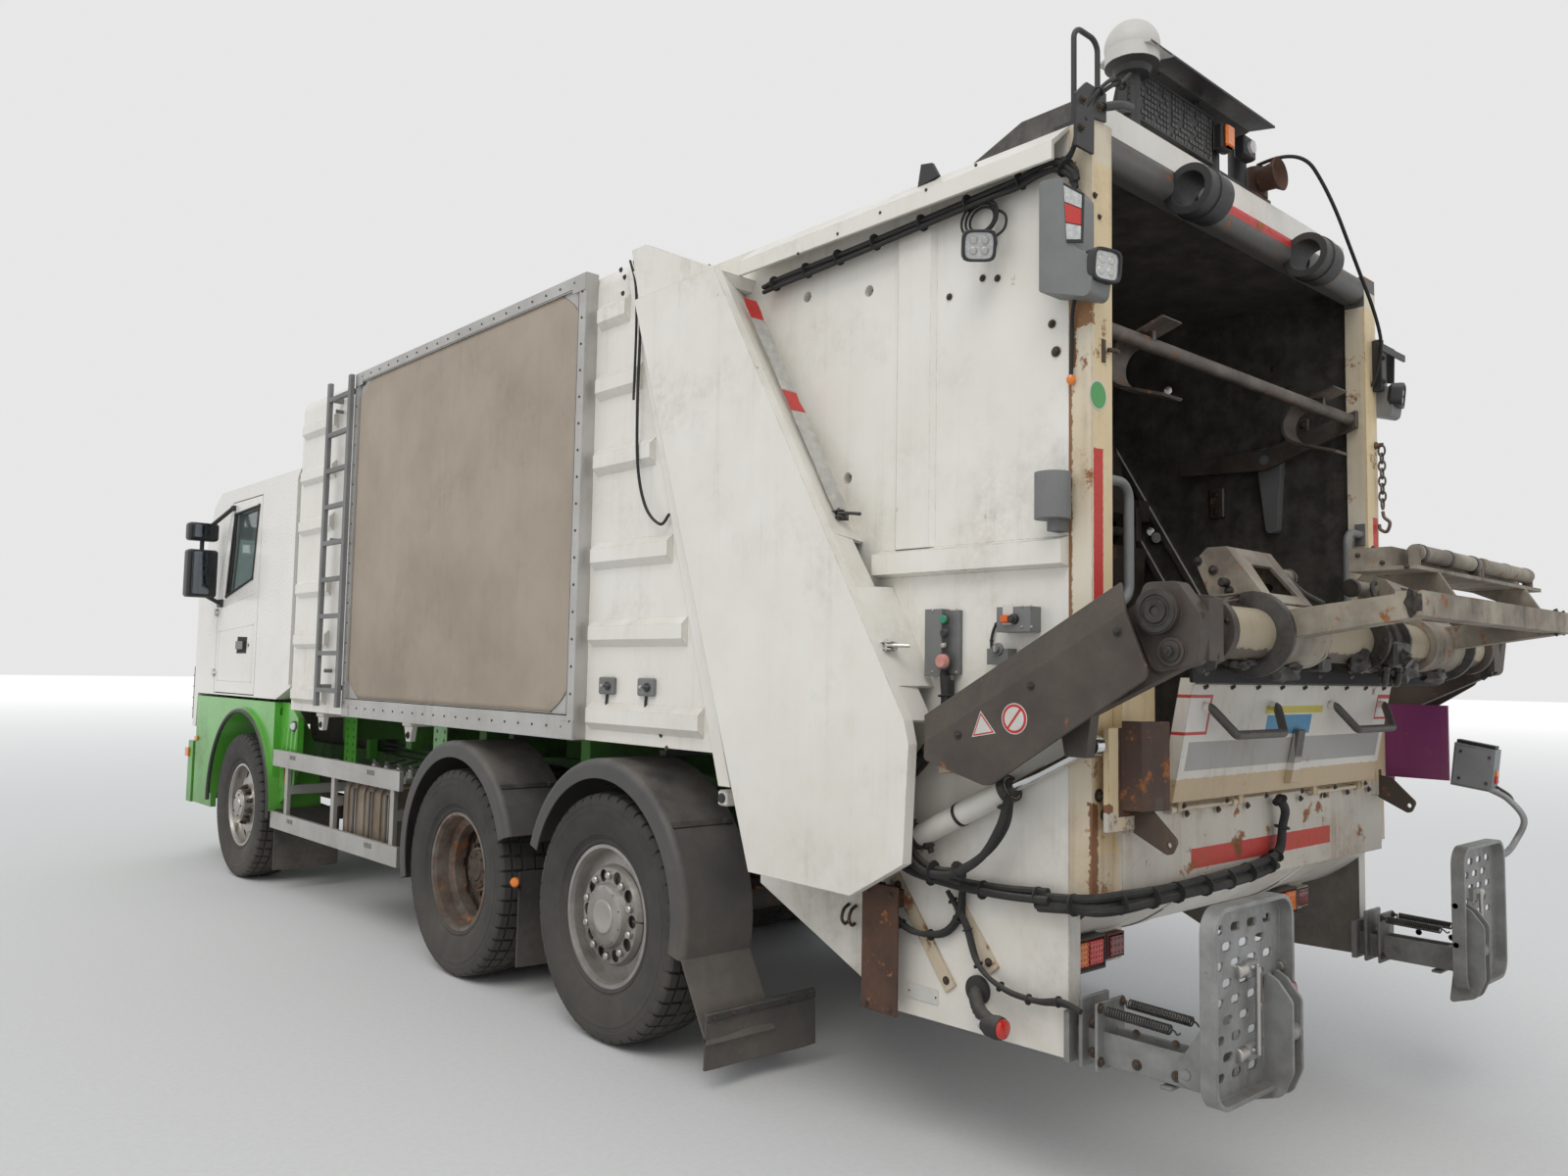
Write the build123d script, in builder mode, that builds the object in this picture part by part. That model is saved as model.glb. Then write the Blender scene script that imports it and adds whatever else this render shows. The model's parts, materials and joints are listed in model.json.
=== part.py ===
import os
from math import cos, radians, sin

from build123d import *

os.makedirs("parts", exist_ok=True)

# Rear-loading refuse truck with three axles. Millimetres, +X its left, +Y its rear, +Z up.
# The origin is on the road, midway along the overall length and width.

# Reach past the cab's nose and the torque tube, and axle places
bumper_reach = 90
lifter_reach = 440
mirror_y = -3900
mirror_gap = 50
mirror_width = 220
tag_y = 1630
axle_gap = 1355
wheelbase = 3500
drive_y = tag_y - axle_gap
front_y = drive_y - wheelbase

# Wheels
tyre_radius = 522
tyre_width = 300
bead_radius = 288
flange_height = 10
bead_width = 210
rim_wall = 12
well_depth = 38
single_disc = 40
twin_disc = -90
inner_disc = 70
hand_holes = 10
hand_radius = 28
hand_ring = 226
cover_ring = 168
cover_radius = 212
dome_radius = 128
wheel_z = tyre_radius
rear_face = 1245
front_face = 1215
twin_pitch = 330
spindle_radius = 45
hub_radius = 110
fit = 0.3
kingpin_x = 820
kingpin_radius = 24

# Ladder frame
rail_x = 420
rail_width = 70
rail_height = 270
rail_wall = 9
rail_bottom = 660
rail_front = -4430
rail_rear = 2330
rail_top = rail_bottom + rail_height
bearer_height = 120
bearer_reach = 900
tow_y = -4500
tow_low = 720
tow_high = 820
tow_radius = 20
drawbar_x = 160
drawbar_z = 100
drawbar_hole = 10.5

# Cab
cab_half = 1200
cab_wall = 60
cab_back = -2320
cab_floor = 1310
cab_roof = 2900
cab_nose = -4590
tilt_y = -4540
tilt_z = 1000
tilt_pin = 18
tilt_eye = 34
mirror_reach = cab_half + mirror_gap + mirror_width
front_end = cab_nose - bumper_reach
gap = 8
door_front = -3960
door_rear = -3030
door_bottom = 1330
door_top = 2790
door_hinge_y = door_front - 20
hinge_heights = (1480, 1950)
glass = 8

# Bumper
bumper_low = 430
bumper_high = 920
bumper_back = -4440
bumper_wall = 100
bumper_corner = 130
corner_y = -4560
lamp_in = 760
lamp_out = 1080
lamp_low = 620
lamp_high = 800
lamp_depth = 50

# Load body
body_front = -2250
body_bottom = 1250
body_top = 3370
body_half = cab_half
body_wall = 45
rib_height = 30
joint_post = 80
post_foot = 1130
joint_low_y = 2430
joint_low_z = 1200
joint_slope = -630 / 1920
joint_gap = 12
banner_front = -1205
banner_rear = 1415
banner_low = 1250
banner_high = 3350
banner_depth = 36
ladder_front = -1570
ladder_rear = -1230

# Tailgate
gate_half = 1060
gate_wall = 60
gate_rear = 3910
post_depth = 80
post_width = 110
post_bottom = 926
gate_top = 3260
hump_front = 3200
hump_knee = 3570
hump_half = 950
hump_rise = 140
cover_face = 1275
cover_skin = 40
hem_skin = 14
flange_out = 90
eaves_z = 3186
eaves_low = 3128
rail_low = 1896
rail_high = 1990
rail_depth = 40
wall_holes = ((2659, 2993), (2985, 2939), (2889, 2269))
hinge_y = 1790
hinge_z = 3345
pin_radius = 25
flap_half = 755
flap_bottom = 1190
flap_top = 1570
flap_lean = 75
flap_thick = 45
handle_out = 665
handle_in = 225
handle_high = 1484
handle_low = 1398
buffer_places = (500, -360)
buffer_y = 3958
buffer_z = 3168
buffer_radius = 84
buffer_band = 4
buffer_bore = 58
buffer_half = 75
lever_x = 895
opener_y = 3490
opener_z = 2530
opener_x = 918
opener_thick = 25
opener_pin = 20
flap_pin = 7
flap_pin_y = gate_rear + 48
flap_pin_z = flap_bottom - 26
beam_low = 900
beam_high = 1170

# Packer
slide_angle = 59.2
slide_travel = 750
packer_y = 2850
packer_z = 2250
blade_length = 620
blade_thick = 60
trough_radius = 705
trough_wall = 30
packer_half = 970

# Lifter
arm_pivot_y = 3500
arm_pivot_z = 1320
tube_y = 4240
tube_z = 1700
tube_radius = 75
rear_end = tube_y + lifter_reach
arm_x = 1150
arm_thick = 40
guard_x = 1250
guard_thick = 12
guard_flange = 92
guard_lean = 50
frame_half = 640
frame_wall = 70
head_in = 430
head_out = 720
hub_y = tube_y - 30
hub_z = tube_z + 45
barrel_y = 3230
barrel_z = 1010
eye_y = 3940
eye_z = 1370
cylinder_x = 1105

# Steps
step_pivot_y = 4200
step_pivot_z = 510
step_pin = 14
arm_half = 40
step_arm_x = 1000
step_tray_y = 4280
tray_x = 910
tray_z = 710
tray_width = 450
tray_height = 520
tray_corner = 70


def joint_y(z):
    return joint_low_y + (z - joint_low_z) * joint_slope


def roof_z(y):
    return gate_top + hump_rise * min(1, (y - hump_front) / (hump_knee - hump_front))


def block(x_range, y_range, z_range, mode=Mode.ADD):
    centre = [(low + high) / 2 for low, high in (x_range, y_range, z_range)]
    size = [high - low for low, high in (x_range, y_range, z_range)]
    with Locations(tuple(centre)):
        Box(*size, mode=mode)


def side_plate(x_range, points, mode=Mode.ADD):
    with BuildSketch(Plane.YZ.offset(x_range[0])) as outline:
        with BuildLine():
            Polyline(*points, close=True)
        make_face()
    extrude(outline.sketch, amount=x_range[1] - x_range[0], mode=mode)


def front_plate(y_range, points, mode=Mode.ADD):
    with BuildSketch(Plane.XZ.offset(-y_range[0])) as outline:
        with BuildLine():
            Polyline(*points, close=True)
        make_face()
    extrude(outline.sketch, amount=y_range[0] - y_range[1], mode=mode)


def bar(start, end, radius, mode=Mode.ADD):
    along = Vector(*end) - Vector(*start)
    with BuildSketch(Plane(origin=start, z_dir=along)) as section:
        Circle(radius)
    extrude(section.sketch, amount=along.length, mode=mode)


def cross_bar(x_range, y, z, radius, mode=Mode.ADD):
    bar((x_range[0], y, z), (x_range[1], y, z), radius, mode)


def arch(x_range, centre_y, centre_z, radius, thick, start, end, mode=Mode.ADD):
    with BuildSketch(Plane.YZ.offset(x_range[0])) as ring:
        with BuildLine():
            outer = CenterArc((centre_y, centre_z), radius + thick, start, end - start)
            inner = CenterArc((centre_y, centre_z), radius, start, end - start)
            Line(outer @ 0, inner @ 0)
            Line(outer @ 1, inner @ 1)
        make_face()
    extrude(ring.sketch, amount=x_range[1] - x_range[0], mode=mode)


def tube(points, bend, radius):
    with BuildLine() as route:
        FilletPolyline(*points, radius=bend)
    with BuildSketch(Plane(origin=route.line @ 0, z_dir=route.line % 0)) as section:
        Circle(radius)
    sweep(section.sketch, path=route.line)


def rounded_plate(x_range, points, radii, mode=Mode.ADD):
    with BuildSketch(Plane.YZ.offset(x_range[0])) as outline:
        with BuildLine():
            FilletPolyline(*points, radius=radii, close=True)
        make_face()
    extrude(outline.sketch, amount=x_range[1] - x_range[0], mode=mode)


def save(piece, name):
    piece.part.label = name
    export_step(piece.part, f"parts/{name}.step")


# Tyres and rims, by wheel: side (+1 left), axle place, outer face and how many tyres
wheels = {
    "front_left": (1, front_y, front_face, 1),
    "front_right": (-1, front_y, front_face, 1),
    "drive_left": (1, drive_y, rear_face, 2),
    "drive_right": (-1, drive_y, rear_face, 2),
    "tag_left": (1, tag_y, rear_face, 1),
    "tag_right": (-1, tag_y, rear_face, 1),
}


def wheel_plane(x, y):
    return Plane(origin=(x, y, wheel_z), x_dir=(1, 0, 0), z_dir=(0, 0, 1))


def wheel_axis(y, side=1):
    return Axis((0, y, wheel_z), (side, 0, 0))


def tyre_section():
    half = tyre_width / 2
    bead = bead_width / 2
    inner = bead_radius + fit
    shoulder = tyre_radius - 22
    with BuildLine() as outline:
        Polyline((-half + 12, shoulder), (-half + 40, tyre_radius), (half - 40, tyre_radius), (half - 12, shoulder))
        ThreePointArc((half - 12, shoulder), (half, 400), (bead, inner + 14))
        Polyline((bead, inner + 14), (bead, inner), (-bead, inner), (-bead, inner + 14))
        ThreePointArc((-bead, inner + 14), (-half, 400), (-half + 12, shoulder))
    make_face(outline.edges())


def rim_barrel(disc_x):
    bead = bead_width / 2 + fit
    flange = bead_radius + flange_height
    inner = bead_radius - rim_wall
    well = inner - well_depth
    with BuildLine() as outline:
        Polyline(
            (-bead - rim_wall, flange), (-bead, flange), (-bead, bead_radius), (-62, bead_radius),
            (-48, well + rim_wall), (14, well + rim_wall), (28, bead_radius), (bead, bead_radius),
            (bead, flange), (bead + rim_wall, flange), (bead + rim_wall, inner + 6), (bead - 8, inner),
            (30, inner), (14, well), (-48, well), (-64, inner), (-bead - rim_wall, inner), close=True,
        )
    make_face(outline.edges())
    with BuildLine() as disc:
        Polyline(
            (disc_x - 12, inner + 4), (disc_x + 8, inner + 4), (disc_x + 30, 195), (disc_x + 30, spindle_radius + 20),
            (disc_x + 16, spindle_radius + 20), (disc_x + 16, 189), close=True,
        )
    make_face(disc.edges())


def hub_cover(disc_x):
    rise = disc_x + 30
    with BuildLine() as outline:
        Polyline(
            (rise, cover_radius), (rise + 26, cover_radius - 14), (rise + 30, dome_radius + 10),
            (rise + 54, dome_radius), (rise + 60, dome_radius - 12), (rise + 60, 0), (rise + 54, 0),
            (rise + 54, dome_radius - 14), (rise + 48, dome_radius - 7), (rise + 23, dome_radius + 4),
            (rise + 20, cover_radius - 20), (rise - 1, cover_radius - 7), close=True,
        )
    make_face(outline.edges())


def hole_ring(x, axle, side, ring, radius, depth):
    with BuildSketch(Plane(origin=(x, axle, wheel_z), x_dir=(0, 1, 0), z_dir=(side, 0, 0))) as holes:
        with PolarLocations(ring, hand_holes):
            Circle(radius)
    extrude(holes.sketch, amount=depth, both=True, mode=Mode.SUBTRACT)


for name, (side, axle, face, count) in wheels.items():
    centres = [side * (face - tyre_width / 2 - twin_pitch * number) for number in range(count)]
    with BuildPart() as tyre:
        for centre in centres:
            with BuildSketch(wheel_plane(centre, axle)):
                tyre_section()
            revolve(axis=wheel_axis(axle))
    save(tyre, f"tyre_{name}")

    covered = name.startswith("tag")
    inset = single_disc if count == 1 else twin_disc
    with BuildPart() as rim:
        for number, centre in enumerate(centres):
            turned = Plane(origin=(centre, axle, wheel_z), x_dir=(side, 0, 0), z_dir=(0, 0, side))
            disc_x = inset if number == 0 else inner_disc
            with BuildSketch(turned):
                rim_barrel(disc_x)
            revolve(axis=wheel_axis(axle, side))
            if not covered:
                hole_ring(centre + side * (disc_x + 12), axle, side, hand_ring, hand_radius, 40)
        disc_out = centres[0] + side * (inset + 30)
        hub_out = 57 if covered else 62
        bar((disc_out - side * 190, axle, wheel_z), (disc_out + side * hub_out, axle, wheel_z), hub_radius)
        if not covered:
            bar((disc_out, axle, wheel_z), (disc_out + side * 12, axle, wheel_z), hub_radius + 34)
        bar((disc_out - side * 190, axle, wheel_z), (disc_out - side * 20, axle, wheel_z),
            spindle_radius + fit, Mode.SUBTRACT)
        if covered:
            with BuildSketch(turned):
                hub_cover(inset)
            revolve(axis=wheel_axis(axle, side))
            hole_ring(disc_out + side * 26, axle, side, cover_ring, hand_radius - 1, 12)
        if count == 2:
            join_in = centres[1] + side * inner_disc
            join_out = centres[0] + side * inset
            bar((join_in, axle, wheel_z), (join_out + side * 20, axle, wheel_z), 150)
            bar((join_in - side, axle, wheel_z), (join_out - side * 1, axle, wheel_z),
                spindle_radius + fit, Mode.SUBTRACT)
    save(rim, f"rim_{name}")

# Steered hubs: forked ears on the kingpin, with the spindle that carries the wheel
eye_half = 58
ear_top = 140
for name, side in (("left", 1), ("right", -1)):
    spindle_end = side * (front_face - tyre_width / 2 + 70 - 22)
    with BuildPart() as knuckle:
        bar((side * (kingpin_x + 50), front_y, wheel_z), (spindle_end, front_y, wheel_z), spindle_radius)
        block(sorted((side * (kingpin_x + 50), side * (kingpin_x + 75))), (front_y - 50, front_y + 50),
              (wheel_z - ear_top, wheel_z + ear_top))
        for low, high in ((-ear_top, -eye_half - 4), (eye_half + 4, ear_top)):
            bar((side * kingpin_x, front_y, wheel_z + low), (side * kingpin_x, front_y, wheel_z + high), 42)
            block(sorted((side * kingpin_x, side * (kingpin_x + 50))), (front_y - 40, front_y + 40),
                  (wheel_z + low, wheel_z + high))
        bar((side * kingpin_x, front_y, wheel_z - ear_top - 1), (side * kingpin_x, front_y, wheel_z + ear_top + 1),
            kingpin_radius, Mode.SUBTRACT)
        block(sorted((side * (kingpin_x - 25), side * (kingpin_x + 15))), (front_y + 30, front_y + 190),
              (wheel_z - ear_top, wheel_z - ear_top + 30))
    save(knuckle, f"knuckle_{name}")

# Front axle: a dropped beam with kingpin eyes and leaf springs up to the frame
with BuildPart() as front_axle:
    for side in (1, -1):
        bar((side * kingpin_x, front_y, wheel_z - eye_half), (side * kingpin_x, front_y, wheel_z + eye_half), 42)
        bar((side * kingpin_x, front_y, wheel_z - 138), (side * kingpin_x, front_y, wheel_z + 138),
            kingpin_radius - fit)
        front_plate((front_y - 45, front_y + 45),
                    [(side * (kingpin_x - 30), wheel_z - 50), (side * (kingpin_x - 30), wheel_z + 50),
                     (side * 520, wheel_z - 60), (side * 520, wheel_z - 150)])
        block(sorted((side * 385, side * 455)), (front_y - 700, front_y + 700), (wheel_z - 20, wheel_z + 25))
        block(sorted((side * 385, side * 455)), (front_y - 70, front_y + 70), (wheel_z - 61, wheel_z - 20))
        for shackle in (-700, 660):
            block(sorted((side * 390, side * 450)), (front_y + shackle, front_y + shackle + 40),
                  (wheel_z + 25, rail_bottom))
    block((-521, 521), (front_y - 45, front_y + 45), (wheel_z - 151, wheel_z - 60))
save(front_axle, "front_axle")

# Rear axles: drive housing with its differential and the tag beam, each on its springs
with BuildPart() as rear_axles:
    inner_face = rear_face - tyre_width - twin_pitch
    drive_end = rear_face - tyre_width / 2 - 90 - 1
    tag_end = rear_face - tyre_width / 2 + 70 - 22
    for axle, end in ((drive_y, drive_end), (tag_y, tag_end)):
        cross_bar((-end, end), axle, wheel_z, spindle_radius)
        cross_bar((-inner_face + 60, inner_face - 60), axle, wheel_z, 70)
        for side in (1, -1):
            block(sorted((side * 385, side * 455)), (axle - 90, axle + 90), (wheel_z + 40, rail_bottom))
            block(sorted((side * 380, side * 460)), (axle - 420, axle + 420), (wheel_z + 60, wheel_z + 95))
    with Locations((0, drive_y, wheel_z)):
        Sphere(190)
    bar((0, drive_y - 150, wheel_z + 20), (0, drive_y - 330, wheel_z + 60), 60)
save(rear_axles, "rear_axles")

# Ladder frame: two channel rails, cross members and the long bearers under the body
with BuildPart() as chassis_frame:
    rail_in = rail_x - rail_width / 2
    rail_out = rail_x + rail_width / 2
    block((rail_in, rail_out), (rail_front, rail_rear), (rail_bottom, rail_top))
    block((rail_in - 1, rail_out - rail_wall), (rail_front - 1, rail_rear + 1),
          (rail_bottom + rail_wall, rail_top - rail_wall), Mode.SUBTRACT)
    block((rail_in, rail_out), (body_front + 40, rail_rear), (rail_top, rail_top + bearer_height))
    ear = (rail_in - 19, rail_in + 29)
    side_plate(ear, [(rail_front + 50, rail_top - 40), (rail_front + 50, rail_top), (tilt_y + 20, tilt_z + 26),
                     (tilt_y - 24, tilt_z - 24), (tilt_y + 10, bumper_high + 8), (rail_front + 8, bumper_high + 8),
                     (rail_front + 8, rail_top - 40)])
    cross_bar(ear, tilt_y, tilt_z, tilt_eye)
    cross_bar((ear[0] - 1, ear[1] + 1), tilt_y, tilt_z, tilt_pin + fit, Mode.SUBTRACT)
    block((rail_in, rail_out), (-2620, -2580), (rail_top, cab_floor - fit))
    for y in (-2050, -1050, -100, 950, 2150):
        block((rail_in, bearer_reach), (y - 40, y + 40), (rail_top + bearer_height, body_bottom))
    mirror(about=Plane.YZ)
    for y in (-4330, -2450, -1000, drive_y - 500, tag_y - 500, 2200):
        block((-rail_out + rail_wall, rail_out - rail_wall), (y - 40, y + 40), (rail_bottom + 40, rail_top - 40))
    block((-60, 60), (tow_y - 50, -4370), (tow_low, tow_high))
    bar((0, tow_y, tow_low - 1), (0, tow_y, tow_high + 1), tow_radius, Mode.SUBTRACT)
    with BuildSketch(Plane.XZ.offset(-2241)) as drawbar_holes:
        with Locations((0, rail_bottom + rail_height / 2)):
            with GridLocations(drawbar_x, drawbar_z, 2, 2):
                Circle(drawbar_hole)
    extrude(drawbar_holes.sketch, amount=82, mode=Mode.SUBTRACT)
save(chassis_frame, "chassis_frame")

with BuildPart() as engine_block:
    block((-rail_in + 10, rail_in - 10), (-4150, -2900), (rail_bottom - 60, 1180))
    block((-240, 240), (-2900, -2500), (rail_bottom - 20, 1080))
    for side in (1, -1):
        block(sorted((side * (rail_in - 10), side * (rail_out - rail_wall))), (-3600, -3500), (760, 860))
save(engine_block, "engine_block")

# Front bumper with its corner sweeps and lamp recesses
with BuildPart() as bumper:
    with BuildSketch(Plane.XY.offset(bumper_low)):
        with BuildLine():
            Polyline((-cab_half, bumper_back), (-cab_half, corner_y), (-cab_half + bumper_corner, front_end + 20),
                     (-500, front_end), (500, front_end), (cab_half - bumper_corner, front_end + 20),
                     (cab_half, corner_y), (cab_half, bumper_back), close=True)
        make_face()
    extrude(amount=bumper_high - bumper_low)
    block((-cab_half + 50, cab_half - 50), (front_end + bumper_wall, bumper_back + 1),
          (bumper_low - 1, bumper_high - 40), Mode.SUBTRACT)
    for side in (1, -1):
        block(sorted((side * lamp_in, side * lamp_out)), (front_end - 1, front_end + bumper_wall - 1),
              (lamp_low, lamp_high), Mode.SUBTRACT)
        block(sorted((side * rail_in, side * rail_out)), (front_end + bumper_wall, rail_front),
              (rail_bottom + 40, rail_top - 50))
save(bumper, "bumper")

with BuildPart() as front_lamps:
    lamp_face = front_end + bumper_wall - 10 - lamp_depth
    for side in (1, -1):
        block(sorted((side * (lamp_in + fit), side * (lamp_out - fit))), (lamp_face, lamp_face + lamp_depth),
              (lamp_low + fit, lamp_high - fit))
save(front_lamps, "front_lamps")

# Front wheel arches, steps and the side lower panels
arch_radius = 680
fender_front = -4370
fender_rear = -2560
fender_top = 1290
with BuildPart() as front_fenders:
    side_plate((cab_half - 40, cab_half),
               [(fender_front, 440), (fender_front, fender_top), (fender_rear, fender_top), (fender_rear, 440)])
    side_plate((cab_half - 90, cab_half - 50),
               [(fender_rear - 30, 1290), (-2420, 1290), (-2240, 1190), (-2240, 900), (-2440, 640),
                (fender_rear - 30, 560)])
    block((cab_half - 90, cab_half - 40), (fender_rear - 30, fender_rear), (560, 1200))
    block((cab_half - 330, cab_half - 40), (fender_front, fender_rear), (fender_top - 40, fender_top))
    cross_bar((cab_half - 400, cab_half + 1), front_y, wheel_z, arch_radius, Mode.SUBTRACT)
    arch((cab_half - 330, cab_half + 25), front_y, wheel_z, arch_radius, 30, 2, 178)
    block((rail_out, cab_half - 330), (fender_rear - 60, fender_rear), (fender_top - 40, fender_top))
    block((rail_out, rail_out + 60), (fender_rear - 60, fender_rear), (rail_top - 60, fender_top))
    block((rail_out, cab_half - 330), (fender_front, fender_front + 60), (fender_top - 40, fender_top))
    block((rail_out, rail_out + 60), (fender_front, fender_front + 60), (rail_top - 60, fender_top))
    mirror(about=Plane.YZ)
save(front_fenders, "front_fenders")

# Rear mudguards: shells with a rolled outer edge over each rear axle, with their flaps and hangers
guard_radius = 600
guard_rise = 55
guard_skin = 8
guard_roll = 34
guard_in = 912
guard_out = 1262
with BuildPart() as rear_mudguards:
    for axle, start, end in ((drive_y, 18, 196), (tag_y, -12, 162)):
        centre_z = wheel_z + guard_rise
        rolled = guard_out - guard_roll
        top = guard_radius + guard_skin
        across = (0, cos(radians(start)), sin(radians(start)))
        along = (0, -across[2], across[1])
        with BuildSketch(Plane(origin=(0, axle, centre_z), x_dir=(1, 0, 0), z_dir=along)) as section:
            with BuildLine():
                outer = CenterArc((rolled, top - guard_roll), guard_roll, 0, 90)
                inner = CenterArc((rolled, top - guard_roll), guard_roll - guard_skin, 0, 90)
                Polyline(outer @ 1, (guard_in, top), (guard_in, top - guard_skin), inner @ 1)
                Polyline(inner @ 0, (guard_out - guard_skin, top - 84), (guard_out, top - 84), outer @ 0)
            make_face()
        revolve(section.sketch, axis=Axis((0, axle, centre_z), (1, 0, 0)), revolution_arc=end - start)
    for axle in (drive_y, tag_y):
        block((rail_out, guard_in + 20), (axle - 25, axle + 25),
              (wheel_z + guard_rise + guard_radius + guard_skin, wheel_z + guard_rise + guard_radius + 33))
        block((rail_out, rail_out + 12), (axle - 40, axle + 40), (rail_top - 90, rail_top + 260))
    side_plate((915, 1255), [(2215, 460), (2225, 460), (2390, 180), (2380, 180)])
    mirror(about=Plane.YZ)
save(rear_mudguards, "rear_mudguards")

# Side guard rails on their outriggers
with BuildPart() as side_guards:
    block((1190, 1215), (-2505, -455), (860, 970))
    block((1190, 1215), (-2505, -455), (440, 550))
    for y in (-2300, -1480, -600):
        block((1165, 1190), (y - 25, y + 25), (440, 970))
        block((rail_out, 1165), (y - 25, y + 25), (rail_bottom + 20, rail_bottom + 80))
    mirror(about=Plane.YZ)
save(side_guards, "side_guards")

# Silencer on the left and fuel tank on the right, hung on brackets
with BuildPart() as tanks:
    with BuildSketch(Plane.XZ.offset(1420)) as section:
        with Locations((830, 640)):
            RectangleRounded(620, 420, 70)
    extrude(section.sketch, amount=-740)
    for number in range(6):
        with BuildSketch(Plane.XZ.offset(1420 - 50 - number * 120)) as section:
            with Locations((830, 640)):
                RectangleRounded(640, 440, 78)
        extrude(section.sketch, amount=-40)
    block((rail_out, 560), (-1300, -1240), (700, 760))
    block((rail_out, 560), (-860, -800), (700, 760))
    with BuildSketch(Plane.XZ.offset(1420)) as section:
        with Locations((-830, 640)):
            RectangleRounded(600, 420, 120)
    extrude(section.sketch, amount=-740)
    block((-560, -rail_out), (-1300, -1240), (700, 760))
    block((-560, -rail_out), (-860, -800), (700, 760))
save(tanks, "tanks")

# Load body: a box open at its slanted rear joint, with sloped ribs and a post along the joint.
# Each rib's lowest and highest edge
rib_rows = ((1300, 1420), (1660, 1780), (2000, 2120), (2420, 2540), (2760, 2880), (3080, 3200))
with BuildPart() as load_body:
    side_plate((-body_half, body_half),
               [(body_front, body_bottom), (joint_y(body_bottom), body_bottom),
                (joint_y(body_top), body_top), (body_front, body_top)])
    fillet(load_body.edges().filter_by(Axis.Y).sort_by(Axis.Z)[-2:], 90)
    side_plate((-body_half + body_wall, body_half - body_wall),
               [(body_front + body_wall, body_bottom + body_wall), (joint_low_y + 300, body_bottom + body_wall),
                (joint_y(body_top) + 300, body_top - body_wall), (body_front + body_wall, body_top - body_wall)],
               Mode.SUBTRACT)
    for side in (1, -1):
        near, far = side * body_half, side * (body_half + rib_height)
        for low, high in rib_rows:
            rib = [(near, low), (far, low + rib_height), (far, high - rib_height), (near, high)]
            front_plate((banner_rear + 40, joint_y(high) - joint_post - 20), rib)
            front_plate((body_front + 60, ladder_front - 60), rib)
        side_plate(sorted((near, side * (body_half + 14))),
                   [(joint_y(post_foot) - joint_post, post_foot), (joint_y(post_foot) - 10, post_foot),
                    (joint_y(3290) - 10, 3290), (joint_y(3290) - joint_post, 3290)])
        side_plate(sorted((side * 800, side * 840)),
                   [(1600, body_top - 60), (1600, body_top + 20), (hinge_y, hinge_z + 45),
                    (hinge_y + 40, hinge_z), (hinge_y, hinge_z - 40), (joint_y(3290) - 2, 3290)])
        cross_bar(sorted((side * 800, side * 900)), hinge_y, hinge_z, pin_radius)
save(load_body, "load_body")

# Banner frames: aluminium edges with the sheet between them, and the rail below
with BuildPart() as banner_frames:
    inner = body_half
    outer = body_half + rib_height + banner_depth
    block((inner, outer), (banner_front, banner_rear), (banner_low, banner_high))
    block((outer - 14, outer + 1), (banner_front + 60, banner_rear - 60), (banner_low + 110, banner_high - 60),
          Mode.SUBTRACT)
    mirror(about=Plane.YZ)
save(banner_frames, "banner_frames")

# Ladder on the left side of the body
with BuildPart() as ladder:
    outer = body_half + 95
    for y in (ladder_front, ladder_rear):
        block((outer - 25, outer), (y - 20, y + 20), (1300, 3350))
        for z in (1420, 3250):
            block((body_half, outer - 25), (y - 15, y + 15), (z - 15, z + 15))
    for number in range(9):
        z = 1400 + number * 230
        block((outer - 25, outer), (ladder_front + 20, ladder_rear - 20), (z - 14, z + 14))
save(ladder, "ladder")

# Ejector plate, riding on the body's floor
ejector_y = body_front + 330
with BuildPart() as ejector_plate:
    lean = (3250 - 1420) * -joint_slope
    shoe_low = body_bottom + body_wall + fit
    side_plate((-body_half + body_wall + 25, body_half - body_wall - 25),
               [(ejector_y + lean, 1420), (ejector_y + lean + 60, 1420), (ejector_y + 60, 3250),
                (ejector_y, 3250)])
    for side in (1, -1):
        side_plate(sorted((side * 900, side * 960)),
                   [(body_front + 80, shoe_low), (ejector_y + lean + 60, shoe_low), (ejector_y + lean + 60, 1420),
                    (ejector_y + lean, 1420), (ejector_y + 300, 2300), (ejector_y + 200, 2300),
                    (body_front + 80, 1420)])
save(ejector_plate, "ejector_plate")

# Cab: side profile extruded across, hollow, with door and window openings
cab_profile = [(cab_nose, 1040), (cab_nose, 1900), (cab_nose + 60, 2020), (-4180, 2800), (-4000, cab_roof),
               (cab_back + 60, cab_roof), (cab_back, cab_roof - 60), (cab_back, 1420), (cab_back + 40, 1400),
               (-2560, 1310), (-4380, 1310), (-4400, 1040)]
door_profile = [(door_front, door_bottom), (door_rear, door_bottom), (door_rear, door_top), (-3700, door_top),
                (door_front, 2120)]
window_profile = [(-3770, 2070), (-3170, 2185), (-3090, 2720), (-3640, 2700)]


def side_shape(x_range, points, growth, mode=Mode.ADD, corner=0):
    with BuildSketch(Plane.YZ.offset(x_range[0])) as outline:
        with BuildLine():
            Polyline(*points, close=True)
        make_face()
        if growth:
            offset(amount=growth, kind=Kind.INTERSECTION)
        if corner:
            fillet(outline.vertices(), corner)
    extrude(outline.sketch, amount=x_range[1] - x_range[0], mode=mode)


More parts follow.
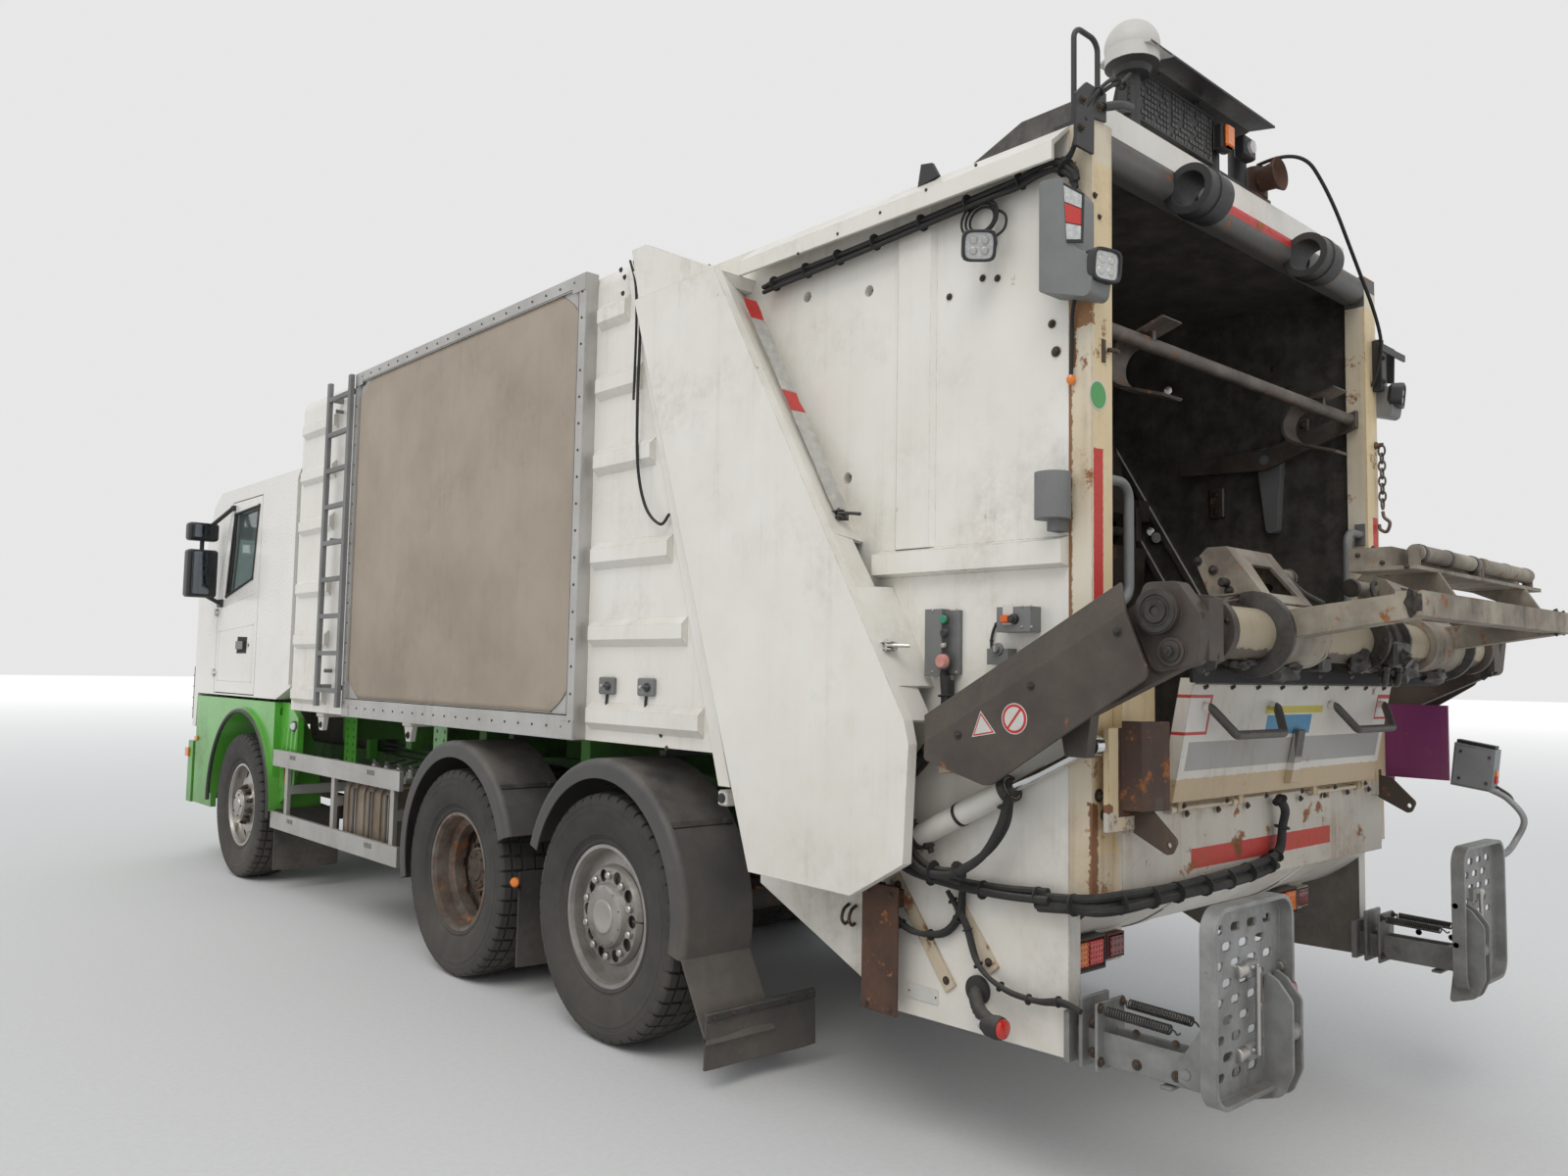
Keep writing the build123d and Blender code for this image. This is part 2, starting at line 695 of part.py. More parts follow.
with BuildPart() as cab_shell:
    side_plate((-cab_half, cab_half), cab_profile)
    front_edges = cab_shell.edges().filter_by(Axis.Z).group_by(Axis.Y)[0]
    fillet(front_edges, 120)
    side_plate((-cab_half + cab_wall, cab_half - cab_wall),
               [(cab_nose + cab_wall, 1370), (cab_nose + cab_wall, 1910), (cab_nose + 120, 2040), (-4130, 2760),
                (-3980, cab_roof - 60), (cab_back + 90, cab_roof - 60), (cab_back + 60, cab_roof - 90),
                (cab_back + 60, 1460), (-2560, 1370)], Mode.SUBTRACT)
    front_plate((cab_nose - 50, -4100), [(-1060, 2060), (1060, 2060), (1000, 2740), (-1000, 2740)], Mode.SUBTRACT)
    for side in (1, -1):
        side_shape(sorted((side * (cab_half - cab_wall - 1), side * (cab_half + 1))), door_profile, gap,
                   Mode.SUBTRACT)
        block(sorted((side * 420, side * 470)), (tilt_y - 30, -4400), (tilt_z - 35, 1060))
        cross_bar(sorted((side * 360, side * 470)), tilt_y, tilt_z, tilt_pin)
        for z in hinge_heights:
            x = side * (cab_half + 12)
            for low in (z - 30, z + 10 + fit):
                bar((x, door_hinge_y, low), (x, door_hinge_y, low + 20 - fit), 11)
                block(sorted((side * cab_half, x)), (door_hinge_y - 30, door_hinge_y), (low, low + 20 - fit))
            bar((x, door_hinge_y, z - 30), (x, door_hinge_y, z + 30), 5)
save(cab_shell, "cab_shell")

with BuildPart() as windscreen:
    slope_low = (cab_nose + 60, 2020)
    slope_high = (-4180, 2800)
    side_plate((-1100, 1100), [(slope_low[0] + 20, slope_low[1]), (slope_low[0] + 20 + glass, slope_low[1]),
                               (slope_high[0] + 20 + glass, slope_high[1]), (slope_high[0] + 20, slope_high[1])])
    front_plate((cab_nose - 50, -4100),
                [(fit - 1060, 2060 + fit), (1060 - fit, 2060 + fit), (1000 - fit, 2740 - fit), (fit - 1000, 2740 - fit)],
                Mode.INTERSECT)
save(windscreen, "windscreen")

with BuildPart() as grille:
    front_plate((cab_nose - 30, cab_nose), [(-900, 1050), (900, 1050), (940, 1860), (-940, 1860)])
    for number in range(4):
        z = 1130 + number * 150
        block((-820, 820), (cab_nose - 31, cab_nose - 12), (z, z + 100), Mode.SUBTRACT)
save(grille, "grille")

# Dashboard, seats, bunk and steering wheel
with BuildPart() as cab_interior:
    side_plate((-1100, 1100), [(cab_nose + 62, 1370), (-4150, 1370), (-4020, 1900), (-4150, 2000),
                               (cab_nose + 130, 2000), (cab_nose + 62, 1880)])
    for x in (560, -560):
        block((x - 200, x + 200), (-3550, -3100), (1370, 1640))
        block((x - 240, x + 240), (-3620, -3050), (1640, 1780))
        side_plate((x - 230, x + 230), [(-3150, 1780), (-3050, 1780), (-2940, 2450), (-3060, 2450)])
    wheel_centre = Vector(560, -3900, 2000)
    lean_dir = Vector(0, 0.5, 1)
    with BuildSketch(Plane(origin=wheel_centre, z_dir=lean_dir)) as ring:
        Circle(230)
        Circle(195, mode=Mode.SUBTRACT)
        Rectangle(400, 60)
    extrude(ring.sketch, amount=25)
    bar((560, -4060, 1760), (560, -3900, 2010), 30)
save(cab_interior, "cab_interior")

# Doors with their glass and mirrors, one set a side
for name, side in (("left", 1), ("right", -1)):
    skin = sorted((side * (cab_half - cab_wall), side * cab_half))
    with BuildPart() as door:
        side_plate(skin, door_profile)
        side_plate(sorted((side * (cab_half - cab_wall - 1), side * (cab_half + 1))), window_profile, Mode.SUBTRACT)
        block(sorted((side * cab_half, side * (cab_half + 22))), (-3420, -3260), (1660, 1720))
        for z in hinge_heights:
            x = side * (cab_half + 12)
            bar((x, door_hinge_y, z - 10), (x, door_hinge_y, z + 10), 11)
            block(sorted((side * cab_half, x)), (door_hinge_y, door_front + 30), (z - 10, z + 10))
            bar((x, door_hinge_y, z - 11), (x, door_hinge_y, z + 11), 5 + fit, Mode.SUBTRACT)
    save(door, f"door_{name}")

    with BuildPart() as door_glass:
        side_shape(sorted((side * (cab_half - 34), side * (cab_half - 34 + glass))), window_profile, -fit)
    save(door_glass, f"door_glass_{name}")

    with BuildPart() as mirror_set:
        shell = sorted((side * (mirror_reach - mirror_width), side * mirror_reach))
        block(shell, (mirror_y - 60, mirror_y + 60), (2060, 2430))
        block(shell, (mirror_y - 60, mirror_y + 50), (2500, 2640))
        fillet(mirror_set.edges(), 25)
        block(sorted((side * cab_half, side * (cab_half + 24))), (-3920, -3840), (1990, 2050))
        block(sorted((side * cab_half, side * (cab_half + 24))), (-3690, -3640), (2730, 2770))
        bar((side * (cab_half + 16), -3880, 2020), (side * (mirror_reach - 110), mirror_y, 2100), 16)
        bar((side * (mirror_reach - 110), mirror_y, 2400), (side * (mirror_reach - 110), mirror_y, 2550), 16)
        bar((side * (cab_half + 16), -3665, 2750), (side * (mirror_reach - 110), mirror_y, 2560), 16)
    save(mirror_set, f"mirror_{name}")

# Tailgate: side walls, roof, trough floor, throat rails and the lower frame
slide_dir = (cos(radians(slide_angle)), -sin(radians(slide_angle)))
trough_y = packer_y + slide_travel * slide_dir[0]
trough_z = packer_z + slide_travel * slide_dir[1]
wall_rear = gate_rear - post_depth
gate_profile = [(joint_y(gate_top) + joint_gap, gate_top), (wall_rear, gate_top), (wall_rear, 456),
                (3160, 445), (2450, 764), (2450, 1100), (joint_y(1240) + joint_gap, 1240)]


def trough_point(radius, angle):
    return (trough_y + radius * cos(radians(angle)), trough_z + radius * sin(radians(angle)))


with BuildPart() as tailgate_shell:
    inner_half = gate_half - gate_wall
    side_plate((inner_half, gate_half), gate_profile)
    with BuildSketch(Plane.XY.offset(rail_high)) as stiffener:
        with BuildLine():
            Polyline((gate_half, 3125), (gate_half + 16, 3141), (gate_half + 16, 3289), (gate_half, 3305), close=True)
        make_face()
    extrude(stiffener.sketch, amount=3180 - rail_high)
    front_plate((3050, wall_rear), [(gate_half, rail_low), (gate_half + rail_depth, rail_low + 8),
                                    (gate_half + rail_depth, rail_high - 12), (gate_half, rail_high)])
    eaves_out = gate_half + flange_out
    front_plate((2353, wall_rear), [(gate_half, gate_top), (gate_half, gate_top - 14), (eaves_out - 12, eaves_z - 10),
                                    (eaves_out - 12, eaves_low), (eaves_out, eaves_low), (eaves_out, eaves_z)])
    for y, z in wall_holes:
        cross_bar((inner_half - 1, gate_half + 1), y, z, 20, Mode.SUBTRACT)
    for reach in (-70, 70):
        low = (trough_y + reach, trough_z + 60)
        top_shift = (2960 - low[1]) / slide_dir[1]
        high = (low[0] + top_shift * slide_dir[0], 2960)
        side_plate((inner_half - 20, inner_half),
                   [(low[0] - 15, low[1]), (low[0] + 15, low[1]), (high[0] + 15, high[1]), (high[0] - 15, high[1])])
    mirror(about=Plane.YZ)
    block((-gate_half, gate_half), (joint_y(gate_top) + joint_gap + 6, wall_rear), (gate_top - 40, gate_top))
    side_plate((-hump_half, hump_half), [(hump_front, gate_top), (wall_rear, gate_top),
                                         (wall_rear, roof_z(wall_rear)), (hump_knee, roof_z(hump_knee))])
    arch((-inner_half, inner_half), trough_y, trough_z, trough_radius, trough_wall, -112, -48)
    side_plate((-inner_half, inner_half),
               [trough_point(trough_radius, -50), (wall_rear, 1130), (wall_rear, 1100),
                trough_point(trough_radius + trough_wall, -50)])
    side_plate((-inner_half, inner_half),
               [trough_point(trough_radius, -110), trough_point(trough_radius + trough_wall, -110),
                (2460, 1165), (joint_y(1200) + joint_gap + 8, 1195)])
    for side in (1, -1):
        ears = sorted((side * 845, side * 890))
        side_plate(ears, [(hinge_y - 40, gate_top - 5), (hinge_y + 160, gate_top - 5), (hinge_y + 40, hinge_z + 30),
                          (hinge_y - 25, hinge_z + 25)])
        cross_bar(sorted((side * 790, side * 901)), hinge_y, hinge_z, pin_radius + fit, Mode.SUBTRACT)
        block(sorted((side * 790, side * 844)), (hinge_y - 100, hinge_y + 60), (gate_top - 60, gate_top + 30),
              Mode.SUBTRACT)
save(tailgate_shell, "tailgate_shell")

# Side covers: outer skins on a folded edge, with a stepped hem from the rear edge in to the wall
cover_profile = [(1812, 3125), (2350, 3130), (3369, 1421), (3388, 1346), (3369, 973), (3138, 843), (2628, 850)]
# Hem steps: start and end down the edge, how far in it reaches, and its drop there at start and end
hem_rows = (
    (0, 1262, gate_half, -80, -30),
    (1261, 1482, gate_half + 60, -22, -14),
    (1481, 1866, gate_half, 12, 0),
    (1865, 1990, gate_half + 70, -10, -10),
)


def hem_section(reach, drop):
    with BuildLine() as outline:
        Polyline((skin_in + 1, 0), (skin_in + 1, -hem_skin), (reach, drop - hem_skin), (reach, drop), close=True)
    make_face(outline.edges())


with BuildPart() as side_covers:
    side_plate((cover_face - cover_skin, cover_face), cover_profile)
    skin_in = cover_face - cover_skin
    side_plate((gate_half, skin_in + 1), [(1812, 3125), (2628, 850), (2668, 850), (1852, 3125)])
    side_plate((gate_half, skin_in + 1), [(1812, 3125), (1826, 3085), (2330, 3085), (2350, 3130)])
    side_plate((gate_half, cover_face - 25),
               [(1820, 3090), (1765, 3300), (1750, 3362), (1856, 3362), (2330, 3135), (2330, 3090)])
    edge_top = Vector(0, 2350, 3130)
    edge_foot = Vector(0, 3369, 1421)
    down = (edge_foot - edge_top).normalized()
    for start, end, reach, first, last in hem_rows:
        for station, drop in ((start, first), (end, last)):
            spot = edge_top + down * station
            with BuildSketch(Plane(origin=spot, x_dir=(1, 0, 0), z_dir=down * -1)):
                hem_section(reach, drop)
        loft()
    mirror(about=Plane.YZ)
save(side_covers, "side_covers")

# Rear frame: the posts, top beam and sill beam round the loading opening, with a board each side of the flap.
# Boards: lowest and highest edge, and the plan of each
board_rows = (
    (1180, 1440, [(978, gate_rear + 47), (962, 4012), (862, 4044), (858, 4032), (950, 4003), (966, gate_rear + 47)]),
    (1190, 1480, [(-966, gate_rear + 47), (-958, 4190), (-966, 4192), (-976, gate_rear + 47)]),
)
with BuildPart() as rear_frame:
    block((gate_half - post_width, gate_half), (wall_rear, gate_rear), (post_bottom, gate_top))
    mirror(about=Plane.YZ)
    rounded_plate((-gate_half + post_width, gate_half - post_width),
                  [(wall_rear, gate_top - 110), (gate_rear, gate_top - 110), (gate_rear, gate_top),
                   (wall_rear, gate_top)], [2, 40, 40, 2])
    for x in buffer_places:
        cross_bar((x - buffer_half - 4, x + buffer_half + 4), buffer_y, buffer_z, buffer_radius + buffer_band + fit,
                  Mode.SUBTRACT)
    block((-gate_half + post_width, gate_half - post_width), (wall_rear, gate_rear + 30), (beam_low, beam_high))
    for side in (1, -1):
        block(sorted((side * (flap_half + 10), side * (gate_half - post_width))), (wall_rear + 20, gate_rear + 30),
              (beam_high, flap_top))
        block(sorted((side * 860, side * 1050)), (gate_rear + 30, gate_rear + 48), (1120, 1420))
        lever = sorted((side * lever_x, side * (lever_x + 14)))
        rounded_plate(lever, [(gate_rear + 20, 1120), (gate_rear + 20, 1200), (4000, 1190), (4092, 1100), (4070, 1052)],
                      [4, 20, 30, 18, 18])
        cross_bar((lever[0] - 1, lever[1] + 1), 4066, 1086, 9, Mode.SUBTRACT)
        for ear in (690, 300):
            block(sorted((side * ear, side * (ear + 30))), (gate_rear + 30, flap_pin_y),
                  (flap_pin_z - 10, flap_pin_z + 8))
            cross_bar(sorted((side * ear, side * (ear + 30))), flap_pin_y, flap_pin_z, 12)
        cross_bar(sorted((side * (ear - 40), side * (720 + 4))), flap_pin_y, flap_pin_z, flap_pin)
    for low, high, points in board_rows:
        with BuildSketch(Plane.XY.offset(low)) as board:
            with BuildLine():
                Polyline(*points, close=True)
            make_face()
        extrude(board.sketch, amount=high - low)
save(rear_frame, "rear_frame")

# Loading flap, leaning outwards, hinged at its lower edge, with two tube handles
with BuildPart() as loading_flap:
    base = gate_rear + 35
    side_plate((-flap_half, flap_half),
               [(base, flap_bottom), (base + flap_thick, flap_bottom), (base + flap_thick + flap_lean, flap_top),
                (base + flap_lean, flap_top)])
    face = base + flap_thick
    side_plate((-flap_half, flap_half), [(face + flap_lean - 10, flap_top - 26), (face + flap_lean + 14, flap_top - 14),
                                         (face + flap_lean + 14, flap_top), (face + flap_lean - 10, flap_top)])
    for side in (1, -1):
        high_y = face + flap_lean * (handle_high - flap_bottom) / (flap_top - flap_bottom)
        tube([(side * handle_out, high_y - 8, handle_high), (side * handle_out, high_y + 22, handle_high - 4),
              (side * (handle_out - 62), high_y + 72, handle_low), (side * (handle_in + 62), high_y + 72, handle_low),
              (side * handle_in, high_y + 22, handle_high - 4), (side * handle_in, high_y - 8, handle_high)],
             16, 14)
    rounded_plate((-26, 26), [(face + 6, 1215), (face + 10, 1245), (face + 46, 1400), (face + 62, 1400),
                              (face + 50, 1330), (face + 30, 1215)], [4, 4, 4, 6, 20, 8])
    for side in (1, -1):
        for ear in (655, 265):
            cross_bar(sorted((side * ear, side * (ear + 30))), flap_pin_y, flap_pin_z, 12)
            block(sorted((side * ear, side * (ear + 30))), (flap_pin_y - 4, flap_pin_y + 12),
                  (flap_pin_z, flap_bottom + 5))
            cross_bar(sorted((side * (ear - 1), side * (ear + 31))), flap_pin_y, flap_pin_z, flap_pin + fit,
                      Mode.SUBTRACT)
save(loading_flap, "loading_flap")

# Packer: the sliding carriage and the blade hinged at its foot
with BuildPart() as packer_carriage:
    back = (packer_y - 250, packer_z + 800)
    side_plate((-packer_half + 60, packer_half - 60),
               [(packer_y - 60, packer_z + 60), (packer_y, packer_z + 90), (back[0] + 60, back[1]), back])
    for side in (1, -1):
        for ear in (880, 500):
            side_plate(sorted((side * (ear - 20), side * (ear + 20))),
                       [(packer_y - 60, packer_z - 40), (packer_y + 50, packer_z - 40),
                        (packer_y + 50, packer_z + 120), (packer_y - 60, packer_z + 120)])
        block(sorted((side * 899, side * (packer_half + 10 - fit))), (packer_y - 45, packer_y + 45),
              (packer_z + 60, packer_z + 160))
        cross_bar(sorted((side * 470, side * 905)), packer_y, packer_z, 22)
save(packer_carriage, "packer_carriage")

with BuildPart() as packer_blade:
    side_plate((-packer_half + 5, packer_half - 5),
               [(packer_y - 20, packer_z - 70), (packer_y + 35, packer_z - 70),
                (packer_y - 10, packer_z - blade_length + 60), (packer_y - 60, packer_z - blade_length),
                (packer_y - 90, packer_z - blade_length)])
    for side in (1, -1):
        for ear in (835, 545):
            side_plate(sorted((side * (ear - 18), side * (ear + 18))),
                       [(packer_y - 40, packer_z - 80), (packer_y + 50, packer_z - 80), (packer_y + 40, packer_z + 35),
                        (packer_y - 35, packer_z + 35)])
            cross_bar(sorted((side * (ear - 19), side * (ear + 19))), packer_y, packer_z, 22 + fit, Mode.SUBTRACT)
save(packer_blade, "packer_blade")

# Lid opener: a cross bar with two claws on arms that swing on the inner walls
claw_y = 3852
claw_z = 2655
claw_x = 640
claw_width = 110
claw_back = 3806
claw_mid = 2594
claw_radius = 74
claw_thick = 13
claw_tip = 3932
claw_rise = 124
with BuildPart() as lid_opener:
    cross_bar((-opener_x - 5, opener_x + 5), claw_y, claw_z, 24)
    for side in (1, -1):
        arm = sorted((side * opener_x, side * (opener_x + opener_thick)))
        side_plate(arm, [(3090, 2500), (3090, 2560), (opener_y, opener_z + 45), (claw_y + 30, claw_z + 35),
                         (claw_y + 30, claw_z - 35), (opener_y, opener_z - 45)])
        cross_bar(sorted((side * (opener_x - 1), side * (opener_x + opener_thick + 1))), opener_y, opener_z,
                  opener_pin + fit, Mode.SUBTRACT)
        claw = sorted((side * (claw_x - claw_width / 2), side * (claw_x + claw_width / 2)))
        arch(claw, claw_back, claw_mid, claw_radius, claw_thick, 107, 253)
        side_plate(sorted((side * (claw_x - 9), side * (claw_x + 9))),
                   [(claw_y - 20, claw_z), (claw_y + 20, claw_z), (claw_y + 20, claw_z + 42), (claw_y - 20, claw_z + 30)])
        for up in (1, -1):
            root_in = (claw_back - 25, claw_mid + up * (claw_radius - 3))
            root_out = (claw_back - 29, claw_mid + up * (claw_radius + claw_thick - 6))
            side_plate(claw, [root_in, root_out, (claw_tip, claw_mid + up * (claw_rise + 8)),
                              (claw_tip + 8, claw_mid + up * claw_rise)])
save(lid_opener, "lid_opener")

# Fittings on the tailgate: opener brackets, lamp housings, grab tubes, switch boxes and cup.
# Switch boxes on the left wall: start and end along Y, lowest and highest edge, depth
box_rows = (
    (3300, 3372, 1560, 1780, 42),
    (3372, 3425, 1568, 1776, 18),
    (3604, 3730, 1700, 1778, 55),
    (3560, 3640, 1600, 1650, 46),
)
grab_x = 812
grab_y = gate_rear - 30
grab_low = 1800
grab_high = 2172
grab_radius = 16
cup_x = gate_half + 58
cup_y = 3812
cup_low = 2035
cup_high = 2175
cup_radius = 54
cup_wall = 5
lamp_profile = [(3790, 3066), (3862, 3056), (3918, 2990), (3918, 2830), (3984, 2776), (3966, 2668), (3790, 2722)]
with BuildPart() as gate_fittings:
    post_in = gate_half - post_width
    for side in (1, -1):
        rounded_plate(sorted((side * (inner_half - 42), side * inner_half)),
                      [(opener_y - 60, opener_z + 60), (opener_y + 60, opener_z + 60), (opener_y + 34, 2210),
                       (opener_y - 14, 2210)], [30, 30, 20, 20])
        cross_bar(sorted((side * opener_x, side * (inner_half - 42))), opener_y, opener_z, opener_pin)
        rounded_plate(sorted((side * gate_half, side * (gate_half + 98))), lamp_profile, [12, 20, 20, 8, 22, 22, 12])
        tube([(side * post_in, grab_y, grab_high), (side * grab_x, grab_y, grab_high),
              (side * grab_x, grab_y, grab_low), (side * post_in, grab_y, grab_low)], 55, grab_radius)
        for z in (grab_low, grab_high):
            block(sorted((side * post_in, side * (post_in - 8))), (grab_y - 20, grab_y + 20), (z - 45, z + 45))
    for start, end, low, high, depth in box_rows:
        block((gate_half, gate_half + depth), (start, end), (low, high))
    bar((cup_x, cup_y, cup_low), (cup_x, cup_y, cup_high), cup_radius)
    bar((cup_x, cup_y, cup_low + cup_wall), (cup_x, cup_y, cup_high + 1), cup_radius - cup_wall, Mode.SUBTRACT)
    block((gate_half, cup_x), (cup_y - 20, cup_y + 20), (cup_low - 35, cup_low + cup_wall))
save(gate_fittings, "gate_fittings")

# Roof gear: lamp board under its hood, beacon, flasher, camera, siren, guard hoop and rubber buffers
board_low = 3440
board_high = 3612
board_y = 3770
hood_z = 3660
hoop_x = 975
hoop_in = 842
hoop_y = 3790
hoop_z = 3630
beacon_x = 650
beacon_y = 3800
beacon_radius = 90
beacon_base = 3600
beacon_top = 3766
# Flasher, camera and siren: place along X and Y, radius, lowest and highest point
gear_rows = (
    (43, 3750, 38, 3440, 3625),
    (-178, 3750, 34, 3440, 3600),
    (-300, 3760, 48, 3440, 3560),
)
with BuildPart() as roof_gear:
    block((120, 690), (board_y, board_y + 34), (board_low, board_high))
    for x in (180, 600):
        side_plate((x, x + 30), [(board_y - 90, roof_z(board_y)), (board_y + 20, roof_z(board_y)),
                                 (board_y + 20, hood_z - 8), (board_y - 30, hood_z - 20)])
    side_plate((-180, 700), [(board_y - 70, hood_z - 26), (board_y - 70, hood_z - 18), (board_y + 30, hood_z + 12),
                             (board_y + 130, hood_z - 8), (board_y + 130, hood_z - 16), (board_y + 30, hood_z + 4)])
    bar((beacon_x, beacon_y, roof_z(beacon_y)), (beacon_x, beacon_y, beacon_base), 26)
    with BuildSketch(Plane(origin=(beacon_x, beacon_y, 0), x_dir=(1, 0, 0), z_dir=(0, -1, 0))) as lamp:
        with BuildLine():
            Polyline((0, beacon_top), (0, beacon_base - 20), (56, beacon_base - 20), (64, beacon_base),
                     (beacon_radius, beacon_base + 10), (beacon_radius, beacon_base + 60))
            ThreePointArc((beacon_radius, beacon_base + 60), (beacon_radius * 0.72, beacon_top - 26), (0, beacon_top))
        make_face()
    revolve(lamp.sketch, axis=Axis((beacon_x, beacon_y, 0), (0, 0, 1)))
    block((-350, 60), (3680, 3800), (roof_z(3800), board_low))
    for x, y, radius, low, high in gear_rows:
        bar((x, y, low), (x, y, high), radius)
    block((hump_half + 1, hoop_x + 50), (hoop_y - 40, hoop_y + 40), (gate_top, gate_top + 34))
    tube([(hoop_x, hoop_y, gate_top + 20), (hoop_x, hoop_y, hoop_z), (hoop_in, hoop_y, hoop_z),
          (hoop_in, hoop_y, roof_z(hoop_y))], 40, 9)
    for x in buffer_places:
        cross_bar((x - buffer_half, x + buffer_half), buffer_y, buffer_z, buffer_radius)
        cross_bar((x - 15, x + 15), buffer_y, buffer_z, buffer_radius + buffer_band)
        cross_bar((x - buffer_half - 1, x + buffer_half + 1), buffer_y, buffer_z, buffer_bore, Mode.SUBTRACT)
save(roof_gear, "roof_gear")

# Rear lamps and reflectors on bracket plates below the sill beam.
# Places along X, near and far end: plate, hanger, lamp and reflector
lamp_rows = (
    ((570, 920), (640, 740), (735, 905), (602, 700)),
    ((-760, -435), (-740, -640), (-620, -450), (-748, -650)),
)
plate_y = (3690, 3700)
with BuildPart() as rear_lamps:
    for plate, hanger, lamp, reflector in lamp_rows:
        block(plate, plate_y, (650, 800))
        foot = [(y, trough_z - fit - ((trough_radius + trough_wall) ** 2 - (y - trough_y) ** 2) ** 0.5)
                for y in plate_y]
        side_plate(hanger, [(plate_y[0], 790), (plate_y[1], 790), foot[1], foot[0]])
        block(lamp, (plate_y[1], plate_y[1] + 38), (660, 752))
        block(reflector, (plate_y[1], plate_y[1] + 30), (668, 746))
save(rear_lamps, "rear_lamps")

# Lifter arms: pivoted side arms with cheeks at the torque tube, and guard plates folded in along the top
fold_start = (3442, 1357)
fold_end = (4142, 1746)
guard_profile = [fold_start, fold_end, (4214, 1572), (3686, 1239), (3439, 1303)]
arm_profile = [(arm_pivot_y - 60, arm_pivot_z - 40), (arm_pivot_y - 50, arm_pivot_z + 60), (tube_y - 60, tube_z + 95),
               (tube_y + 95, tube_z + 40), (tube_y + 60, tube_z - 90), (arm_pivot_y + 60, arm_pivot_z - 70)]
cheek_profile = [(tube_y - 115, tube_z + 20), (tube_y - 75, tube_z + 125), (tube_y + 20, tube_z + 125),
                 (tube_y + 90, tube_z + 30), (tube_y + 75, tube_z - 95), (tube_y - 50, tube_z - 120)]
hub_boss = 62
stop_boss = 38
ring_place = 1010
ring_width = 30
ring_radius = 98
with BuildPart() as lift_arms:
    side_plate((arm_x, arm_x + arm_thick), arm_profile)
    rounded_plate((arm_x - 4, arm_x + arm_thick + 10), cheek_profile, [30, 26, 26, 30, 26, 34])
    cross_bar((arm_x, guard_x - 25), hub_y, hub_z, hub_boss)
    cross_bar((arm_x, guard_x - 40), tube_y + 5, tube_z - 62, stop_boss)
    block((arm_x - 75, arm_x + 1), (tube_y + 62, tube_y + 84), (tube_z - 85, tube_z + 80))
    rounded_plate((guard_x, guard_x + guard_thick), guard_profile, [2, 2, 36, 60, 14])
    fold = Vector(0, fold_end[0] - fold_start[0], fold_end[1] - fold_start[1])
    fold_plane = Plane(origin=(guard_x + guard_thick, fold_start[0], fold_start[1]), x_dir=(1, 0, 0), z_dir=fold)
    with BuildSketch(fold_plane) as flange:
        with BuildLine():
            Polyline((0, 2), (0, 0), (-guard_lean, -guard_flange), (-guard_lean - guard_thick, -guard_flange),
                     (-guard_thick, 0), (-guard_thick, 2), close=True)
        make_face()
    extrude(flange.sketch, amount=fold.length)
    block((arm_x + arm_thick, guard_x), (3950, 4010), (1530, 1600))
    side_plate((arm_x, arm_x + arm_thick), [(eye_y - 35, eye_z - 30), (eye_y + 35, eye_z - 30), (eye_y + 60, 1520),
                                            (eye_y - 60, 1470)])
    cross_bar((arm_x - 1, arm_x + arm_thick + 1), arm_pivot_y, arm_pivot_z, 30 + fit, Mode.SUBTRACT)
    cross_bar((ring_place, ring_place + ring_width), tube_y, tube_z, ring_radius)
    mirror(about=Plane.YZ)
    cross_bar((-arm_x, arm_x), tube_y, tube_z, tube_radius)
save(lift_arms, "lift_arms")

with BuildPart() as lift_brackets:
    side_plate((gate_half, arm_x - 6),
               [(arm_pivot_y - 100, arm_pivot_z - 70), (arm_pivot_y - 100, arm_pivot_z + 90),
                (arm_pivot_y + 90, arm_pivot_z + 90), (arm_pivot_y + 90, arm_pivot_z - 30)])
    cross_bar((gate_half, cylinder_x + 28), barrel_y, barrel_z, 15)
    cross_bar((gate_half, gate_half + 6), barrel_y, barrel_z, 45)
    cross_bar((arm_x - 6, arm_x + arm_thick + 4), arm_pivot_y, arm_pivot_z, 30)
    mirror(about=Plane.YZ)
save(lift_brackets, "lift_brackets")

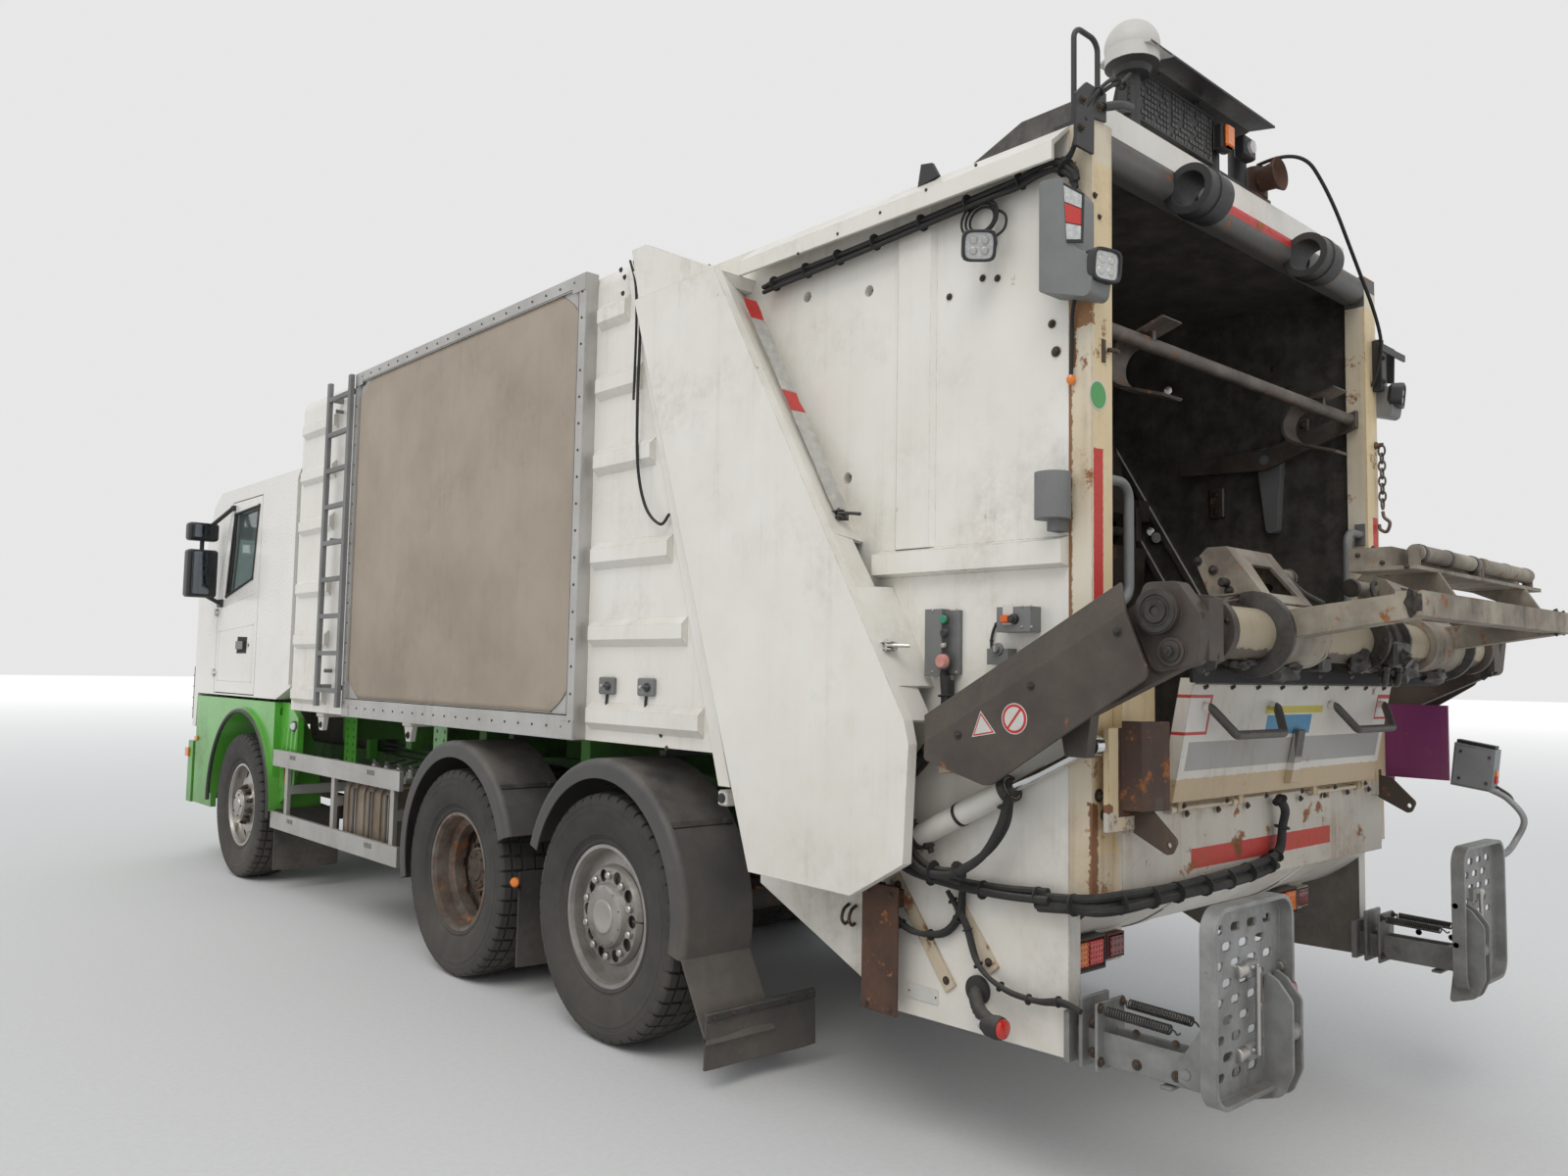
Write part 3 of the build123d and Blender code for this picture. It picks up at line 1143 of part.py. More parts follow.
# Tilting frame: two brackets on the torque tube, each with a window, a U-frame of box tube, and the pad with its
# rollers. Places are from the middle of the torque tube.
head_profile = [(-95, -60), (-110, 40), (-190, 225), (-150, 265), (-90, 265), (40, 95), (95, 10), (80, -75)]
head_radii = [20, 20, 12, 14, 14, 20, 30, 30]
head_plate = 16
window_foot = (40, 95)
window_run = Vector(0, -130, 170)
pad_half = 560
pad_low = 183
pad_high = 250
roller_radius = 24
roller_y = 360
roller_z = 235
roller_in = 20
roller_out = 500
with BuildPart() as tilt_frame:
    for side in (1, -1):
        for inner in (head_in, head_out - head_plate):
            rounded_plate(sorted((side * inner, side * (inner + head_plate))),
                          [(tube_y + y, tube_z + z) for y, z in head_profile], head_radii)
        cross_bar(sorted((side * head_in, side * head_out)), tube_y, tube_z, tube_radius + 22)
        block(sorted((side * head_in, side * head_out)), (tube_y - 150, tube_y - 105), (tube_z + 230, tube_z + 262))
        face_plane = Plane(origin=(0, tube_y + window_foot[0], tube_z + window_foot[1]), x_dir=(1, 0, 0),
                           z_dir=(0, window_run.Z, -window_run.Y))
        with BuildSketch(face_plane) as face_plate:
            with Locations((side * (head_in + head_out) / 2, -window_run.length / 2)):
                Rectangle(head_out - head_in, window_run.length)
            with BuildLine():
                Polyline((side * (head_in + 55), -35), (side * (head_out - 55), -35), (side * (head_out - 80), -150),
                         (side * (head_in + 80), -150), close=True)
            make_face(mode=Mode.SUBTRACT)
        extrude(face_plate.sketch, amount=-10)
        cross_bar(sorted((side * 250, side * head_in)), tube_y - 120, tube_z + 200, 28)
        cross_bar(sorted((side * 249, side * head_in)), tube_y - 120, tube_z + 200, 16, Mode.SUBTRACT)
        side_plate(sorted((side * (frame_half - frame_wall / 2 - 5), side * (frame_half + frame_wall / 2 + 5))),
                   [(tube_y + 20, tube_z - 20), (tube_y + 20, tube_z + 65), (rear_end, tube_z + 115),
                    (rear_end, tube_z + 45)])
        side_plate(sorted((side * 380, side * 400)),
                   [(rear_end - frame_wall + 10, tube_z + 110), (rear_end - 10, tube_z + 110),
                    (tube_y + 385, tube_z + pad_low + 2), (tube_y + 210, tube_z + pad_low + 2)])
        cross_bar(sorted((side * roller_in, side * roller_out)), tube_y + roller_y, tube_z + roller_z, roller_radius)
        for end in (roller_in - 10, roller_out):
            block(sorted((side * end, side * (end + 10))), (tube_y + roller_y - 15, tube_y + roller_y + 15),
                  (tube_z + pad_low + 2, tube_z + roller_z + 10))
    block((-frame_half - frame_wall / 2 - 5, frame_half + frame_wall / 2 + 5), (rear_end - frame_wall, rear_end),
          (tube_z + 45, tube_z + 115))
    block((-pad_half, pad_half), (tube_y + 200, tube_y + 385), (tube_z + pad_low, tube_z + pad_low + 12))
    block((-pad_half, pad_half), (tube_y + 200, tube_y + 320), (tube_z + pad_low + 10, tube_z + pad_high))
    cross_bar((-arm_x, arm_x), tube_y, tube_z, tube_radius + fit, Mode.SUBTRACT)
save(tilt_frame, "tilt_frame")

# Lift cylinders: the barrels on the tailgate, their rods up to the arms
along = Vector(0, eye_y - barrel_y, eye_z - barrel_z).normalized()
with BuildPart() as lift_barrels:
    start = Vector(cylinder_x, barrel_y, barrel_z)
    bar(start, start + along * 480, 36)
    cross_bar((cylinder_x - 20, cylinder_x + 20), barrel_y, barrel_z, 42)
    bar(start + along * 60, start + along * 481, 18, Mode.SUBTRACT)
    cross_bar((cylinder_x - 43, cylinder_x + 43), barrel_y, barrel_z, 15 + fit, Mode.SUBTRACT)
    mirror(about=Plane.YZ)
save(lift_barrels, "lift_barrels")

with BuildPart() as lift_rods:
    eye = Vector(cylinder_x, eye_y, eye_z)
    bar(start + along * 212, eye - along * 20, 18 - fit)
    cross_bar((cylinder_x - 18, cylinder_x + 18), eye_y, eye_z, 32)
    cross_bar((cylinder_x - 24, arm_x - fit), eye_y, eye_z, 14)
    mirror(about=Plane.YZ)
save(lift_rods, "lift_rods")

# Rider steps: a fixed arm each side, with a perforated tray hinged at its end. The tray is a plate in a
# rounded rim, with two boot-shaped cheeks near its inner end.
rim_depth = 45
rim_edge = 12
tread_plate = 8
slot_length = 52
slot_width = 24
slot_pitch = 92
slot_rise = 96
boot_profile = [(4295, 760), (4330, 740), (4370, 690), (4370, 500), (4340, 430), (4250, 400)]
for name, side in (("left", 1), ("right", -1)):
    with BuildPart() as step:
        for x in (arm_half + 6, -arm_half - 24):
            side_plate(sorted((side * (step_arm_x + x), side * (step_arm_x + x + 18))),
                       [(step_pivot_y - 22, step_pivot_z - 22), (step_pivot_y - 22, step_pivot_z + 22),
                        (step_tray_y + 1, step_pivot_z + 190), (step_tray_y + 1, step_pivot_z - 40),
                        (step_pivot_y + 10, step_pivot_z - 32)])
        with BuildSketch(Plane.XZ.offset(-step_tray_y)) as tray_rim:
            with Locations((side * tray_x, tray_z)):
                RectangleRounded(tray_width, tray_height, tray_corner)
                RectangleRounded(tray_width - 2 * rim_edge, tray_height - 2 * rim_edge, tray_corner - rim_edge,
                                 mode=Mode.SUBTRACT)
        extrude(tray_rim.sketch, amount=-rim_depth)
        with BuildSketch(Plane.XZ.offset(-step_tray_y)) as tread:
            with Locations((side * tray_x, tray_z)):
                RectangleRounded(tray_width - 1, tray_height - 1, tray_corner)
                with GridLocations(slot_pitch, slot_rise, 4, 5):
                    SlotOverall(slot_length, slot_width, mode=Mode.SUBTRACT)
                with GridLocations(slot_pitch, slot_rise, 3, 4):
                    SlotOverall(slot_length, slot_width, mode=Mode.SUBTRACT)
        extrude(tread.sketch, amount=-tread_plate)
        for x in (735, 790):
            rounded_plate(sorted((side * x, side * (x + 10))), boot_profile, [6, 20, 30, 40, 40, 10])
        cross_bar(sorted((side * 736, side * 799)), 4345, 600, 24)
        cross_bar(sorted((side * (step_arm_x - 80), side * (step_arm_x + 80))), step_pivot_y, step_pivot_z,
                  step_pin + fit, Mode.SUBTRACT)
    save(step, f"step_{name}")

with BuildPart() as step_arms:
    block((915, 1085), (wall_rear, wall_rear + 18), (456, 600))
    block((step_arm_x - arm_half, step_arm_x + arm_half), (wall_rear + 18, step_pivot_y + 30),
          (step_pivot_z - 45, step_pivot_z + 45))
    block((step_arm_x - arm_half + 8, step_arm_x + arm_half - 8), (wall_rear + 30, step_pivot_y - 30),
          (step_pivot_z - 33, step_pivot_z + 46), Mode.SUBTRACT)
    cross_bar((step_arm_x - arm_half - 26, step_arm_x + arm_half + 26), step_pivot_y, step_pivot_z, step_pin)
    mirror(about=Plane.YZ)
save(step_arms, "step_arms")
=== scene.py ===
import json
import math
import random

import bmesh
import bpy
from mathutils import Matrix, Vector

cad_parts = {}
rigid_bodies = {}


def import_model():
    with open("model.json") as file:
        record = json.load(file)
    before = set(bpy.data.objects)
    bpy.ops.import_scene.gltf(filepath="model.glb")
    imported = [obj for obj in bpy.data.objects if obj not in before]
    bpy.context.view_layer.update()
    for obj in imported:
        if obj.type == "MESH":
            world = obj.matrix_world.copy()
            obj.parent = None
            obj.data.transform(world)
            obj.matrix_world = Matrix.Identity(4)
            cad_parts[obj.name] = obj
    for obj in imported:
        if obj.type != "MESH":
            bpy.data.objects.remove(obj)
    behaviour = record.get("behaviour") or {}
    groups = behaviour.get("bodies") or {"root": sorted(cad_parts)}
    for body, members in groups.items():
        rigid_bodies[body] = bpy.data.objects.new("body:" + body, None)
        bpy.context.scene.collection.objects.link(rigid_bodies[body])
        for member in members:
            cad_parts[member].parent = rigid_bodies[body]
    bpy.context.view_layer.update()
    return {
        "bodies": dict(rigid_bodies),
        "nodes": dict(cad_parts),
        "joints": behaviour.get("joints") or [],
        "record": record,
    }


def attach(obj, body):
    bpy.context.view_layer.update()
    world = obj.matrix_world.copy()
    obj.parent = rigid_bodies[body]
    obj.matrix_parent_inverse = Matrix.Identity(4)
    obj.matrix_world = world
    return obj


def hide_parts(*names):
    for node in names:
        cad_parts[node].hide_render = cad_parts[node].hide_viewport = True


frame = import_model()
nodes = frame["nodes"]
dice = random.Random(11)

# place, turn and lens of the camera, in metres and radians, as the photograph was taken
cameraSetup = {
    "place": (4.0164, 5.8414, 1.5677),
    "yaw": 0.7325,
    "pitch": 0.0715,
    "roll": 0.0178,
    "lens": 26.7,
    "sensor": 36.0,
}


def addCamera(setup):
    yaw, pitch, roll = setup["yaw"], setup["pitch"], setup["roll"]
    forward = Vector((-math.sin(yaw) * math.cos(pitch), -math.cos(yaw) * math.cos(pitch), math.sin(pitch)))
    level = Vector((-math.cos(yaw), math.sin(yaw), 0.0))
    upright = level.cross(forward)
    across = math.cos(roll) * level + math.sin(roll) * upright
    up = -math.sin(roll) * level + math.cos(roll) * upright
    lens = bpy.data.cameras.new("camera")
    lens.lens = setup["lens"]
    lens.sensor_width = setup["sensor"]
    lens.clip_end = 300.0
    camera = bpy.data.objects.new("camera", lens)
    turn = Matrix((across, up, -forward)).transposed()
    camera.matrix_world = Matrix.Translation(setup["place"]) @ turn.to_4x4()
    bpy.context.scene.collection.objects.link(camera)
    bpy.context.scene.camera = camera


addCamera(cameraSetup)
print("camera placed")


# small helpers for shader trees
def joinNode(tree, value, socket):
    if isinstance(value, bpy.types.NodeSocket):
        tree.links.new(value, socket)
    elif isinstance(value, (tuple, list)) and len(value) == 3 and socket.type == "RGBA":
        socket.default_value = (*value, 1.0)
    else:
        socket.default_value = value


def noiseNode(tree, place, scale, detail=4.0, roughness=0.6):
    node = tree.nodes.new("ShaderNodeTexNoise")
    joinNode(tree, place, node.inputs["Vector"])
    joinNode(tree, scale, node.inputs["Scale"])
    node.inputs["Detail"].default_value = detail
    node.inputs["Roughness"].default_value = roughness
    return node.outputs["Fac"]


def rampNode(tree, value, low, high, bottom=0.0, top=1.0):
    node = tree.nodes.new("ShaderNodeMapRange")
    for title, given in (("Value", value), ("From Min", low), ("From Max", high),
            ("To Min", bottom), ("To Max", top)):
        joinNode(tree, given, node.inputs[title])
    return node.outputs["Result"]


def mathNode(tree, operation, first, second=0.0, clamp=False):
    node = tree.nodes.new("ShaderNodeMath")
    node.operation = operation
    node.use_clamp = clamp
    joinNode(tree, first, node.inputs[0])
    joinNode(tree, second, node.inputs[1])
    return node.outputs[0]


def mixNode(tree, mask, under, over):
    node = tree.nodes.new("ShaderNodeMix")
    node.data_type = "RGBA"
    joinNode(tree, mask, node.inputs[0])
    joinNode(tree, under, node.inputs[6])
    joinNode(tree, over, node.inputs[7])
    return node.outputs[2]


def vectorNode(tree, operation, first, second=(0.0, 0.0, 0.0)):
    node = tree.nodes.new("ShaderNodeVectorMath")
    node.operation = operation
    joinNode(tree, first, node.inputs[0])
    joinNode(tree, second, node.inputs[1])
    return node.outputs


def splitNode(tree, vector):
    node = tree.nodes.new("ShaderNodeSeparateXYZ")
    joinNode(tree, vector, node.inputs[0])
    return node.outputs


def placeNode(tree, kind="Object"):
    return tree.nodes.new("ShaderNodeTexCoord").outputs[kind]


def startMaterial(name):
    material = bpy.data.materials.new(name)
    material.use_nodes = True
    return material, material.node_tree, material.node_tree.nodes["Principled BSDF"]


def startGroup(name, inputs, outputs):
    tree = bpy.data.node_groups.new(name, "ShaderNodeTree")
    for title, kind in inputs:
        tree.interface.new_socket(name=title, in_out="INPUT", socket_type="NodeSocket" + kind)
    for title, kind in outputs:
        tree.interface.new_socket(name=title, in_out="OUTPUT", socket_type="NodeSocket" + kind)
    start, end = tree.nodes.new("NodeGroupInput"), tree.nodes.new("NodeGroupOutput")
    return tree, start.outputs, end.inputs


def roadGrimeGroup():
    tree, start, end = startGroup(
        "roadGrime",
        [("Vector", "Vector"), ("Top", "Float"), ("Amount", "Float"), ("Streaks", "Float")],
        [("Mask", "Float")],
    )
    cloud = noiseNode(tree, start["Vector"], 2.1, 6.0, 0.65)
    speckle = noiseNode(tree, start["Vector"], 26.0, 5.0, 0.7)
    low = rampNode(tree, splitNode(tree, start["Vector"])["Z"], start["Top"], 0.0)
    spread = mathNode(tree, "MULTIPLY", low, rampNode(tree, cloud, 0.25, 0.65, 0.25, 1.3))
    patches = mathNode(tree, "MULTIPLY", rampNode(tree, cloud, 0.5, 0.8), rampNode(tree, speckle, 0.35, 0.65))
    body = mathNode(tree, "MULTIPLY", start["Amount"], mathNode(tree, "ADD", spread, patches))
    tall = vectorNode(tree, "MULTIPLY", start["Vector"], (19.0, 19.0, 0.7))[0]
    runs = noiseNode(tree, tall, 1.0, 5.0, 0.7)
    streaks = mathNode(tree, "MULTIPLY", rampNode(tree, runs, 0.52, 0.78), rampNode(tree, cloud, 0.35, 0.7))
    total = mathNode(tree, "ADD", body, mathNode(tree, "MULTIPLY", streaks, start["Streaks"]), clamp=True)
    joinNode(tree, total, end["Mask"])
    return tree


def rustPatchGroup():
    tree, start, end = startGroup(
        "rustPatches",
        [("Vector", "Vector"), ("Scale", "Float"), ("Amount", "Float")],
        [("Mask", "Float"), ("Colour", "Color")],
    )
    spots = noiseNode(tree, start["Vector"], start["Scale"], 9.0, 0.68)
    edge = rampNode(tree, start["Amount"], 0.0, 1.0, 0.76, 0.3)
    mask = rampNode(tree, spots, edge, mathNode(tree, "ADD", edge, 0.05))
    tones = noiseNode(tree, start["Vector"], mathNode(tree, "MULTIPLY", start["Scale"], 4.0), 5.0, 0.7)
    colour = mixNode(tree, rampNode(tree, tones, 0.35, 0.65), (0.085, 0.03, 0.016), (0.33, 0.13, 0.045))
    joinNode(tree, mask, end["Mask"])
    joinNode(tree, colour, end["Colour"])
    return tree


def edgeWearGroup():
    tree, start, end = startGroup(
        "edgeWear",
        [("Vector", "Vector"), ("Radius", "Float"), ("Amount", "Float")],
        [("Mask", "Float"), ("Normal", "Vector")],
    )
    rounded = tree.nodes.new("ShaderNodeBevel")
    rounded.samples = 3
    joinNode(tree, start["Radius"], rounded.inputs["Radius"])
    flat = tree.nodes.new("ShaderNodeNewGeometry")
    turn = vectorNode(tree, "DOT_PRODUCT", rounded.outputs["Normal"], flat.outputs["Normal"])
    edge = rampNode(tree, turn["Value"], 0.99, 0.8)
    broken = rampNode(tree, noiseNode(tree, start["Vector"], 14.0, 7.0, 0.75), 0.42, 0.58)
    mask = mathNode(tree, "MULTIPLY", mathNode(tree, "MULTIPLY", edge, broken), start["Amount"], clamp=True)
    joinNode(tree, mask, end["Mask"])
    joinNode(tree, rounded.outputs["Normal"], end["Normal"])
    return tree


def settledDustGroup():
    tree, start, end = startGroup("settledDust", [("Vector", "Vector"), ("Amount", "Float")],
        [("Mask", "Float")])
    normal = splitNode(tree, tree.nodes.new("ShaderNodeNewGeometry").outputs["Normal"])
    facing = rampNode(tree, normal["Z"], 0.25, 0.95)
    patchy = rampNode(tree, noiseNode(tree, start["Vector"], 6.0, 6.0, 0.7), 0.3, 0.62)
    mask = mathNode(tree, "MULTIPLY", mathNode(tree, "MULTIPLY", facing, patchy), start["Amount"], clamp=True)
    joinNode(tree, mask, end["Mask"])
    return tree


def paintedPatchGroup():
    # a painted or stuck-on patch between two corners, with chipped edges
    tree, start, end = startGroup(
        "paintedPatch",
        [("Vector", "Vector"), ("Low", "Vector"), ("High", "Vector"), ("Chip", "Float")],
        [("Mask", "Float")],
    )
    wobble = mathNode(tree, "SUBTRACT", noiseNode(tree, start["Vector"], 34.0, 8.0, 0.75), 0.5)
    depth = mathNode(tree, "MULTIPLY", wobble, start["Chip"])
    nearest = None
    for first, second in ((start["Vector"], start["Low"]), (start["High"], start["Vector"])):
        inset = splitNode(tree, vectorNode(tree, "SUBTRACT", first, second)[0])
        for way in "XYZ":
            part = inset[way]
            nearest = part if nearest is None else mathNode(tree, "MINIMUM", nearest, part)
    joinNode(tree, rampNode(tree, mathNode(tree, "ADD", nearest, depth), 0.0, 0.0015), end["Mask"])
    return tree


groups = {
    "grime": roadGrimeGroup(),
    "rust": rustPatchGroup(),
    "wear": edgeWearGroup(),
    "dust": settledDustGroup(),
    "patch": paintedPatchGroup(),
}


def placeGroup(tree, name, values):
    node = tree.nodes.new("ShaderNodeGroup")
    node.node_tree = groups[name]
    for title, value in values.items():
        joinNode(tree, value, node.inputs[title])
    return node.outputs


# one finish: base colour, then grime, rust, worn edges and dust over it, each with its own mask
plainLook = {
    "secondScale": 3.0, "metal": 0.0, "coat": 0.0,
    "grime": 0.0, "grimeTop": 1.2, "streaks": 0.0, "grimeColour": (0.13, 0.115, 0.1),
    "rust": 0.0, "rustScale": 5.0, "wear": 0.0, "wearColour": (0.12, 0.09, 0.07), "edge": 0.004,
    "dust": 0.0, "dustColour": (0.34, 0.31, 0.27), "bump": 0.0, "bumpScale": 60.0, "stretch": (1.0, 1.0, 1.0),
    "dark": None, "darkColour": (0.03, 0.027, 0.024), "patches": (),
}
# tone of a finish without a second colour, lighter spots in the painted shade of inner faces, and the
# roughness and depth of the layers
layerRules = {
    "shade": 0.82, "shadeGrimeSpots": 2.6, "smoother": 0.07, "rougher": 0.09, "grimeRough": 0.85, "rustRough": 0.9,
    "dustRough": 0.95, "bumpDepth": 0.001, "coatRough": 0.12,
}


def paintFinish(name, **changes):
    look = {**plainLook, **layerRules, **changes}
    material, tree, shader = startMaterial(name)
    material.diffuse_color = (*look["colour"], 1.0)
    place = placeNode(tree)
    grain = noiseNode(tree, vectorNode(tree, "MULTIPLY", place, look["stretch"])[0],
        look["bumpScale"], 6.0, 0.65)
    second = look["second"] or tuple(look["shade"] * part for part in look["colour"])
    colour = mixNode(tree, rampNode(tree, noiseNode(tree, place, look["secondScale"], 5.0), 0.35, 0.68),
        look["colour"], second)
    rough = rampNode(tree, grain, 0.3, 0.7, look["rough"] - look["smoother"], look["rough"] + look["rougher"])
    metal = look["metal"]
    # painted shade over dirt: inner faces get a near-black colour with lighter spots
    if look["dark"]:
        mask = look["dark"](tree, place)
        shadeGrimeSpots = mixNode(tree, rampNode(tree, noiseNode(tree, place, 9.0, 7.0, 0.7), 0.4, 0.7),
            look["darkColour"], tuple(look["shadeGrimeSpots"] * part for part in look["darkColour"]))
        colour = mixNode(tree, mask, colour, shadeGrimeSpots)
    for low, high, tone, chip in look["patches"]:
        mask = placeGroup(tree, "patch", {"Vector": place, "Low": low, "High": high, "Chip": chip})["Mask"]
        colour = mixNode(tree, mask, colour, tone)
    if look["grime"] or look["streaks"]:
        mask = placeGroup(tree, "grime", {"Vector": place, "Top": look["grimeTop"], "Amount": look["grime"],
            "Streaks": look["streaks"]})["Mask"]
        colour = mixNode(tree, mask, colour, look["grimeColour"])
        rough = rampNode(tree, mask, 0.0, 1.0, rough, look["grimeRough"])
    if look["rust"]:
        patch = placeGroup(tree, "rust", {"Vector": place, "Scale": look["rustScale"],
            "Amount": look["rust"]})
        colour = mixNode(tree, patch["Mask"], colour, patch["Colour"])
        rough = rampNode(tree, patch["Mask"], 0.0, 1.0, rough, look["rustRough"])
        if metal:
            metal = rampNode(tree, patch["Mask"], 0.0, 1.0, metal, 0.0)
    edges = placeGroup(tree, "wear", {"Vector": place, "Radius": look["edge"], "Amount": look["wear"]})
    if look["wear"]:
        colour = mixNode(tree, edges["Mask"], colour, look["wearColour"])
    if look["dust"]:
        mask = placeGroup(tree, "dust", {"Vector": place, "Amount": look["dust"]})["Mask"]
        colour = mixNode(tree, mask, colour, look["dustColour"])
        rough = rampNode(tree, mask, 0.0, 1.0, rough, look["dustRough"])
        if metal:
            metal = rampNode(tree, mask, 0.0, 1.0, metal, 0.0)
    bump = tree.nodes.new("ShaderNodeBump")
    bump.inputs["Distance"].default_value = look["bumpDepth"]
    bump.inputs["Strength"].default_value = look["bump"]
    joinNode(tree, grain, bump.inputs["Height"])
    joinNode(tree, edges["Normal"], bump.inputs["Normal"])
    joinNode(tree, bump.outputs["Normal"], shader.inputs["Normal"])
    joinNode(tree, colour, shader.inputs["Base Color"])
    joinNode(tree, rough, shader.inputs["Roughness"])
    joinNode(tree, metal, shader.inputs["Metallic"])
    shader.inputs["Coat Weight"].default_value = look["coat"]
    shader.inputs["Coat Roughness"].default_value = look["coatRough"]
    return material


# where the hopper and the load body are painted dark inside, as painted shade over dirt: edges of the box, in
# metres
hopperInside = {"half": 1.03, "throat": 1.6}
bodyInside = {"half": 1.157, "roof": 3.335, "floor": 1.262, "front": -2.22}


def insideGate(tree, place):
    # the hopper's own inner faces, inside the side walls, under the roof and on the scoop: the mask of their
    # painted shade over grime
    spot, facing = splitNode(tree, place), splitNode(tree, placeNode(tree, "Normal"))
    width, turned = (mathNode(tree, "ABSOLUTE", split["X"]) for split in (spot, facing))
    walls = mathNode(tree, "LESS_THAN", width, hopperInside["half"])
    side = mathNode(tree, "GREATER_THAN", turned, 0.5)
    under = mathNode(tree, "GREATER_THAN", spot["Z"], hopperInside["throat"])
    roof = mathNode(tree, "MULTIPLY", under, mathNode(tree, "LESS_THAN", facing["Z"], -0.5))
    scoop = mathNode(tree, "MULTIPLY", mathNode(tree, "LESS_THAN", spot["Z"], hopperInside["throat"]),
        mathNode(tree, "GREATER_THAN", facing["Z"], 0.2))
    inner = mathNode(tree, "MAXIMUM", mathNode(tree, "MAXIMUM", side, roof), scoop)
    return mathNode(tree, "MULTIPLY", walls, inner)


def insideBody(tree, place):
    # the load body's inner faces: the mask of their painted shade over scraped, dirty steel
    spot = splitNode(tree, place)
    inner = mathNode(tree, "LESS_THAN", mathNode(tree, "ABSOLUTE", spot["X"]), bodyInside["half"])
    for axis, test, edge in (("Z", "LESS_THAN", "roof"), ("Z", "GREATER_THAN", "floor"),
            ("Y", "GREATER_THAN", "front")):
        inner = mathNode(tree, "MULTIPLY", inner, mathNode(tree, test, spot[axis], bodyInside[edge]))
    return inner


def shade(colour, second, rough, **more):
    return dict(more, colour=colour, second=second, rough=rough)


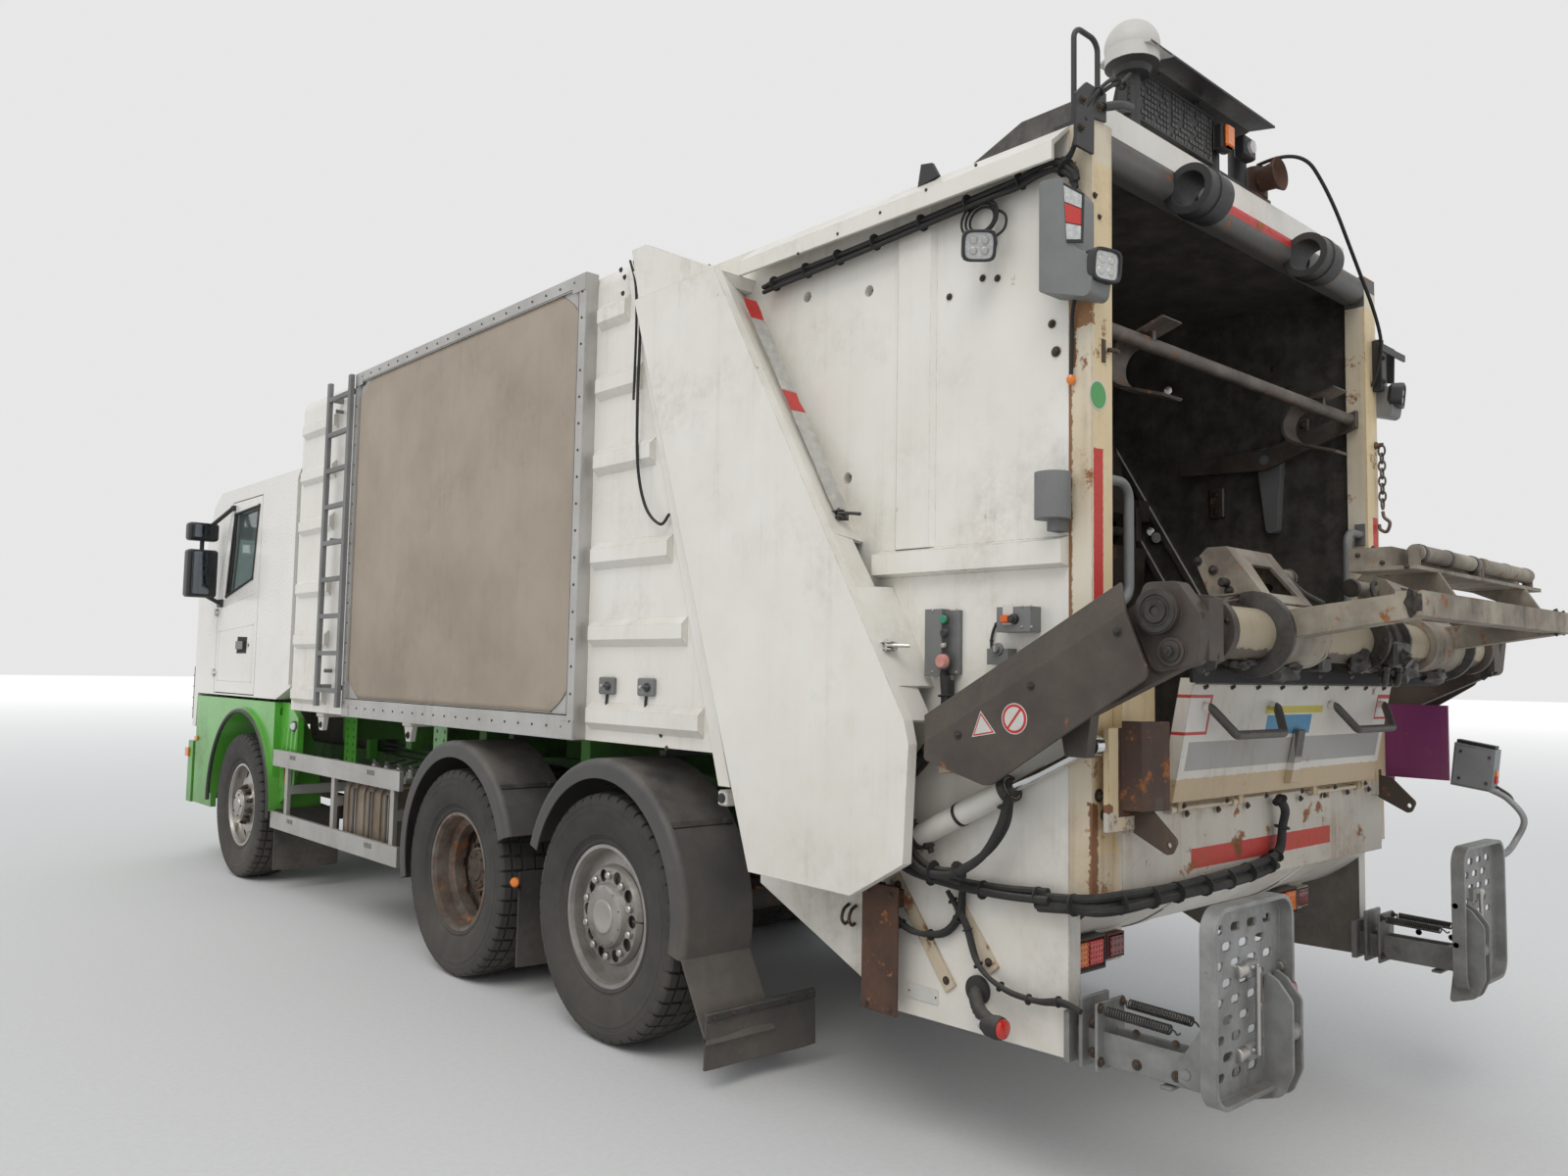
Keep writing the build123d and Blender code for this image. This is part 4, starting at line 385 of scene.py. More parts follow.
# colour, second colour, roughness, and what lies over them
whiteLook = shade((0.8, 0.78, 0.725), (0.77, 0.735, 0.67), 0.36, coat=0.25, grime=0.38, grimeTop=1.9,
    streaks=0.3, grimeColour=(0.36, 0.31, 0.25), rust=0.1, rustScale=7.0, wear=0.6, bump=0.08, dust=0.35)
finishLooks = {
    # dark inside: painted shade over dirt on the load body's inner faces
    "bodyWhite": dict(whiteLook, dark=insideBody, darkColour=(0.085, 0.07, 0.056)),
    "whitePaint": whiteLook,
    # dark inside: painted shade over grime on the hopper's inner faces
    "gateWhite": shade((0.8, 0.78, 0.725), (0.76, 0.725, 0.65), 0.38, coat=0.2, grime=0.45, grimeTop=1.6,
        streaks=0.3, grimeColour=(0.31, 0.255, 0.2), rust=0.16, rustScale=6.0, wear=0.9,
        wearColour=(0.16, 0.08, 0.045), bump=0.12, dust=0.25, dark=insideGate,
        darkColour=(0.05, 0.045, 0.04)),
    "cabWhite": shade((0.8, 0.785, 0.74), (0.77, 0.745, 0.69), 0.28, coat=0.5, grime=0.3, grimeTop=1.9,
        streaks=0.12, grimeColour=(0.4, 0.36, 0.3), bump=0.04, dust=0.2, patches=(
        ((1.2012, -3.45, 1.64), (1.24, -3.24, 1.74), (0.02, 0.02, 0.021), 0.0),
        ((-1.24, -3.45, 1.64), (-1.2012, -3.24, 1.74), (0.02, 0.02, 0.021), 0.0),
    )),
    "creamPaint": shade((0.62, 0.52, 0.36), (0.7, 0.62, 0.48), 0.55, grime=0.6, grimeTop=2.2, streaks=0.7,
        grimeColour=(0.2, 0.13, 0.08), rust=0.42, rustScale=9.0, wear=1.0, wearColour=(0.19, 0.08, 0.035),
        bump=0.35),
    "framePosts": shade((0.66, 0.56, 0.4), (0.72, 0.66, 0.54), 0.5, grime=0.45, grimeTop=1.8, streaks=0.6,
        grimeColour=(0.24, 0.13, 0.06), rust=0.34, rustScale=7.0, wear=1.0, wearColour=(0.19, 0.08, 0.035),
        bump=0.3, patches=(
        # low corner, high corner, tone, chipping
        ((-1.052, 3.9, 1.05), (1.052, 3.96, 3.13), (0.72, 0.575, 0.35), 0.01),
        ((1.045, 3.8, 2.5), (1.07, 3.856, 3.14), (0.24, 0.11, 0.045), 0.045),
        ((1.045, 3.8, 1.4), (1.07, 3.842, 2.46), (0.26, 0.12, 0.05), 0.035),
        ((1.045, 3.8, 2.62), (1.07, 3.93, 2.8), (0.3, 0.15, 0.06), 0.07),
        ((1.03, 3.9, 0.88), (1.07, 3.97, 1.2), (0.2, 0.08, 0.035), 0.06),
        ((-0.952, 3.83, 3.13), (0.952, 4.0, 3.3), (0.1, 0.097, 0.092), 0.004),
        ((-0.32, 3.83, 3.203), (0.23, 4.0, 3.264), (0.52, 0.03, 0.03), 0.004),
        ((-1.07, 3.83, 3.2), (-0.952, 4.0, 3.3), (0.1, 0.097, 0.092), 0.01),
        ((1.0, 3.9, 1.79), (1.052, 3.92, 2.25), (0.56, 0.03, 0.025), 0.012),
        ((-1.052, 3.9, 1.79), (-1.0, 3.92, 2.25), (0.56, 0.03, 0.025), 0.012),
        ((-1.07, 3.925, 0.89), (1.07, 3.96, 1.175), (0.62, 0.59, 0.52), 0.03),
        ((-0.47, 3.93, 0.965), (0.555, 3.96, 1.03), (0.55, 0.03, 0.025), 0.006),
        ((-1.06, 3.951, 1.17), (-0.955, 4.22, 1.5), (0.21, 0.025, 0.15), 0.004),
        ((0.85, 3.953, 1.16), (1.0, 4.06, 1.46), (0.045, 0.022, 0.018), 0.006),
        ((0.93, 4.03, 1.16), (1.0, 4.07, 1.46), (0.28, 0.02, 0.02), 0.03),
        ((0.885, 3.951, 1.02), (0.915, 4.12, 1.22), (0.05, 0.045, 0.04), 0.004),
        ((-0.915, 3.951, 1.02), (-0.885, 4.12, 1.22), (0.05, 0.045, 0.04), 0.004),
    )),
    "flapWhite": shade((0.74, 0.72, 0.66), (0.66, 0.62, 0.55), 0.42, grime=0.35, grimeTop=1.9, streaks=0.5,
        grimeColour=(0.3, 0.24, 0.18), rust=0.22, rustScale=11.0, wear=1.0, wearColour=(0.15, 0.07, 0.04),
        bump=0.25, patches=(
        ((-0.72, 3.9, 1.285), (0.72, 4.2, 1.375), (0.36, 0.355, 0.34), 0.006),
        ((-0.8, 3.9, 1.14), (0.8, 4.2, 1.262), (0.55, 0.42, 0.26), 0.02),
        ((-0.177, 3.9, 1.456), (0.255, 4.2, 1.482), (0.55, 0.48, 0.06), 0.004),
        ((-0.1, 3.9, 1.385), (0.235, 4.2, 1.452), (0.03, 0.23, 0.42), 0.004),
        ((0.62, 3.9, 1.395), (0.76, 4.2, 1.52), (0.52, 0.03, 0.03), 0.004),
        ((0.632, 3.9, 1.405), (0.76, 4.2, 1.51), (0.74, 0.71, 0.67), 0.004),
        ((-0.76, 3.9, 1.425), (-0.64, 4.2, 1.52), (0.52, 0.03, 0.03), 0.004),
        ((-0.76, 3.9, 1.433), (-0.65, 4.2, 1.505), (0.74, 0.71, 0.67), 0.004),
        ((-0.8, 4.035, 1.26), (0.8, 4.2, 1.4), (0.05, 0.048, 0.046), 0.0),
        ((-0.8, 4.05, 1.25), (0.8, 4.2, 1.46), (0.05, 0.048, 0.046), 0.0),
        ((-0.8, 4.067, 1.25), (0.8, 4.2, 1.6), (0.05, 0.048, 0.046), 0.0),
    )),
    "roofBlack": shade((0.03, 0.03, 0.031), (0.05, 0.048, 0.046), 0.5, grime=0.2, wear=0.3,
        wearColour=(0.12, 0.11, 0.1), bump=0.2, dust=0.4, patches=(
        ((0.555, 3.7, 3.612), (0.745, 3.9, 3.78), (0.62, 0.6, 0.56), 0.006),
        ((-0.36, 3.66, 3.4), (-0.2, 3.9, 3.62), (0.1, 0.055, 0.035), 0.01),
        ((-0.1, 3.93, 3.2), (0.2, 4.1, 3.6), (0.05, 0.05, 0.05), 0.004),
    )),
    "lifterPaint": shade((0.46, 0.41, 0.32), (0.17, 0.14, 0.11), 0.6, secondScale=5.5, grime=0.95,
        grimeTop=2.8, streaks=0.6, grimeColour=(0.075, 0.06, 0.05), rust=0.36, rustScale=16.0, wear=1.0,
        wearColour=(0.07, 0.055, 0.05), bump=0.5, dust=0.4),
    "darkPlate": shade((0.07, 0.058, 0.05), (0.11, 0.09, 0.075), 0.55, secondScale=5.0, metal=0.35,
        streaks=0.4, grimeColour=(0.17, 0.13, 0.1), rust=0.25, rustScale=14.0, wear=0.8,
        wearColour=(0.2, 0.16, 0.13), bump=0.4, patches=(
        ((-0.998, 4.13, 1.6), (0.998, 4.36, 1.83), (0.4, 0.34, 0.245), 0.02),
        ((-0.998, 4.1, 1.56), (0.998, 4.4, 1.655), (0.13, 0.105, 0.08), 0.05),
    )),
    "wornSteel": shade((0.17, 0.145, 0.125), (0.09, 0.075, 0.065), 0.5, secondScale=8.0, metal=0.6, rust=0.35,
        rustScale=18.0, wear=0.8, wearColour=(0.3, 0.27, 0.24), bump=0.5, dust=0.3),
    "greenPaint": shade((0.1, 0.44, 0.035), (0.075, 0.36, 0.03), 0.3, coat=0.5, grime=0.75, grimeTop=1.1,
        streaks=0.15, grimeColour=(0.1, 0.11, 0.06), wear=0.5, bump=0.05, dust=0.25),
    "framePaint": shade((0.07, 0.28, 0.03), (0.05, 0.13, 0.03), 0.55, grime=1.0, grimeTop=1.7, streaks=0.5,
        grimeColour=(0.045, 0.04, 0.032), rust=0.2, wear=0.7, bump=0.3),
    "castIron": shade((0.075, 0.07, 0.062), (0.13, 0.105, 0.08), 0.75, metal=0.2, grime=0.6, rust=0.4,
        rustScale=12.0, wear=0.4, bump=0.8),
    "guardPlastic": shade((0.045, 0.046, 0.05), (0.065, 0.063, 0.062), 0.48, grime=0.55, grimeTop=1.4,
        streaks=0.35, grimeColour=(0.15, 0.125, 0.1), wear=0.3, wearColour=(0.16, 0.15, 0.14), bump=0.25,
        bumpScale=160.0, dust=0.3),
    "blackPlastic": shade((0.022, 0.022, 0.024), (0.035, 0.034, 0.033), 0.42, grime=0.2, wear=0.2,
        wearColour=(0.1, 0.1, 0.1), bump=0.15, bumpScale=220.0, dust=0.35),
    "aluminium": shade((0.56, 0.555, 0.54), (0.46, 0.45, 0.43), 0.42, metal=0.85, grime=0.35, grimeTop=1.5,
        streaks=0.35, grimeColour=(0.3, 0.27, 0.22), wear=0.4, wearColour=(0.7, 0.7, 0.68), bump=0.2,
        stretch=(1.0, 0.08, 1.0)),
    "greySteel": shade((0.22, 0.225, 0.225), (0.16, 0.16, 0.155), 0.55, metal=0.2, streaks=0.4, grime=0.3,
        rust=0.2, rustScale=14.0, wear=0.8, wearColour=(0.4, 0.39, 0.37), bump=0.25, dust=0.3),
    "ribbedSteel": shade((0.4, 0.36, 0.3), (0.25, 0.2, 0.15), 0.45, metal=0.75, grime=0.7, streaks=0.7,
        grimeColour=(0.16, 0.11, 0.07), rust=0.25, rustScale=6.0, bump=0.25),
    "galvanised": shade((0.36, 0.365, 0.36), (0.25, 0.25, 0.24), 0.55, secondScale=12.0, metal=0.55,
        grime=0.75, grimeTop=0.9, streaks=0.35, grimeColour=(0.11, 0.095, 0.08), rust=0.25, rustScale=14.0,
        wear=0.7, wearColour=(0.5, 0.5, 0.48), bump=0.35),
    "brightSteel": shade((0.6, 0.58, 0.55), (0.48, 0.46, 0.43), 0.28, metal=0.95, grime=0.25,
        grimeColour=(0.16, 0.13, 0.11), rust=0.06, rustScale=20.0, wear=0.3, wearColour=(0.8, 0.79, 0.77),
        bump=0.1),
    "rimTired": shade((0.5, 0.485, 0.46), (0.38, 0.35, 0.32), 0.42, secondScale=8.0, metal=0.7, grime=0.45,
        grimeColour=(0.05, 0.042, 0.035), rust=0.16, rustScale=9.0, wear=0.5, wearColour=(0.5, 0.48, 0.45),
        bump=0.4),
    "rimRusty": shade((0.15, 0.09, 0.06), (0.3, 0.27, 0.24), 0.7, secondScale=7.0, metal=0.3, grime=0.45,
        grimeColour=(0.03, 0.025, 0.02), rust=0.4, rustScale=12.0, bump=0.9),
    "chromeRod": shade((0.72, 0.72, 0.72), None, 0.14, metal=1.0, bump=0.03, grime=0.1,
        grimeColour=(0.08, 0.07, 0.06)),
    "cabTrim": shade((0.12, 0.115, 0.11), (0.16, 0.15, 0.14), 0.75, bump=0.4, bumpScale=240.0),
    "redLamp": shade((0.55, 0.02, 0.012), None, 0.18, coat=0.6, bump=0.3, bumpScale=90.0),
    "lampPlates": shade((0.72, 0.69, 0.62), (0.6, 0.55, 0.47), 0.45, grime=0.5, rust=0.3, rustScale=9.0,
        wear=0.7, wearColour=(0.16, 0.08, 0.045), patches=(
        ((-0.64, 3.702, 0.65), (0.91, 3.75, 0.76), (0.16, 0.012, 0.01), 0.0),
    )),
    "amberLamp": shade((0.85, 0.22, 0.015), None, 0.18, coat=0.6, bump=0.3, bumpScale=90.0),
    "rubber": shade((0.016, 0.016, 0.016), (0.026, 0.025, 0.024), 0.72, bump=0.35, bumpScale=120.0, dust=0.25,
        grime=0.3, grimeTop=0.8),
    "tyreRubber": shade((0.028, 0.027, 0.026), (0.045, 0.042, 0.038), 0.78, secondScale=9.0, grime=0.55,
        grimeTop=0.9, grimeColour=(0.105, 0.092, 0.078), bump=0.3, bumpScale=140.0),
    "dirtyNuts": shade((0.06, 0.05, 0.045), (0.12, 0.08, 0.055), 0.55, secondScale=30.0, metal=0.5, rust=0.3,
        rustScale=40.0, bump=0.3, edge=0.001),
    "dustyVinyl": shade((0.4, 0.335, 0.265), (0.3, 0.245, 0.19), 0.6, secondScale=1.3, grime=0.55,
        grimeTop=2.3, streaks=0.45, grimeColour=(0.22, 0.18, 0.14), bump=0.12, bumpScale=300.0, edge=0.001),
    "clearLens": shade((0.62, 0.63, 0.62), (0.42, 0.43, 0.43), 0.12, secondScale=60.0, metal=0.3, coat=0.8,
        bump=0.3, bumpScale=90.0, edge=0.001),
    "amberGlow": shade((0.9, 0.25, 0.02), (0.75, 0.13, 0.01), 0.2, secondScale=80.0, coat=0.6, bump=0.2,
        edge=0.001),
    "redGlow": shade((0.75, 0.03, 0.015), (0.5, 0.015, 0.01), 0.2, secondScale=80.0, coat=0.6, bump=0.2,
        edge=0.001),
    "brownLens": shade((0.22, 0.02, 0.018), (0.13, 0.012, 0.012), 0.25, secondScale=40.0, coat=0.5, bump=0.2,
        edge=0.001),
    "greenLens": shade((0.015, 0.24, 0.12), None, 0.3, coat=0.4, edge=0.001),
    "paleRed": shade((0.55, 0.22, 0.19), (0.62, 0.34, 0.3), 0.5, secondScale=30.0, bump=0.1, edge=0.001),
    "orangePlastic": shade((0.75, 0.13, 0.02), None, 0.42, edge=0.001, wear=0.2),
    "whitePlastic": shade((0.66, 0.65, 0.61), (0.5, 0.48, 0.44), 0.5, bump=0.1, edge=0.001),
    "redVinyl": shade((0.55, 0.03, 0.025), (0.42, 0.03, 0.025), 0.35, secondScale=12.0, streaks=0.3,
        grimeColour=(0.2, 0.12, 0.1), bump=0.1, edge=0.0005),
    "greenVinyl": shade((0.06, 0.3, 0.075), (0.09, 0.34, 0.1), 0.4, bump=0.05, edge=0.0005),
    "reflectGrey": shade((0.42, 0.42, 0.4), (0.6, 0.59, 0.55), 0.4, secondScale=24.0, metal=0.2, grime=0.4,
        grimeTop=4.0, grimeColour=(0.3, 0.27, 0.23), bump=0.2, edge=0.0005),
    "brownRubber": shade((0.1, 0.05, 0.03), (0.06, 0.032, 0.022), 0.8, secondScale=8.0, rust=0.35,
        rustScale=14.0, bump=0.5),
    "greasyBlack": shade((0.018, 0.016, 0.014), (0.05, 0.042, 0.034), 0.38, secondScale=22.0, bump=0.9,
        bumpScale=80.0, rust=0.12, rustScale=20.0),
    "springSteel": shade((0.07, 0.068, 0.065), (0.12, 0.11, 0.1), 0.5, secondScale=20.0, metal=0.7, bump=0.2,
        edge=0.001),
    "greyPlastic": shade((0.3, 0.32, 0.33), (0.24, 0.25, 0.25), 0.5, grime=0.3, grimeTop=2.0, bump=0.15,
        wear=0.3, edge=0.002),
    "ledCell": shade((0.045, 0.045, 0.045), (0.09, 0.085, 0.08), 0.35, secondScale=30.0, bump=0.4,
        bumpScale=200.0, edge=0.0006, dust=0.2),
    "smokedPlastic": shade((0.035, 0.037, 0.042), None, 0.16, coat=0.6, bump=0.03, dust=0.3),
    "mirrorGlass": shade((0.16, 0.18, 0.21), None, 0.06, metal=1.0, bump=0.02, edge=0.0005),
    "flapRubber": shade((0.028, 0.027, 0.026), (0.06, 0.054, 0.048), 0.75, secondScale=9.0, grime=0.8,
        grimeTop=0.6, grimeColour=(0.13, 0.115, 0.1), bump=0.3, bumpScale=90.0),
}
finishes = {name: paintFinish(name, **look) for name, look in finishLooks.items()}


def glassFinish(name, tint, rough):
    material, tree, shader = startMaterial(name)
    place = placeNode(tree)
    film = rampNode(tree, noiseNode(tree, place, 5.0, 6.0, 0.7), 0.4, 0.75, rough, rough + 0.1)
    joinNode(tree, mixNode(tree, rampNode(tree, noiseNode(tree, place, 2.0), 0.3, 0.7), tint,
        tuple(0.92 * part for part in tint)), shader.inputs["Base Color"])
    joinNode(tree, film, shader.inputs["Roughness"])
    shader.inputs["Transmission Weight"].default_value = 0.85
    shader.inputs["IOR"].default_value = 1.45
    return material


finishes["glass"] = glassFinish("glass", (0.5, 0.6, 0.58), 0.02)

nodeFinishes = {
    "bodyWhite": ["load_body"],
    "gateWhite": ["tailgate_shell", "side_covers", "lift_barrels"],
    "cabWhite": ["cab_shell", "door_left", "door_right"],
    "creamPaint": ["lift_brackets"],
    "framePosts": ["rear_frame"],
    "flapWhite": ["loading_flap"],
    "roofBlack": ["roof_gear"],
    "lifterPaint": ["tilt_frame"],
    "darkPlate": ["lift_arms"],
    "wornSteel": ["lid_opener", "packer_blade", "packer_carriage", "ejector_plate"],
    "greenPaint": ["bumper", "front_fenders"],
    "framePaint": ["chassis_frame"],
    "castIron": ["engine_block", "front_axle", "rear_axles", "knuckle_left", "knuckle_right"],
    "guardPlastic": ["rear_mudguards"],
    "blackPlastic": ["grille", "mirror_left", "mirror_right"],
    "aluminium": ["side_guards", "banner_frames"],
    "greySteel": ["ladder", "gate_fittings"],
    "ribbedSteel": ["tanks"],
    "galvanised": ["step_left", "step_right", "step_arms"],
    "brightSteel": ["rim_front_left", "rim_front_right"],
    "rimTired": ["rim_tag_left", "rim_tag_right"],
    "rimRusty": ["rim_drive_left", "rim_drive_right"],
    "chromeRod": ["lift_rods"],
    "cabTrim": ["cab_interior"],
    "lampPlates": ["rear_lamps"],
    "glass": ["windscreen", "door_glass_left", "door_glass_right", "front_lamps"],
    "rubber": ["tyre_" + axle + side for axle in ("front", "drive", "tag") for side in ("_left", "_right")],
}
for finishName, members in nodeFinishes.items():
    for member in members:
        slots = nodes[member].material_slots
        if not slots:
            nodes[member].data.materials.append(finishes[finishName])
        for place in slots:
            place.material = finishes[finishName]
print("finishes on the frame's nodes done")


# mesh helpers: a piece is gathered in one bmesh, then rides on its body
def bridgeRings(mesh, first, second, slot=0, closed=True):
    count = len(first)
    for number in range(count if closed else count - 1):
        after = (number + 1) % count
        mesh.faces.new((first[number], first[after], second[after], second[number])).material_index = slot


def addPrism(mesh, outline, depth, slot=0):
    depth = Vector(depth)
    low = [mesh.verts.new(point) for point in outline]
    high = [mesh.verts.new(Vector(point) + depth) for point in outline]
    bridgeRings(mesh, low, high, slot)
    mesh.faces.new(list(reversed(low))).material_index = slot
    mesh.faces.new(high).material_index = slot


def addPlate(mesh, x, outline, thick, slot=0):
    # an outline of Y and Z at one X
    addPrism(mesh, [(x, y, z) for y, z in outline], (thick, 0, 0), slot)


def addBlock(mesh, corner, opposite, slot=0, chamfer=0.0):
    (x0, x1), (y0, y1), (z0, z1) = (sorted(pair) for pair in zip(corner, opposite))
    if not chamfer:
        addPrism(mesh, [(x0, y0, z0), (x1, y0, z0), (x1, y1, z0), (x0, y1, z0)], (0, 0, z1 - z0), slot)
        return
    rings = []
    for z, inset in ((z0, chamfer), (z0 + chamfer, 0.0), (z1 - chamfer, 0.0), (z1, chamfer)):
        cut = inset + chamfer
        outline = [(x0 + cut, y0 + inset), (x1 - cut, y0 + inset), (x1 - inset, y0 + cut),
            (x1 - inset, y1 - cut), (x1 - cut, y1 - inset), (x0 + cut, y1 - inset), (x0 + inset, y1 - cut),
            (x0 + inset, y0 + cut)]
        rings.append([mesh.verts.new((x, y, z)) for x, y in outline])
    for first, second in zip(rings, rings[1:]):
        bridgeRings(mesh, first, second, slot)
    mesh.faces.new(list(reversed(rings[0]))).material_index = slot
    mesh.faces.new(rings[-1]).material_index = slot


def addSlab(mesh, front, back, slot=0):
    # two grids of points, and the edges that join them
    for sheet in (front, back):
        for first, second in zip(sheet, sheet[1:]):
            bridgeRings(mesh, first, second, slot, False)
    for end in (0, -1):
        bridgeRings(mesh, front[end], back[end], slot, False)
        bridgeRings(mesh, [line[end] for line in front], [line[end] for line in back], slot, False)


def axisFrame(axis):
    axis = Vector(axis).normalized()
    across = axis.orthogonal().normalized()
    return axis, across, axis.cross(across)


def addLathe(mesh, place, axis, profile, count=24, slot=0, turn=0.0):
    # profile: (distance along the axis, radius) pairs; a radius of 0 closes to a point
    axis, across, up = axisFrame(axis)
    place = Vector(place)
    rings = []
    for along, radius in profile:
        if radius == 0:
            rings.append([mesh.verts.new(place + axis * along)])
            continue
        angles = [turn + 2 * math.pi * number / count for number in range(count)]
        rings.append([mesh.verts.new(place + axis * along + across * (radius * math.cos(angle)) + up * (
            radius * math.sin(angle))) for angle in angles])
    for first, second in zip(rings, rings[1:]):
        if len(first) == 1 or len(second) == 1:
            ring, tip = (second, first[0]) if len(first) == 1 else (first, second[0])
            for number in range(count):
                mesh.faces.new((ring[number], ring[(number + 1) % count], tip)).material_index = slot
        else:
            bridgeRings(mesh, first, second, slot)
    for ring in (rings[0], rings[-1]):
        if len(ring) > 1:
            mesh.faces.new(ring).material_index = slot


def addBolt(mesh, place, axis, radius, slot=0, washer=True):
    height = radius * 0.8
    if washer:
        addLathe(mesh, place, axis, [(0, radius * 1.5), (radius * 0.22, radius * 1.5)], 16, slot)
    addLathe(mesh, place, axis, [(0, radius), (height, radius), (height * 1.2, radius * 0.8)], 6, slot,
        dice.uniform(0.0, 1.0))
    addLathe(mesh, place, axis, [(height, radius * 0.5), (height * 1.6, radius * 0.46)], 10, slot)


def ringSpots(place, radius, count, shift=0.0):
    # angles and places round an axle along X
    x, y, z = place
    angles = [2 * math.pi * (number + shift) / count for number in range(count)]
    return [(angle, Vector((x, y + radius * math.cos(angle), z + radius * math.sin(angle))))
        for angle in angles]


def smoothRoute(points, steps=8):
    # a smooth line through the points
    points = [Vector(point) for point in points]
    padded = [2 * points[0] - points[1]] + points + [2 * points[-1] - points[-2]]
    line = []
    for number in range(1, len(padded) - 2):
        a, b, c, d = padded[number - 1:number + 3]
        for step in range(steps):
            t = step / steps
            line.append(0.5 * (2 * b + (c - a) * t + (2 * a - 5 * b + 4 * c - d) * t * t + (
                3 * b - a - 3 * c + d) * t ** 3))
    return line + [points[-1]]


def addHose(mesh, points, radius, sides=10, slot=0, steps=8, ribs=0.0):
    line = smoothRoute(points, steps) if steps else [Vector(point) for point in points]
    across = None
    rings = []
    for number, spot in enumerate(line):
        before, after = line[max(number - 1, 0)], line[min(number + 1, len(line) - 1)]
        along = (after - before).normalized()
        across = along.orthogonal().normalized() if across is None else (
            across - along * across.dot(along)).normalized()
        up = along.cross(across)
        size = radius * (1 + ribs * (number % 2))
        rings.append([mesh.verts.new(spot + size * (
            across * math.cos(2 * math.pi * side / sides) + up * math.sin(2 * math.pi * side / sides)))
            for side in range(sides)])
    for first, second in zip(rings, rings[1:]):
        bridgeRings(mesh, first, second, slot)
    for ring in (rings[0], rings[-1]):
        mesh.faces.new(ring).material_index = slot


def finishPiece(mesh, name, body, looks, sharp=38.0):
    bmesh.ops.recalc_face_normals(mesh, faces=mesh.faces)
    data = bpy.data.meshes.new(name)
    mesh.to_mesh(data)
    mesh.free()
    data.shade_smooth()
    data.set_sharp_from_angle(angle=math.radians(sharp))
    for look in looks:
        data.materials.append(finishes[look])
    piece = bpy.data.objects.new(name, data)
    bpy.context.scene.collection.objects.link(piece)
    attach(piece, body)
    return piece


# tyres: an even profile with its grooves, cut into blocks round the tread
tyreShape = {
    "radius": 0.522, "half": 0.15, "bead": 0.2885, "pitches": 46, "sipe": 0.012, "groove": 0.013,
    "crown": 0.6, "ease": 0.0015, "centreSipe": 0.004, "lean": 0.1, "twin": 0.33,
    "ribs": ((0.129, 0.094), (0.084, 0.04), (0.03, -0.03), (-0.04, -0.084), (-0.094, -0.129)),
}
wheelRows = {
    "front_left": (1, -3.225, 1.215, 1), "front_right": (-1, -3.225, 1.215, 1),
    "drive_left": (1, 0.275, 1.245, 2), "drive_right": (-1, 0.275, 1.245, 2),
    "tag_left": (1, 1.63, 1.245, 1), "tag_right": (-1, 1.63, 1.245, 1),
}


def tyreProfile(shape):
    # (across, radius, depth that a cross cut takes)
    top, ease = shape["radius"], shape["ease"]
    wall = [(0.1045, shape["bead"], 0), (0.112, 0.297, 0), (0.1215, 0.303, 0), (0.1245, 0.312, 0),
        (0.121, 0.319, 0), (0.131, 0.338, 0), (0.134, 0.34, 0), (0.143, 0.368, 0), (0.1485, 0.395, 0),
        (0.1498, 0.418, 0), (0.1492, 0.44, 0), (0.1498, 0.442, 0), (0.1498, 0.446, 0), (0.1482, 0.448, 0),
        (0.1465, 0.466, 0), (0.148, 0.469, 0), (0.1465, 0.474, 0.001), (0.1425, 0.49, 0.004),
        (0.1375, 0.503, 0.008)]
    tread = []
    for outer, inner in shape["ribs"]:
        start, end = (top - shape["crown"] * place ** 2 for place in (outer, inner))
        deep = shape["centreSipe"] if outer == -inner else shape["sipe"]
        tread += [(outer, start - shape["groove"], 0), (outer, start - ease, deep),
            (outer - ease, start, deep), (inner + ease, end, deep), (inner, end - ease, deep),
            (inner, end - shape["groove"], 0)]
    return wall + tread[1:-1] + [(-across, radius, deep) for across, radius, deep in reversed(wall)]


def addTyre(mesh, centre, shape):
    profile = tyreProfile(shape)
    columns = []
    for pitch in range(shape["pitches"]):
        for part, cut in ((0.0, 0), (0.8, 0), (0.83, 1), (0.97, 1)):
            columns.append((2 * math.pi * (pitch + part) / shape["pitches"], cut))
    rings = []
    for angle, cut in columns:
        ring = []
        for across, radius, deep in profile:
            lean = shape["lean"] * across if deep > shape["centreSipe"] else 0.0
            size = radius - deep * cut
            ring.append(mesh.verts.new((centre[0] + across, centre[1] + size * math.cos(angle + lean),
                centre[2] + size * math.sin(angle + lean))))
        rings.append(ring)
    for number, ring in enumerate(rings):
        bridgeRings(mesh, ring, rings[(number + 1) % len(rings)])


def makeTyres():
    for wheel, (side, axle, face, count) in wheelRows.items():
        mesh = bmesh.new()
        for number in range(count):
            addTyre(mesh, (side * (face - tyreShape["half"] - tyreShape["twin"] * number), axle,
                tyreShape["radius"]), tyreShape)
        piece = finishPiece(mesh, "treadTyre_" + wheel, "wheel_" + wheel, ["tyreRubber"], 30.0)
        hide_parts("tyre_" + wheel)


# nuts, studs, hub ends and valves: the disc's place from the tyre's face, and the rings of nuts and bolts
wheelShape = {
    "single": -0.08, "twin": -0.21, "nuts": 10, "open": (0.128, 0.012), "covered": (0.117, 0.054),
    "coverRing": 0.168, "hubRing": 0.079, "hub": 0.062,
}


